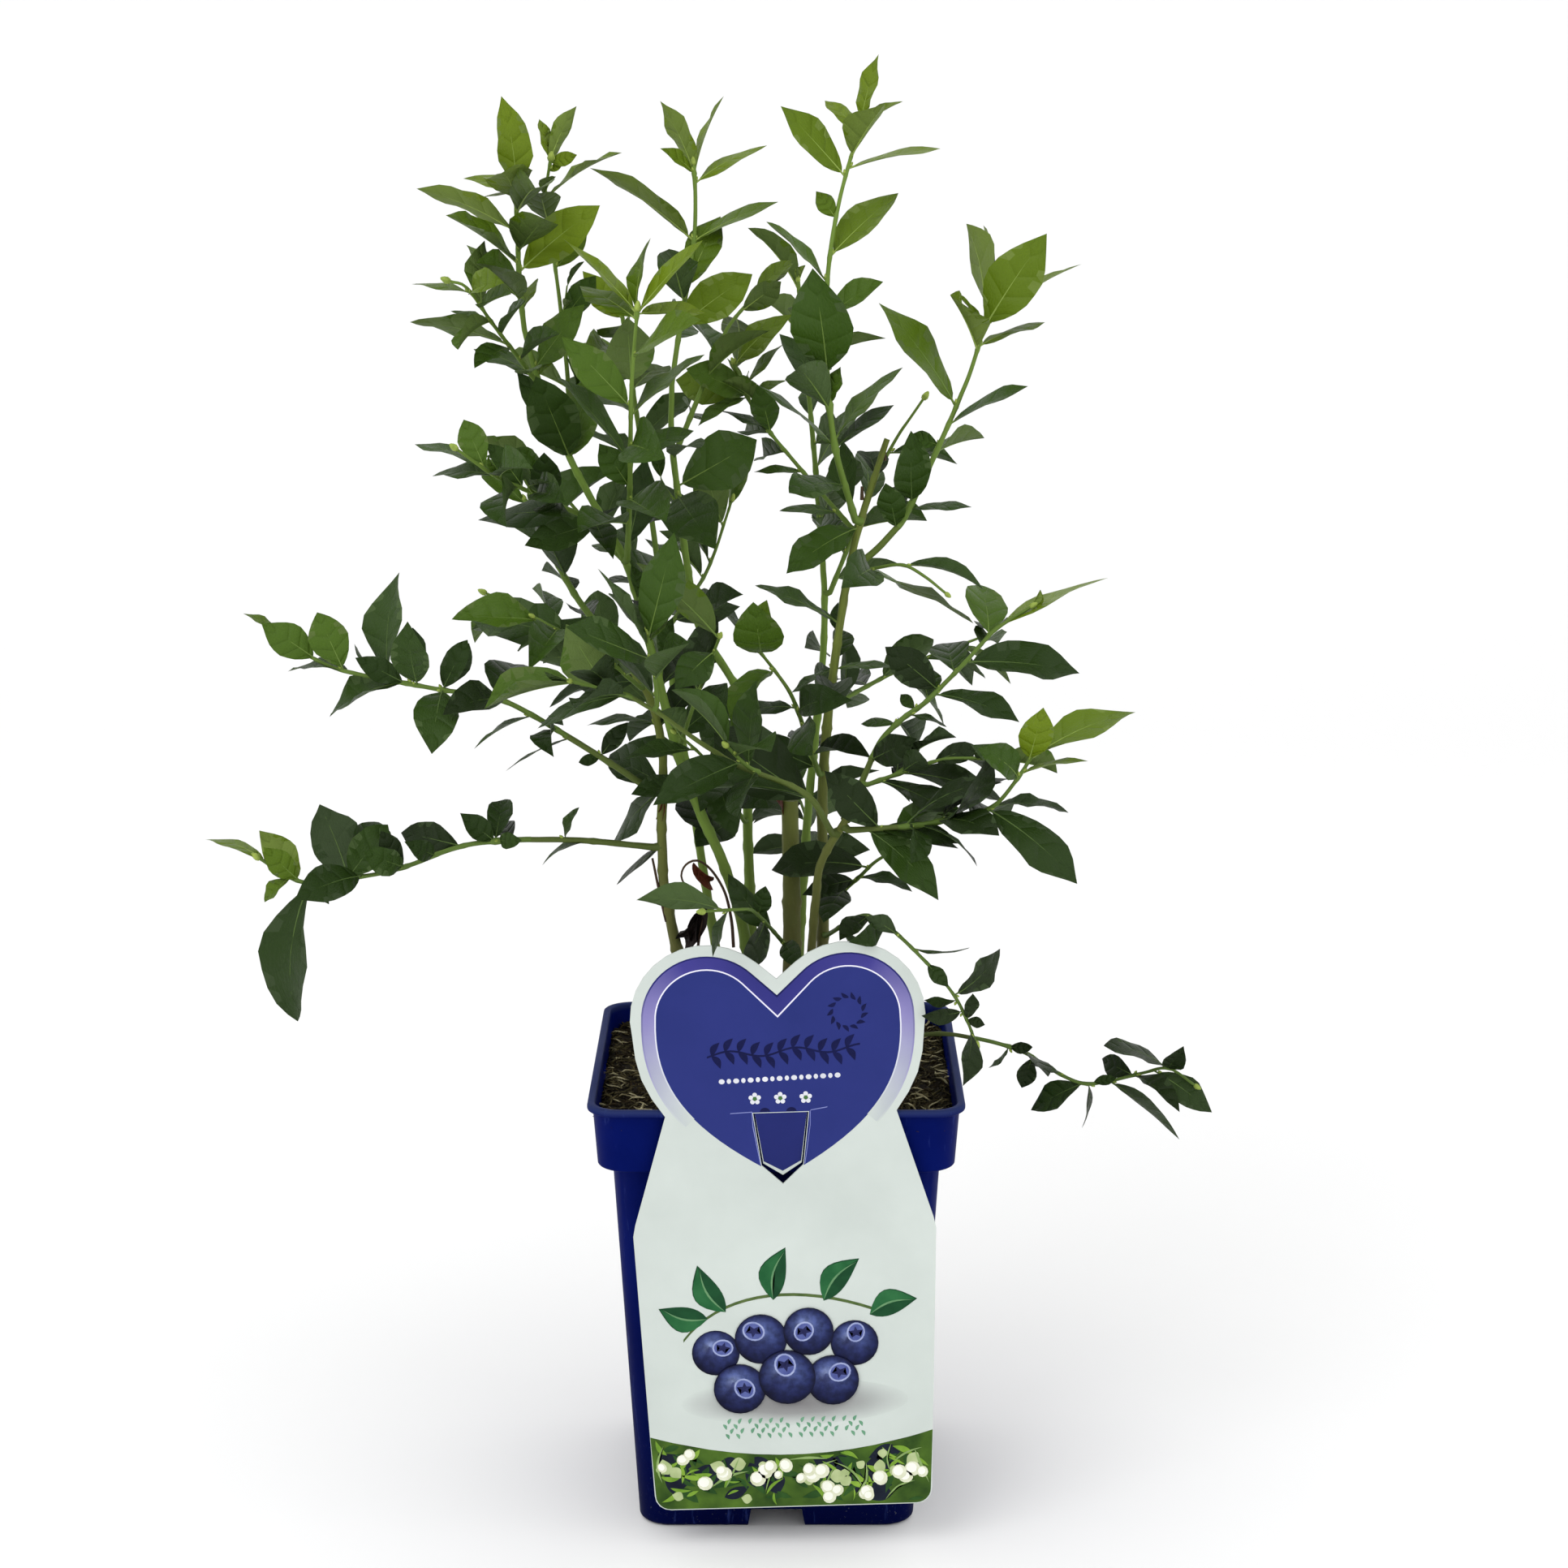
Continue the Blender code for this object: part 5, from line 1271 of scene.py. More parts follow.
def lightAndAgeToneOf(leaf, extra):
    # How bright a leaf is, 0 to 1: by its height, as painted light and shade, by its place on the shoot, for
    # young tips, and by chance.
    height = min(1, max(0, (leaf["root"].z - toneRule["low"]) / (toneRule["high"] - toneRule["low"])))
    tipness = max(0, leaf["share"] - toneRule["tipStart"]) / (1 - toneRule["tipStart"])
    tipness *= min(1, max(0, (leaf["root"].z - toneRule["dimBelow"]) / toneRule["dimDepth"]))
    value = toneRule["deep"] + toneRule["rise"] * height ** toneRule["bend"]
    value += toneRule["chance"] * extra["tone"]
    value += tipness * (toneRule["tip"] + toneRule["highTip"] * height)
    if leaf["shoot"] in brightTips and leaf["share"] > toneRule["brightStart"]:
        value += toneRule["bright"]
    # Painted shade: hanging and steeply down-turned leaves are held dark.
    if leaf["pose"] == "hanging" or leaf["ahead"].z < toneRule["hangingBelow"]:
        value = min(value, toneRule["hanging"])
    return min(0.999, max(0, value))


# Painted light: leaves go from painted shade at the low height to lit at the high one, low tips are dimmed,
# and hanging leaves are held in painted shade.
toneRule = {"low": 0.27, "high": 0.62, "deep": 0.1, "rise": 0.58, "bend": 1.3, "chance": 0.14, "tip": 0.26,
            "highTip": 0.08, "hanging": 0.14, "tipStart": 0.6, "dimBelow": 0.25, "dimDepth": 0.04,
            "bright": 0.4, "brightStart": 0.86, "hangingBelow": -0.55}
brightTips = ("bough_lower_left", "bough_mid_right", "bough_front_right")


def buildFoliage(leaves):
    build = newBuild()
    ribs = newBuild()
    for leaf in leaves:
        extra = bladeExtras(leaf)
        # The leaf's painted light and shade, with its age, picks its top, underside and rib colours.
        value = lightAndAgeToneOf(leaf, extra)
        addBlade(build, leaf, extra, int(value * len(topMaterials)),
                 len(topMaterials) + int(value * len(underMaterials)))
        addRib(ribs, leaf, extra, int(value * len(ribMaterials)))
    masses = nodesNamed("leaves_")
    place(finishBuild("leaves", build, topMaterials + underMaterials), masses)
    place(finishBuild("leafRibs", ribs, ribMaterials), masses)


# Twigs, bark and buds

def fineLimb(points, radiusOf, start=None, swells=(), collar=False):
    # A smooth route with a radius at each point: thick at a fork, and a little at each leaf.
    path = smoothPath(points, limbRule["fineStep"])
    if start is not None:
        path = [start] + path
    along = lengthsAlong(path)
    radii = []
    for a, spot in zip(along, path):
        radius = radiusOf(a / along[-1])
        radius *= 1 + sum(limbRule["nodeSwell"] * math.exp(-((spot - s).length / limbRule["nodeLength"]) ** 2)
                          for s in swells)
        if collar:
            radius *= 1 + limbRule["collar"] * math.exp(-a / limbRule["collarLength"])
        radii.append(radius)
    return path, radii


def limbCurve(name, limbs):
    curve = bpy.data.curves.new(name, "CURVE")
    curve.dimensions = "3D"
    for path, radii in limbs:
        spline = curve.splines.new("POLY")
        spline.points.add(len(path) - 1)
        for point, spot, radius in zip(spline.points, path, radii):
            point.co = (*spot, 1)
            point.radius = radius
    return newObject(name, curve)


def skinLimbs(name, limbs, surface, settings, nodes):
    guide = limbCurve(name + "Guide", limbs)
    mesh = runTree(guide, limbSkin, {"Sides": settings["sides"], "Ridge Height": settings["height"],
                                     "Ridge Scale": settings["scale"], "Material": surface})
    bpy.data.objects.remove(guide)
    mesh.name = name
    return place(newObject(name, mesh), nodes)


oldCanes = ("cane_left", "cane_old", "cane_mid", "cane_right")
oldBarkLook = {"sides": limbRule["caneSides"], "height": 0.45 * mm, "scale": 1.5}
youngBarkLook = {"sides": limbRule["boughSides"], "height": 0.2 * mm, "scale": 1.5}
twigLook = {"sides": limbRule["twigSides"], "height": 0.1 * mm, "scale": 1.5}


def caneRadius(limb, low, high, total):
    foot = limbRule["flareHeight"] * 1.6

    def radiusOf(share):
        radius = radiusAt(limb, low + (high - low) * share)
        if not limb["parent"]:
            radius *= 1 + (limbRule["flare"] - 1) * math.exp(-(share * total / foot) ** 2)
        return radius

    return radiusOf


def buildLimbs(plans, twiglets):
    oldBark = barkLike("oliveBark", (74, 62, 38), (112, 126, 52), (215, 380), (92, 98, 56), 0.0004)
    greenBark = barkLike("greenBark", (80, 90, 40), (110, 138, 54), (200, 330), (96, 118, 56), 0.0003)
    youngBark = barkLike("youngBark", (66, 76, 36), (98, 118, 46), (230, 480), (88, 100, 54), 0.0002)
    twigSkin = barkLike("twigSkin", (66, 88, 34), (106, 132, 52), (250, 560), (106, 130, 62), 0.0001)
    caneLimbs, greenLimbs, boughLimbs, twigLimbs = [], [], [], []
    for plan in plans:
        limb = plan["limb"]
        if plan["bare"]:
            total = lengthsAlong(plan["bare"])[-1]
            knots = [pointAt(plan["bare"], (k + 0.5) * limbRule["nodeApart"] / total)[0]
                     for k in range(1, int(total / limbRule["nodeApart"]))]
            made = fineLimb(plan["bare"], caneRadius(limb, 0, plan["low"], total), plan["inside"], knots,
                            bool(limb["parent"]))
            barkSet = caneLimbs if limb["name"] in oldCanes else greenLimbs
            (boughLimbs if limb["parent"] else barkSet).append(made)
        if plan["stem"]:
            stem = plan["stem"]
            start = plan["bare"][-1] if plan["bare"] else plan["inside"]
            radiusOf = caneRadius(limb, plan["low"], 1, 1) if limb["parent"] else (
                lambda share, limb=limb, low=plan["low"]: radiusAt(limb, low + (1 - low) * share))
            twigLimbs.append(fineLimb(stem, radiusOf, start, plan["leafAt"], not plan["bare"]))
    for path in twiglets:
        twigLimbs.append(fineLimb(path, lambda share: twigletRule["radius"] * (1.15 - 0.5 * share),
                                  None, path[1:2], True))
    greenCanes = [name for name in nodesNamed("cane_") if name not in oldCanes]
    skinLimbs("caneBark", caneLimbs, oldBark, oldBarkLook, oldCanes)
    skinLimbs("greenCaneBark", greenLimbs, greenBark, oldBarkLook, greenCanes)
    skinLimbs("boughBark", boughLimbs, youngBark, youngBarkLook, nodesNamed("bough_"))
    skinLimbs("twigs", twigLimbs, twigSkin, twigLook, nodesNamed("leaves_"))


budLook = {"seed": 17, "segments": 7, "rings": 5, "width": 0.42, "taper": 0.55, "axil": (1.5, 2.6),
           "tip": (3.5, 5.5), "aim": (0.8, 0.6), "out": 0.7, "above": 0.8, "sunk": 0.6}


def budShape():
    # A pointed scale-covered bud, one unit long from its foot at the origin.
    shape = bmesh.new()
    bmesh.ops.create_uvsphere(shape, u_segments=budLook["segments"], v_segments=budLook["rings"], radius=0.5)
    for vert in shape.verts:
        height = vert.co.z + 0.5
        slim = budLook["width"] * 2 * (1 - budLook["taper"] * height)
        vert.co = (vert.co.x * slim, vert.co.y * slim, height)
    return newObject("budShape", closedMesh(shape, "budShape"))


def buildBuds(leaves, plans):
    dice = random.Random(budLook["seed"])
    onward, outward = budLook["aim"]
    spots, aims, sizes = [], [], []
    for leaf in leaves:
        if leaf["pose"] != "last":
            foot = leaf["root"] + leaf["ahead"] * budLook["out"] * mm
            spots.append(foot + leaf["along"] * budLook["above"] * mm)
            aims.append((leaf["along"] * onward + leaf["ahead"] * outward).normalized())
            sizes.append(dice.uniform(*budLook["axil"]) * mm)
    for plan in plans:
        if plan["stem"]:
            spot, along = pointAt(plan["stem"], 1.0)
            spots.append(spot - along * budLook["sunk"] * mm)
            aims.append(along)
            sizes.append(dice.uniform(*budLook["tip"]) * mm)
    mesh = bpy.data.meshes.new("budPoints")
    mesh.from_pydata([tuple(s) for s in spots], [], [])
    mesh.attributes.new("aim", "FLOAT_VECTOR", "POINT").data.foreach_set(
        "vector", [number for aim in aims for number in aim])
    mesh.attributes.new("grow", "FLOAT", "POINT").data.foreach_set("value", sizes)
    points = newObject("budPoints", mesh)
    shape = budShape()
    budSkin = printed("budSkin", (120, 140, 62), (160, 178, 84), 400.0, (0.45, 0.6))
    result = runTree(points, budsOnPoints, {"Shape": shape, "Material": budSkin})
    for obj in (points, shape):
        bpy.data.objects.remove(obj)
    result.name = "buds"
    place(newObject("buds", result))


youngLook = {"seed": 23, "length": (9, 15), "width": 0.3, "fold": 1.3, "droop": 12, "perTip": 2}


def youngLeaves(plans, others):
    # Narrow new leaves, still half rolled, round the end of each shoot and clear of its last leaf.
    dice = random.Random(youngLook["seed"])
    made = []
    for plan in plans:
        if not plan["stem"]:
            continue
        spot, along = pointAt(plan["stem"], 1.0)
        for i in range(youngLook["perTip"]):
            around = aroundTwig(along, dice.uniform(0, 2 * math.pi))
            ahead = (along * 0.93 + around * 0.35).normalized()
            length = dice.uniform(*youngLook["length"]) * mm
            face = (around * -1 - ahead * (around * -1).dot(ahead)).normalized()
            made.append({"root": spot - along * 1 * mm, "ahead": ahead, "face": face, "length": length,
                         "width": length * youngLook["width"], "droop": youngLook["droop"] * degree,
                         "fold": youngLook["fold"], "pose": "last", "share": 1.0, "along": along,
                         "shoot": plan["limb"]["name"], "number": kindStart["young"] + i})
    return [leaf for leaf in made if inReach(leaf["root"] + leaf["ahead"] * leaf["length"])
            and isClear(proxyLeaf(leaf, -leaf["length"] * leafRule["thick"] / 4), others)]


# Dried twigs, and dried leaves from foot to tip with their width, in millimetres.
driedTwigs = (
    {"through": ((-19, -27, 262), (-20, -27, 275), (-23, -28, 288), (-29, -28, 298), (-35, -28, 302),
                 (-40, -28, 300), (-42, -28, 295), (-40, -29, 290)), "radius": (0.75, 0.4)},
    {"through": ((-49, -20, 272), (-52, -21, 286), (-55, -20, 301)), "radius": (0.8, 0.5)},
    {"through": ((-36, -29, 252), (-34, -30, 268), (-30, -30, 285)), "radius": (0.7, 0.5)},
    {"through": ((5, -10, 312), (5.5, -10, 319), (4.5, -10, 325)), "radius": (1.3, 0.7)},
    {"through": ((38, 15, 456), (38, 15, 462)), "radius": (0.9, 0.6)},
    {"through": ((48, 20, 473), (48, 20, 479)), "radius": (0.9, 0.6)},
)
driedLeaves = (
    {"foot": (-37, -28, 302), "tip": (-31, -31, 290), "wide": 7.5, "rusty": True, "face": (-0.3, -1, 0.1)},
    {"foot": (-31, -30, 285), "tip": (-38, -31, 259), "wide": 9.5, "rusty": False, "face": (0.4, -1, 0.2)},
    {"foot": (-33, -30, 281), "tip": (-42, -32, 265), "wide": 5.0, "rusty": False, "face": (-0.6, -1, 0.3)},
    {"foot": (5, -10, 316), "tip": (1.5, -13, 327), "wide": 5.5, "rusty": True, "face": (0.5, -1, 0)},
    {"foot": (6, -10, 316), "tip": (9, -13, 324), "wide": 3.5, "rusty": False, "face": (-0.5, -1, 0)},
    {"foot": (-50, -23, 330), "tip": (-49, -23, 317), "wide": 4.0, "rusty": True, "face": (0.1, -1, 0.2)},
)
driedLook = {"droop": 70, "fold": 0.9, "twist": 0.9, "ripple": 0.55, "curl": 0.3, "widen": 1.3}


def buildDried():
    # The few dead bits among the canes: bare stalks and shrivelled leaves.
    bark = barkLike("driedBark", (54, 38, 30), (88, 70, 48), (250, 330), (36, 26, 24), 0.0003)
    limbs = []
    for twig in driedTwigs:
        thick, thin = twig["radius"]
        limbs.append(fineLimb([Vector(p) * mm for p in twig["through"]],
                              lambda share, thick=thick, thin=thin: (thick + (thin - thick) * share) * mm))
    skinLimbs("driedTwigs", limbs, bark, twigLook, ["cane_left"])
    build = newBuild()
    for number, dried in enumerate(driedLeaves):
        foot, tip = (Vector(dried[end]) * mm for end in ("foot", "tip"))
        ahead = (tip - foot).normalized()
        face = Vector(dried["face"])
        face = (face - ahead * face.dot(ahead)).normalized()
        leaf = {"root": foot, "ahead": ahead, "face": face, "length": (tip - foot).length * 1.1,
                "width": dried["wide"] * mm * driedLook["widen"], "droop": driedLook["droop"] * degree,
                "fold": driedLook["fold"], "pose": "dried", "share": 0.5, "along": up, "shoot": "dried",
                "number": number}
        extra = bladeExtras(leaf)
        extra.update(twist=driedLook["twist"] * (1 if number % 2 else -1), ripple=driedLook["ripple"],
                     curl=driedLook["curl"])
        slot = 0 if dried["rusty"] else 1
        addBlade(build, leaf, extra, slot, slot)
    place(finishBuild("driedLeaves", build, driedMaterials))


plans = planLimbs()
leaves, grownTrees = growAll(plans)
twiglets, smallLeaves = growTwiglets(leaves, grownTrees)
print("leaves:", len(leaves), "small leaves:", len(smallLeaves), "twiglets:", len(twiglets))
newTips = youngLeaves(plans, grownTrees)
buildFoliage(leaves + smallLeaves + newTips)
buildLimbs(plans, twiglets)
buildBuds(leaves, plans)
buildDried()
print("plant ready")


# Pot

potLook = {"height": 204, "baseHalf": 62.1, "shoulderHalf": 72.2, "shoulder": 176, "collarLow": 78.4,
           "collarTop": 80.6, "lipHalf": 82.5, "lip": 3.2, "lipRound": 1.2, "corner": 13, "cornerSteps": 10,
           "baseRound": 3, "collarRound": 1.6, "wall": 1.6, "floor": 12,
           "notchLow": 14.5, "notchTop": 11.5, "notchHeight": 9, "notchDepth": 34,
           "drainRadius": 4.5, "drainOffset": 38, "slotLength": 14, "slotTall": 5, "slotHeight": 196}


def roundSquare(half, corner, height, steps):
    # Points round a square with round corners, anticlockwise from its right side.
    points = []
    for quarter in range(4):
        for i in range(steps + 1):
            angle = (quarter * 90 + i * 90 / steps) * degree
            middle = ((half - corner) * (1 if quarter in (0, 3) else -1),
                      (half - corner) * (1 if quarter in (0, 1) else -1))
            points.append(Vector((middle[0] + corner * math.cos(angle), middle[1] + corner * math.sin(angle),
                                  height)) * mm)
    return points


def loftMesh(name, rings):
    shape = bmesh.new()
    rows = [[shape.verts.new(p) for p in ring] for ring in rings]
    for low, high in zip(rows, rows[1:]):
        bridge(shape, low, high)
    shape.faces.new(rows[0][::-1])
    shape.faces.new(rows[-1])
    return closedMesh(shape, name)


def quarterRound(half, height, radius, outward, start, end, steps=3):
    # (half width, height) round an edge, about a centre, with angles in degrees.
    return [(half + radius * outward * math.cos((start + (end - start) * i / steps) * degree),
             height + radius * math.sin((start + (end - start) * i / steps) * degree))
            for i in range(steps + 1)]


def potProfile():
    look = potLook
    under = look["shoulder"] - look["collarRound"]

    def bodyHalf(height):
        return look["baseHalf"] + (look["shoulderHalf"] - look["baseHalf"]) * height / look["shoulder"]

    foot, collar, lip = look["baseRound"], look["collarRound"], look["lipRound"]
    outer = quarterRound(look["baseHalf"] - foot + 0.15, foot, foot, 1, -90, 0, 4)
    outer += [(bodyHalf(height), height) for height in (60, 120, under - 1)]
    outer.append((bodyHalf(under) + 0.6, under))
    outer += quarterRound(look["collarLow"] - collar, look["shoulder"], collar, 1, -90, 0, 4)
    lipLow = look["height"] - look["lip"]
    outer += [(look["collarTop"] - 0.5, lipLow - 0.8), (look["collarTop"], lipLow)]
    outer += quarterRound(look["lipHalf"] - lip, lipLow + lip, lip, 1, -90, 0)
    outer += quarterRound(look["lipHalf"] - lip, look["height"] - lip, lip, 1, 0, 90)
    mouth = look["collarTop"] - look["wall"]
    inner = quarterRound(mouth + lip - 0.3, look["height"] - lip + 0.3, lip - 0.3, -1, 90, 0)
    ledge = look["shoulder"]
    inner += [(look["collarLow"] - look["wall"], ledge), (bodyHalf(ledge) - look["wall"], ledge),
              (bodyHalf(look["floor"]) - look["wall"], look["floor"])]
    return outer, inner


def boxCutter(name, corners):
    shape = bmesh.new()
    verts = [shape.verts.new(Vector(c) * mm) for c in corners]
    for face in ((0, 1, 2, 3), (4, 7, 6, 5), (0, 4, 5, 1), (1, 5, 6, 2), (2, 6, 7, 3), (3, 7, 4, 0)):
        shape.faces.new([verts[i] for i in face])
    return newObject(name, closedMesh(shape, name))


def wedge(low, top, reach, inside, bottom, high):
    return [(-low, -reach, bottom), (low, -reach, bottom), (low, -inside, bottom), (-low, -inside, bottom),
            (-top, -reach, high), (top, -reach, high), (top, -inside, high), (-top, -inside, high)]


def buildPot():
    look = potLook
    outer, inner = potProfile()
    rings = [roundSquare(half, look["corner"], height, look["cornerSteps"]) for half, height in outer]
    rings += [roundSquare(half, look["corner"] - look["wall"], height, look["cornerSteps"])
              for half, height in inner]
    pot = newObject("potShell", loftMesh("potShell", rings))
    cutters = []
    for side in range(4):
        turn = Matrix.Rotation(side * math.pi / 2, 4, "Z")
        sides = wedge(look["notchLow"], look["notchTop"], look["baseHalf"] + look["corner"],
                      look["baseHalf"] - look["notchDepth"], -look["notchHeight"], look["notchHeight"])
        notch = boxCutter("notch", sides)
        notch.data.transform(turn)
        shape = bmesh.new()
        wide = look["drainRadius"] * mm
        middle = Matrix.Translation((0, -look["drainOffset"] * mm, look["floor"] * mm))
        bmesh.ops.create_cone(shape, cap_ends=True, segments=20, radius1=wide, radius2=wide,
                              depth=look["floor"] * mm, matrix=turn @ middle)
        cutters += [notch, newObject("drain", meshFromShape(shape, "drain"))]
    for side in (-1, 1):
        ends = sorted((side * (look["collarLow"] - 2 * look["wall"]),
                       side * (look["lipHalf"] + look["wall"])))
        half, tall = look["slotLength"] / 2, look["slotTall"] / 2
        corners = [(x, y, look["slotHeight"] + z * tall) for z in (-1, 1)
                   for x, y in ((ends[0], -half), (ends[1], -half), (ends[1], half), (ends[0], half))]
        cutters.append(boxCutter("slot", corners))
    cut(pot, cutters)
    pot.data.materials.clear()
    pot.data.materials.append(navyPlastic())
    shadeSmooth(pot.data, 38)
    pot.data.name = "potShell"
    place(pot, ["pot"])


buildPot()
print("pot ready")


# Compost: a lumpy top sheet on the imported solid, strewn with bark fibres and straw

soilLook = {"top": 193, "flatRadius": 42, "rough": 2.6, "grain": 90, "rings": 44, "points": 128, "half": 77.9,
            "corner": 11.2, "lumps": 2.4, "lumpGrain": 130, "crumb": 0.9, "crumbGrain": 520, "lift": 0.5,
            "depth": 4, "dark": (15, 11, 8), "light": (29, 22, 13)}
fibreLooks = (
    {"name": "barkFibres", "density": 190000.0, "seed": 3, "size": (0.5, 1.3), "tilt": 0.35, "lift": 0.0004,
     "dark": (22, 17, 9), "light": (58, 48, 30)},
    {"name": "oliveFibres", "density": 90000.0, "seed": 8, "size": (0.6, 1.5), "tilt": 0.4, "lift": 0.0008,
     "dark": (40, 36, 20), "light": (90, 82, 54)},
    {"name": "paleStraws", "density": 13000.0, "seed": 21, "size": (0.7, 1.9), "tilt": 0.3, "lift": 0.0012,
     "dark": (128, 120, 90), "light": (180, 172, 138)},
)


def grainAt(x, y, grain, level):
    return noise.noise((x * mm * grain, y * mm * grain, level))


def soilHeight(x, y):
    far = math.hypot(x, y) - soilLook["flatRadius"]
    share = min(max(far / (soilLook["flatRadius"] / 3), 0), 1)
    return soilLook["top"] + share * soilLook["rough"] * grainAt(x, y, soilLook["grain"], 0)


def buildCompost():
    look = soilLook
    outline = roundSquare(look["half"], look["corner"], 0, look["points"] // 4 - 1)
    rings = []
    for k in range(1, look["rings"] + 1):
        ring = []
        for p in outline:
            x, y = p.x / mm * k / look["rings"], p.y / mm * k / look["rings"]
            calm = min(1, math.hypot(x, y) / 12)
            lump = look["lumps"] * grainAt(x, y, look["lumpGrain"], 3.1)
            crumb = look["crumb"] * grainAt(x, y, look["crumbGrain"], 7.7)
            level = soilHeight(x, y) + look["lift"]
            height = max(level, level + calm * (lump + crumb))
            ring.append(Vector((x, y, height)) * mm)
        rings.append(ring)
    skirt = [Vector((p.x, p.y, (look["top"] - look["depth"]) * mm)) for p in outline]
    top = newObject("compostTop", loftMesh("compostTop", rings + [skirt]),
                    soilLike("compostCrumb", look["dark"], look["light"], 160.0, 0.0012))
    shadeSmooth(top.data, 50)
    soil = frame["nodes"]["soil"]
    soil.data.materials.clear()
    soil.data.materials.append(soilLike("compostBody", look["dark"], look["light"], 90.0, 0.001))
    strewn = bmesh.new()
    strewn.from_mesh(top.data)
    low = (look["top"] - look["depth"] / 2) * mm
    bmesh.ops.delete(strewn, geom=[v for v in strewn.verts if v.co.z < low], context="VERTS")
    ground = newObject("strewn", meshFromShape(strewn, "strewn"))
    fibre = fibreShape()
    for settings in fibreLooks:
        surface = soilLike(settings["name"], settings["dark"], settings["light"], 300.0, 0.0004)
        least, most = settings["size"]
        mesh = runTree(ground, scatter, {
            "Shape": fibre, "Density": settings["density"], "Seed": settings["seed"], "Smallest": least,
            "Largest": most, "Tilt": settings["tilt"], "Lift": settings["lift"], "Material": surface})
        mesh.name = settings["name"]
        place(newObject(settings["name"], mesh))
    for obj in (ground, fibre):
        bpy.data.objects.remove(obj)
    place(top)


fibreLook = {"length": 5.2, "width": 0.8, "thick": 0.45, "arch": 0.9, "sections": 4}


def fibreShape():
    # A short bent strip of bark, thick in its middle and thin at its ends.
    look = fibreLook
    shape = bmesh.new()
    rings = []
    for i in range(look["sections"] + 1):
        t = i / look["sections"]
        slim = 0.25 + 0.75 * math.sin(math.pi * t)
        x = (t - 0.5) * look["length"]
        y = look["arch"] * (0.5 - (2 * t - 1) ** 2)
        z = 0.25 * look["arch"] * math.sin(2 * math.pi * t)
        half, tall = look["width"] / 2 * slim, look["thick"] / 2 * slim
        rings.append([shape.verts.new(Vector((x, y + a * half, z + b * tall)) * mm)
                      for a, b in ((-1, -0.5), (1, -0.5), (0.6, 1), (-0.6, 1))])
    for low, high in zip(rings, rings[1:]):
        bridge(shape, low, high)
    shape.faces.new(rings[0])
    shape.faces.new(rings[-1][::-1])
    return newObject("fibreShape", closedMesh(shape, "fibreShape"))


buildCompost()
print("compost ready")


# Card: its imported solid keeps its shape, and the print lies on it in thin layers

cardLook = {"turn": -1.8, "shift": 2, "hang": 204, "front": 83.8, "layer": 0.03,
            "lobe": (30.4, 246.8), "lineRadius": 22.2, "lineNotch": 247.3, "tip": 174.5, "notchGrow": 1.6,
            "kept": 36, "bandWidth": 5.3, "lineWidth": 0.6, "contour": 0.7,
            "windowTop": 204.3, "windowHalf": 12.3, "windowLow": 179.8, "windowLowHalf": 9.2,
            "windowPoint": 171.0}
cardPlace = (Matrix.Translation(Vector((cardLook["shift"], 0, cardLook["hang"])) * mm)
             @ Matrix.Rotation(cardLook["turn"] * degree, 4, "Y")
             @ Matrix.Translation(Vector((0, 0, -cardLook["hang"])) * mm))


def onCard(x, z, layer):
    # A place on the card's front, in its own millimetres, on the numbered print layer.
    spot = Vector((x, -cardLook["front"] - layer * cardLook["layer"], z)) * mm
    return cardPlace @ spot


def slab(name, near, far, *materials, ears=False):
    # A closed solid between two outlines of equal count.
    shape = bmesh.new()
    near, far = [[shape.verts.new(spot) for spot in line] for line in (near, far)]
    bridge(shape, near, far)
    ends = [shape.faces.new(near), shape.faces.new(far[::-1])]
    if ears:
        bmesh.ops.triangulate(shape, faces=ends, ngon_method="EAR_CLIP")
    return newObject(name, closedMesh(shape, name), *materials)


def plate(name, outline, layer, surface, cutter=None):
    front, rear = [[onCard(x, z, depth) for x, z in outline] for depth in (layer, -0.5)]
    obj = slab(name, front, rear, surface, ears=True)
    if cutter:
        cut(obj, [cutter])
    return place(obj)


def strip(name, inner, outer, layer, surface):
    # A closed thin strip between two lines of equal count, with a map along and across it.
    build = newBuild()
    last = len(inner) - 1
    for front, line in ((layer, inner), (layer, outer), (-0.5, inner), (-0.5, outer)):
        build["places"] += [onCard(x, z, front) for x, z in line]
    count = len(inner)
    for i in range(last):
        u, v = i / last, (i + 1) / last
        rows = [k * count + i for k in range(4)]
        addFace(build, (rows[0], rows[0] + 1, rows[1] + 1, rows[1]), [(u, 0), (v, 0), (v, 1), (u, 1)], 0)
        addFace(build, (rows[2], rows[3], rows[3] + 1, rows[2] + 1), [(u, 0), (u, 1), (v, 1), (v, 0)], 0)
        addFace(build, (rows[0], rows[2], rows[2] + 1, rows[0] + 1), [(u, 0), (u, 0), (v, 0), (v, 0)], 0)
        addFace(build, (rows[1], rows[1] + 1, rows[3] + 1, rows[3]), [(u, 1), (v, 1), (v, 1), (u, 1)], 0)
    for i, u in ((0, 0), (last, 1)):
        corners = (i, count + i, 3 * count + i, 2 * count + i)
        addFace(build, corners if i == 0 else corners[::-1], [(u, 0.5)] * 4, 0)
    obj = finishBuild(name, build, [surface], "strip")
    shape = bmesh.new()
    shape.from_mesh(obj.data)
    bmesh.ops.recalc_face_normals(shape, faces=shape.faces)
    shape.to_mesh(obj.data)
    shape.free()
    obj.data.shade_flat()
    return place(obj)


def bezier(points, steps):
    a, b, c, d = [Vector(p) for p in points]
    return [tuple(a * (1 - t) ** 3 + b * 3 * t * (1 - t) ** 2 + c * 3 * t ** 2 * (1 - t) + d * t ** 3)
            for t in [i / steps for i in range(1, steps + 1)]]


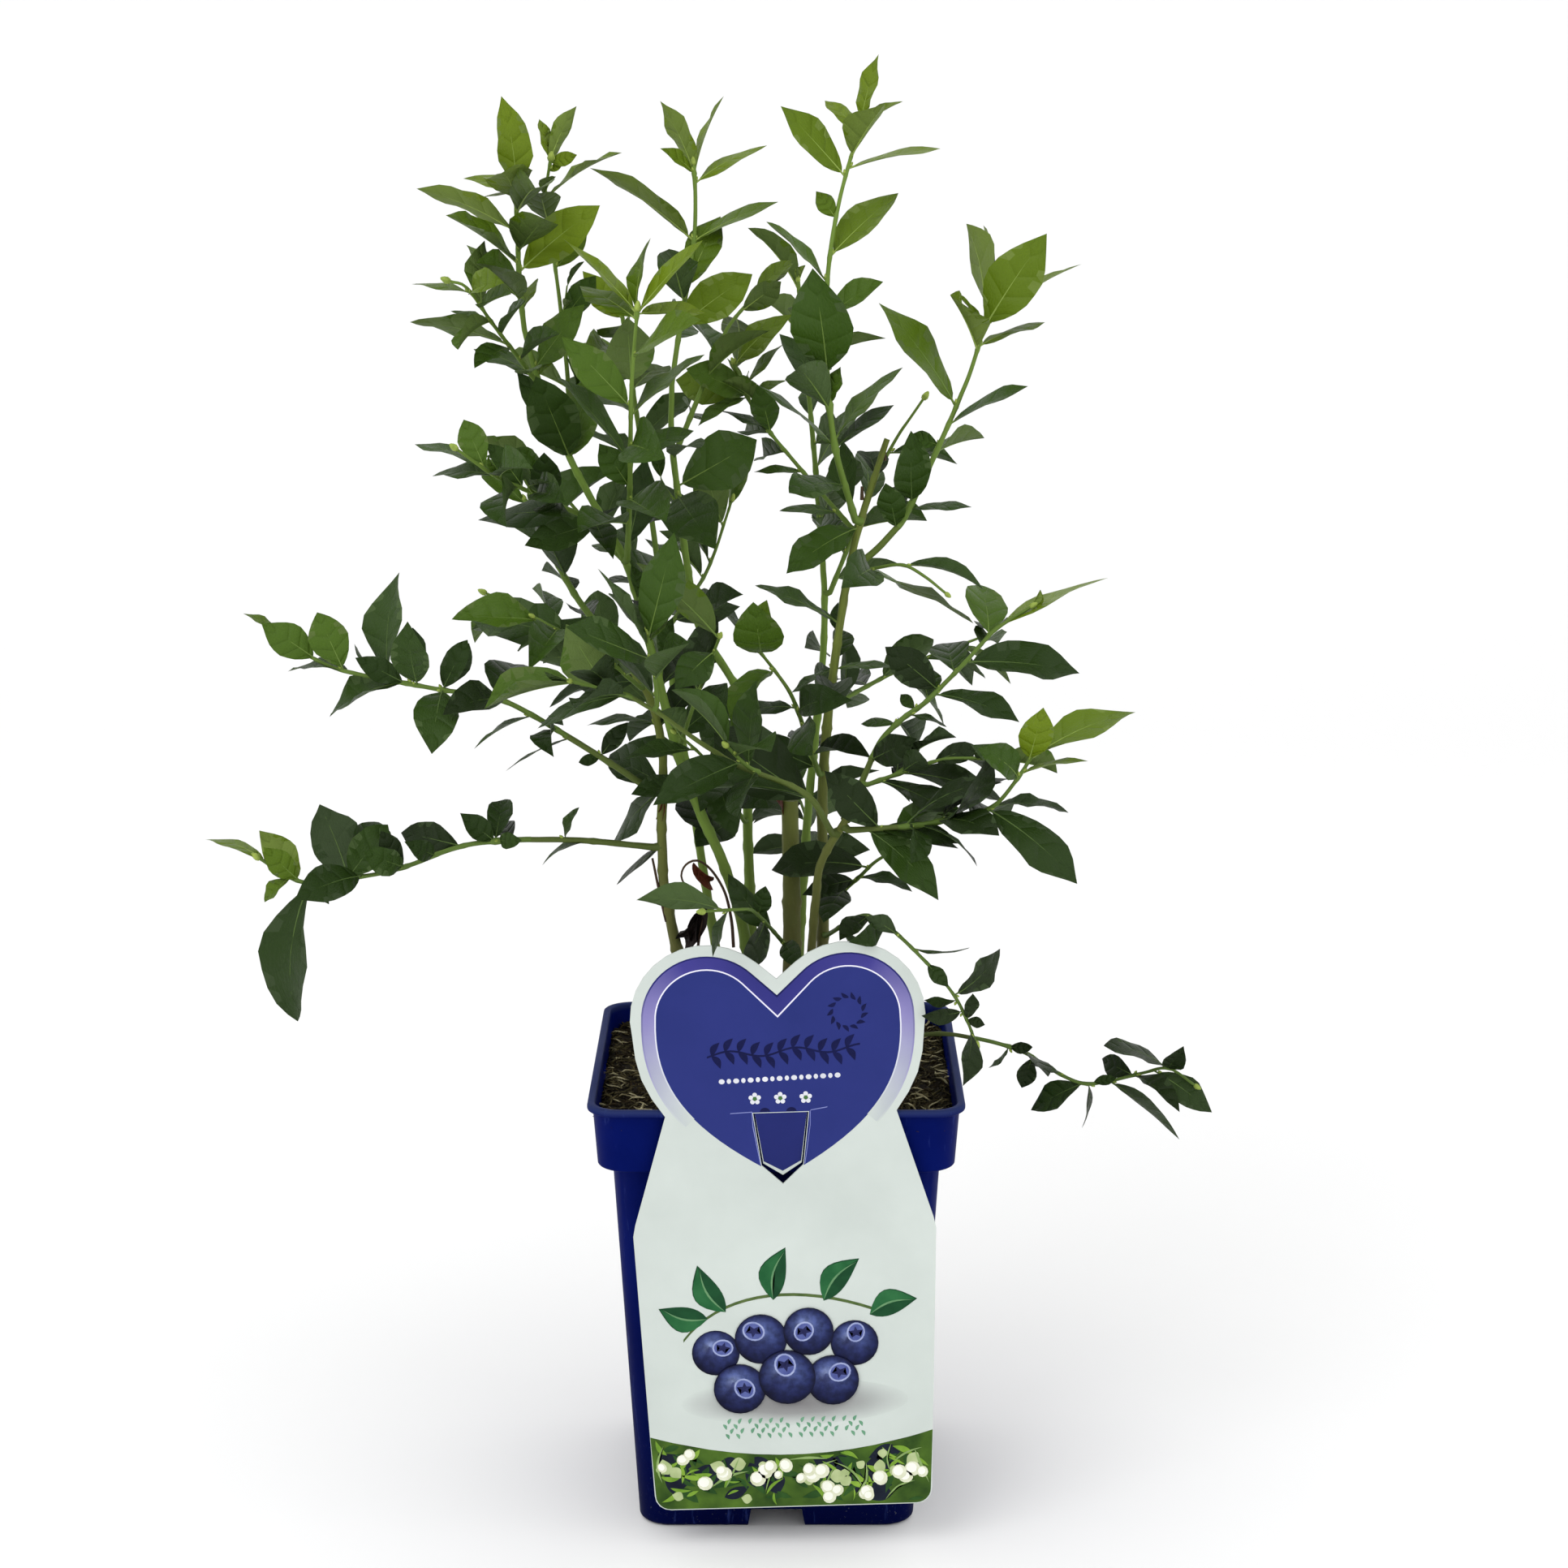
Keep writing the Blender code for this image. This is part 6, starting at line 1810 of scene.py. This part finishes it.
def heartSide(grow, lobeSteps=22, sideSteps=20):
    # The right half of the printed heart from its notch to its tip, grown outwards by so much.
    look = cardLook
    radius = look["lineRadius"] + grow
    arc = []
    for i in range(lobeSteps + 1):
        angle = (135 - 135 * i / lobeSteps) * degree
        arc.append((look["lobe"][0] + radius * math.cos(angle), look["lobe"][1] + radius * math.sin(angle)))
    side = bezier((arc[-1], (54.2 + grow, 219 - 0.3 * grow), (43 + 0.8 * grow, 198 - 0.7 * grow),
                   (0, look["tip"] - 1.15 * grow)), sideSteps)
    return [(0, look["lineNotch"] + look["notchGrow"] * grow)] + arc + side


def mirrored(line):
    return [(-x, z) for x, z in line]


def heartOutline(grow):
    side = heartSide(grow)
    return side + mirrored(side[1:-1])[::-1]


def windowCutter():
    look = cardLook
    outline = [(-look["windowHalf"], look["windowTop"]), (look["windowHalf"], look["windowTop"]),
               (look["windowLowHalf"], look["windowLow"]), (0, look["windowPoint"]),
               (-look["windowLowHalf"], look["windowLow"])]
    return slab("window", *[[onCard(x, z, layer) for x, z in outline] for layer in (30, -60)])


def turnedSpot(x, z, a, b, turn):
    c, s = math.cos(turn * degree), math.sin(turn * degree)
    return x + a * c - b * s, z + a * s + b * c


def disc(x, z, wide, tall, turn=0, count=24, start=0, end=360):
    points = []
    for i in range(count):
        angle = (start + (end - start) * i / (count if end - start == 360 else count - 1)) * degree
        points.append(turnedSpot(x, z, wide * math.cos(angle), tall * math.sin(angle), turn))
    return points


def leafOutline(x, z, length, width, turn, bend=0.12, steps=9, part=2):
    # A drawn leaf from its foot at x, z, pointing along the turn, or one half of it.
    points = []
    for side in (1, -1):
        run = range(steps + 1) if side == 1 else range(steps - 1, 0, -1)
        for i in run:
            t = i / steps
            half = (side if side == 1 or part == 2 else 0) * width / 2
            b = half * math.sin(math.pi * t ** 0.85) + bend * length * math.sin(math.pi * t)
            points.append(turnedSpot(x, z, length * t, b, turn))
    return points


def buildCard():
    look = cardLook
    card = frame["nodes"]["picture_card"]
    stock = tone(197, 205, 200)
    card.data.materials.clear()
    stockInk = printed("cardStock", (193, 201, 196), (201, 209, 204), 30.0, (0.4, 0.5))
    card.data.materials.append(stockInk)
    violet = printed("heartViolet", (34, 44, 110), (40, 49, 119), 24.0)
    plate("cardHeart", heartOutline(0), 1, violet, windowCutter())
    deep, mid, lavender = tone(50, 50, 124), tone(66, 62, 140), tone(142, 136, 188)
    glow = faded("heartGlow", ((0.0, deep), (0.34, mid), (0.66, lavender), (1.0, stock)),
                 ((0.0, white), (1.0, (0.9, 0.9, 0.95, 1))))
    even = ((0.0, white), (1.0, white))
    line = faded("heartLine", ((0.0, tone(226, 224, 242)), (0.6, tone(232, 232, 246)),
                               (0.88, tone(200, 205, 215)), (1.0, stock)), even)
    contour = faded("heartContour", ((0.0, tone(24, 26, 84)), (0.5, tone(40, 40, 110)),
                                     (0.8, tone(150, 146, 190)), (1.0, stock)), even)
    for name, flip in (("Right", False), ("Left", True)):
        lines = [heartSide(grow)[:look["kept"]] for grow in
                 (0.0, look["bandWidth"], look["bandWidth"] + look["contour"], -look["lineWidth"] / 2,
                  look["lineWidth"] / 2)]
        if flip:
            lines = [mirrored(one) for one in lines]
        strip("heartGlow" + name, lines[0], lines[1], 1, glow)
        strip("heartContour" + name, lines[1], lines[2], 1, contour)
        strip("heartLine" + name, lines[3], lines[4], 2, line)
    buildFlap(stockInk)
    buildMotifs()
    buildSprig(stock)
    buildBand()


flapLook = {"topHalf": 11.3, "top": 204.0, "lowHalf": 8.2, "low": 181.4, "point": 174.8, "front": 83.35,
            "sink": 2.1, "thick": 0.2, "border": 1.9}


def onFlap(x, z, height):
    # A place on the card's tongue, which leans back from its top towards its point.
    look = flapLook
    sink = look["sink"] * (look["top"] - z) / (look["top"] - look["point"])
    return cardPlace @ (Vector((x, -look["front"] + sink - height, z)) * mm)


def flapPlate(name, outline, low, high, surface):
    near, far = [[onFlap(x, z, height) for x, z in outline] for height in (high, low)]
    place(slab(name, near, far, surface))


def buildFlap(stockInk):
    # The card's own tongue behind its window, with the heart's tip and the white edge below it.
    look = flapLook
    # Painted shade: the tongue's print is a darker copy of the heart's violet, for the shade behind the
    # window.
    violet = printed("flapVioletInShade", (26, 34, 96), (31, 39, 106), 30.0)

    def outline(grow, drop):
        return [(-look["topHalf"], look["top"]), (look["topHalf"], look["top"]),
                (look["lowHalf"] + grow, look["low"] - drop / 2), (0, look["point"] + look["border"] - drop),
                (-look["lowHalf"] - grow, look["low"] - drop / 2)]

    flapPlate("cardFlap", outline(0.15, look["border"]), 0, look["thick"], stockInk)
    flapPlate("flapPrint", outline(-0.1, 0), look["thick"] / 2, look["thick"] + 0.03, violet)
    pale = printed("slitEdge", (112, 120, 178), (134, 142, 196), 90.0)
    dark = printed("notchShade", (8, 12, 58), (14, 18, 70), 90.0)
    for name, points in (("Left", ((-22, 204.2), (-12.6, 204.6), (-12.4, 198), (-9.6, 180.6))),
                         ("Right", ((20, 206), (12.6, 204.8), (12.4, 198), (9.6, 180.6)))):
        outer = [(x + 0.3, z + 0.2) for x, z in points]
        strip("slit" + name, [(x, z - 0.2) for x, z in points], outer, 2, pale)
    # Painted shade: two dark half discs on the tongue's fold stand for the shade seen in its notches.
    for name, x in (("Left", -6.8), ("Right", 4.6)):
        plate("notch" + name, disc(x, 204.6, 2.2, 1.8, 0, 14, 0, 180), 2, dark)


motifLook = {"garland": 231.5, "half": 29, "leaves": 11, "leaf": (7.0, 2.9), "sway": 1.5, "dotRow": 219.5,
             "dots": 17, "dotHalf": 25, "blossomRow": 210.6, "blossoms": (-11, 0, 11), "petal": 1.05,
             "wreath": (30, 248.5), "wreathRadius": 6.4, "wreathLeaves": 13}


def buildMotifs():
    # Plain ornament on the heart: a leafy garland, a row of dots, three blossoms and a small wreath.
    look = motifLook
    dark, pale, green = newBuild(), newBuild(), newBuild()

    def heightAt(x):
        return look["garland"] + look["sway"] * math.sin(x * 0.22) + x * 0.03

    for i in range(look["leaves"]):
        x = look["half"] * (2 * i / (look["leaves"] - 1) - 1)
        for side in (1, -1):
            addPatch(dark, leafOutline(x, heightAt(x), *look["leaf"], 58 * side), 3 + i % 2)
    line = [(x * 0.5, heightAt(x * 0.5)) for x in range(-2 * look["half"] - 4, 2 * look["half"] + 14, 4)]
    darkInk = printed("motifDark", (7, 12, 58), (12, 18, 70), 120.0)
    strip("garlandStem", [(x, z - 0.45) for x, z in line], [(x, z + 0.45) for x, z in line], 2, darkInk)
    for i in range(look["dots"]):
        x = look["dotHalf"] * (2 * i / (look["dots"] - 1) - 1)
        addPatch(pale, disc(x, look["dotRow"] + x * 0.03, 0.95 if i % 2 else 1.3, 1.15, 0, 10), 3)
    for x in look["blossoms"]:
        for k in range(5):
            angle = (90 + 72 * k) * degree
            addPatch(pale, disc(x + 1.75 * math.cos(angle), look["blossomRow"] + 1.75 * math.sin(angle),
                                look["petal"], look["petal"], 0, 9), 3 + k % 2)
        addPatch(green, disc(x, look["blossomRow"], 0.95, 0.95, 0, 9), 6)
    for k in range(look["wreathLeaves"]):
        turn = 360 * k / look["wreathLeaves"]
        x = look["wreath"][0] + look["wreathRadius"] * math.cos(turn * degree)
        z = look["wreath"][1] + look["wreathRadius"] * math.sin(turn * degree)
        addPatch(dark, leafOutline(x, z, 4.0, 1.7, turn + 62), 3 + k % 2)
    paleInk = printed("motifPale", (204, 206, 216), (222, 224, 230), 120.0)
    greenInk = printed("motifGreen", (56, 96, 52), (72, 116, 62), 120.0)
    for name, build, ink in (("motifLeaves", dark, darkInk), ("motifDots", pale, paleInk),
                             ("motifHearts", green, greenInk)):
        placePrint(name, build, ink)


sprigLook = {"leaves": ((-35, 110, 22, 12, 166), (-27, 113, 25, 12, 118), (-6, 118, 25, 12, 76),
                        (16, 117, 25, 12, 50), (36, 110, 22, 12, 18)),
             "berries": ((-32, 94, 10.5), (29, 97, 10.5), (-12, 100, 11.5), (9, 103, 11), (-22, 77, 11.5),
                         (19, 80, 11.5), (-1, 82, 12.5)),
             "rows": (60.2, 55.6), "rowHalf": 30, "rowLeaves": 27, "rowGap": 9}


def buildSprig(stock):
    # A plain berry sprig: a bent twig with drawn leaves above it and berries hung below.
    look = sprigLook
    leafInk = printed("sprigLeaf", (14, 58, 32), (24, 74, 42), 120.0)
    lightInk = printed("sprigLeafLight", (26, 84, 46), (44, 104, 60), 120.0)
    ribInk = printed("sprigRib", (84, 128, 88), (104, 146, 102), 180.0)
    stemInk = printed("sprigStem", (62, 84, 44), (88, 108, 58), 180.0)
    bloom = faded("berryBloom", ((0.0, tone(216, 220, 232)), (0.3, white), (0.62, tone(120, 120, 150)),
                                 (0.85, tone(150, 152, 180)), (1.0, tone(216, 220, 232))),
                  ((0.0, tone(142, 156, 200)), (0.45, tone(88, 102, 158)), (0.84, tone(46, 55, 106)),
                   (1.0, tone(20, 23, 54))), 0.5, 330.0)
    rimInk = printed("berryRim", (128, 138, 184), (164, 174, 210), 300.0)
    cupInk = printed("berryCup", (66, 76, 136), (88, 98, 156), 260.0)
    starInk = printed("berryStar", (26, 28, 68), (40, 44, 90), 300.0)
    shade = faded("sprigShade", ((0.0, stock), (1.0, stock)),
                  ((0.0, tone(160, 152, 158)), (0.45, tone(190, 184, 188)), (0.8, tone(236, 234, 236)),
                   (1.0, white)))
    strip("sprigShade", [(2, 69)] * 41, disc(2, 70, 50, 11, 0, 40) + [(52, 70)], 1, shade)
    stem = [(-46, 100)] + bezier(((-46, 100), (-28, 124), (8, 126), (44, 110)), 18)
    strip("sprigStem", [(x, z - 0.7) for x, z in stem], [(x, z + 0.7) for x, z in stem], 2, stemInk)
    for i, (x, z, length, width, turn) in enumerate(look["leaves"]):
        plate(f"sprigLeaf{i}", leafOutline(x, z, length, width, turn), 3, leafInk)
        plate(f"sprigHalf{i}", leafOutline(x, z, length * 0.97, width * 0.96, turn, part=1), 4, lightInk)
        plate(f"sprigRib{i}", leafOutline(x, z, length * 0.92, 0.9, turn), 5, ribInk)
    for i, (x, z, radius) in enumerate(look["berries"]):
        drawBerry(i, x, z, radius, (bloom, rimInk, cupInk, starInk))
    small = newBuild()
    for row, height in enumerate(look["rows"]):
        for i in range(look["rowLeaves"]):
            x = look["rowHalf"] * (2 * i / (look["rowLeaves"] - 1) - 1) + row
            if i % look["rowGap"] != look["rowGap"] // 2:
                addPatch(small, leafOutline(x, height, 3.0, 1.4, 62 if i % 2 else -62), 2 + i % 2)
    rowInk = printed("rowInk", (92, 142, 112), (116, 162, 132), 200.0)
    placePrint("smallRows", small, rowInk)


berryLook = {"points": 28, "firstLevel": 6, "levels": 6, "glint": (-0.25, 0.3), "turnEach": 77,
             "cupOut": (0.3, 0.26), "cupUp": 0.22, "cupPoints": 18, "rim": (0.44, 0.38), "cup": (0.37, 0.31),
             "starReach": (0.31, 0.13), "starPoints": 10, "starTurn": 23, "starFlat": 0.85}


def drawBerry(number, x, z, radius, inks):
    # A shaded ball with a pale-rimmed cup, turned another way on each berry.
    look = berryLook
    level = look["firstLevel"] + look["levels"] * number
    edge = disc(x, z, radius, radius, 0, look["points"])
    glint = (x + radius * look["glint"][0], z + radius * look["glint"][1])
    strip(f"berry{number}", [glint] * (look["points"] + 1), edge + edge[:1], level, inks[0])
    turn = number * look["turnEach"]
    across, upward = look["cupOut"]
    cup = (x + radius * across * math.cos(turn * degree),
           z + radius * look["cupUp"] + radius * upward * math.sin(turn * degree))
    for layer, part in enumerate(("rim", "cup"), 1):
        ring = disc(*cup, radius * look[part][0], radius * look[part][1], turn, look["cupPoints"])
        plate(f"berry{part.title()}{number}", ring, level + layer, inks[layer])
    star = []
    for i in range(look["starPoints"]):
        reach = radius * look["starReach"][i % 2]
        angle = (i * 360 / look["starPoints"] + number * look["starTurn"]) * degree
        star.append((cup[0] + reach * math.cos(angle), cup[1] + reach * math.sin(angle) * look["starFlat"]))
    plate(f"berryStar{number}", star, level + 3, inks[3])


bandLook = {"low": 20.4, "lowHalf": 61.0, "corner": 6.6, "sideHalf": 62.4, "sideTop": 55, "middleTop": 45,
            "seed": 4, "reach": 58, "facesEach": 54, "rimRoom": 1.6}
bandInks = (
    {"name": "bandShadow", "dark": (12, 18, 34), "light": (26, 34, 48), "count": 26, "length": (9, 17),
     "slim": (0.4, 0.75), "level": 2},
    {"name": "bandDeep", "dark": (26, 58, 22), "light": (48, 84, 34), "count": 40, "length": (7, 15),
     "slim": (0.18, 0.4), "level": 4},
    {"name": "bandFresh", "dark": (92, 132, 38), "light": (136, 172, 62), "count": 40, "length": (5, 12),
     "slim": (0.1, 0.3), "level": 6},
    {"name": "bandHaze", "dark": (150, 168, 112), "light": (186, 198, 150), "count": 18, "length": (4, 8),
     "slim": (0.7, 1.0), "level": 8},
    {"name": "bandStem", "dark": (112, 142, 78), "light": (146, 172, 108), "count": 16, "length": (12, 20),
     "slim": (0.05, 0.08), "level": 9},
)
bellLook = {"clusters": 13, "perCluster": (1, 4), "size": (2.0, 3.7), "spread": 6.5}


def bandOutline():
    look = bandLook
    corner = look["corner"]
    foot = [(look["lowHalf"] - corner + corner * math.cos(a * degree),
             look["low"] + corner + corner * math.sin(a * degree)) for a in range(0, -91, -15)]
    top = []
    for i in range(25):
        x = -look["sideHalf"] + 2 * look["sideHalf"] * i / 24
        top.append((x, bandTop(x)))
    return foot + mirrored(foot)[::-1] + top


def bandTop(x):
    look = bandLook
    return look["middleTop"] + (look["sideTop"] - look["middleTop"]) * (x / look["sideHalf"]) ** 2


def insideBand(outline, slack=0.5):
    side = bandLook["sideHalf"] - bandLook["rimRoom"]
    return all(bandLook["low"] + slack < z < bandTop(x) - slack and abs(x) < side
               and abs(x) + (bandLook["low"] + 4 - z) < side - 1 for x, z in outline)


def buildBand():
    # Leafy blades, thin stems and pale bells, strewn by chance within the band.
    look = bandLook
    ground = printed("bandGreen", (30, 56, 18), (80, 112, 36), 60.0)
    plate("cardBand", bandOutline(), 1, ground)
    dice = random.Random(look["seed"])
    for ink in bandInks:
        build = newBuild()
        for i in range(ink["count"] * 3):
            x = dice.uniform(-look["reach"], look["reach"])
            z = dice.uniform(look["low"] + 2, bandTop(look["reach"]) - 2)
            length = dice.uniform(*ink["length"])
            outline = leafOutline(x, z, length, length * dice.uniform(*ink["slim"]), dice.uniform(0, 360),
                                  dice.uniform(-0.15, 0.15))
            if insideBand(outline) and len(build["faces"]) < ink["count"] * look["facesEach"]:
                addPatch(build, outline, ink["level"] + i % 2)
        surface = printed(ink["name"], ink["dark"], ink["light"], 120.0)
        placePrint(ink["name"], build, surface)
    petals = printed("bandPetal", (198, 202, 168), (226, 228, 206), 160.0)
    glints = printed("bandGlint", (232, 234, 220), (244, 245, 236), 120.0)
    bells, shine = newBuild(), newBuild()
    for cluster in range(bellLook["clusters"]):
        middle = (-56 + 112 * (cluster + dice.uniform(0.1, 0.9)) / bellLook["clusters"],
                  dice.uniform(look["low"] + 5, look["middleTop"] - 2))
        for i in range(dice.randint(*bellLook["perCluster"])):
            x = middle[0] + dice.uniform(-1, 1) * bellLook["spread"]
            z = middle[1] + dice.uniform(-1, 1) * bellLook["spread"] * 0.7
            size = dice.uniform(*bellLook["size"])
            tall, turn = dice.uniform(0.85, 1.2), dice.uniform(0, 90)
            outline = disc(x, z, size, size * tall, turn, 12)
            if insideBand(outline):
                addPatch(bells, outline, 11 + 3 * i)
                small = size * 0.68
                addPatch(shine, disc(x - size * 0.15, z + size * 0.15, small, small * tall, turn, 10),
                         12 + 3 * i)
    placePrint("bandBells", bells, petals)
    placePrint("bandShine", shine, glints)


def addPatch(build, outline, layer):
    # One flat closed patch of print, fanned from its middle.
    start = len(build["places"])
    count = len(outline)
    middle = Vector((sum(x for x, z in outline) / count, sum(z for x, z in outline) / count))
    build["places"] += [onCard(x, z, layer) for x, z in outline] + [onCard(x, z, 0) for x, z in outline]
    build["places"] += [onCard(*middle, layer), onCard(*middle, 0)]
    for i in range(count):
        a, b = start + (i - 1) % count, start + i
        addFace(build, (a, b, start + 2 * count), [(0, 0)] * 3, 0)
        addFace(build, (b + count, a + count, start + 2 * count + 1), [(0, 0)] * 3, 0)
        addFace(build, (b, a, a + count, b + count), [(0, 0)] * 4, 0)
    build["sharp"] |= set(range(start, start + 2 * count))


buildCard()
print("card ready")


# Floor, light and camera

studio = {"half": 5.0, "front": -4.0, "bend": 1.6, "radius": 1.5, "wall": 5.0,
          "floorTone": (0.93, 0.93, 0.93, 1),
          "world": (1, 1, 1, 1), "worldStrength": 1.02, "keyPower": 16.0, "keySize": 1.4,
          "keyPlace": (-1.1, -1.5, 2.1), "fillPower": 6.0, "fillSize": 2.0, "fillPlace": (1.6, -1.2, 1.0)}


def buildStudio():
    # A pale floor that bends up into a wall behind, so that no horizon shows.
    profile = [(studio["front"], 0)]
    profile += [(studio["bend"] + studio["radius"] * math.sin(a * degree),
                 studio["radius"] * (1 - math.cos(a * degree))) for a in range(0, 91, 6)]
    profile.append((studio["bend"] + studio["radius"], studio["wall"]))
    places = [(x, y, z) for x in (-studio["half"], studio["half"]) for y, z in profile]
    count = len(profile)
    mesh = bpy.data.meshes.new("floor")
    mesh.from_pydata(places, [], [(i, count + i, count + i + 1, i + 1) for i in range(count - 1)])
    mesh.shade_smooth()
    surface, tree, shader = newMaterial("paleFloor", {"Base Color": studio["floorTone"], "Roughness": 0.9,
                                                      "Specular IOR Level": 0.0})
    newObject("floor", mesh, surface)
    world = bpy.data.worlds.new("studio")
    bpy.context.scene.world = world
    world.use_nodes = True
    backdrop = world.node_tree.nodes["Background"]
    backdrop.inputs["Color"].default_value = studio["world"]
    backdrop.inputs["Strength"].default_value = studio["worldStrength"]
    for name in ("key", "fill"):
        lamp = bpy.data.lights.new(name, "AREA")
        lamp.energy = studio[name + "Power"]
        lamp.size = studio[name + "Size"]
        obj = newObject(name, lamp)
        obj.location = studio[name + "Place"]
        aim = Vector((0, 0, 0.35)) - obj.location
        obj.rotation_euler = aim.to_track_quat("-Z", "Y").to_euler()
    bpy.context.scene.view_settings.view_transform = "Standard"


def buildCamera():
    lens = bpy.data.cameras.new("camera")
    lens.sensor_width = 36
    lens.lens = view["focal"] / view["pixels"] * 36
    lens.clip_start = 0.01
    camera = newObject("camera", lens)
    camera.location = view["place"]
    camera.rotation_euler = (math.pi / 2 - view["pitch"], 0, 0)
    bpy.context.scene.camera = camera


buildStudio()
buildCamera()
print("studio ready")
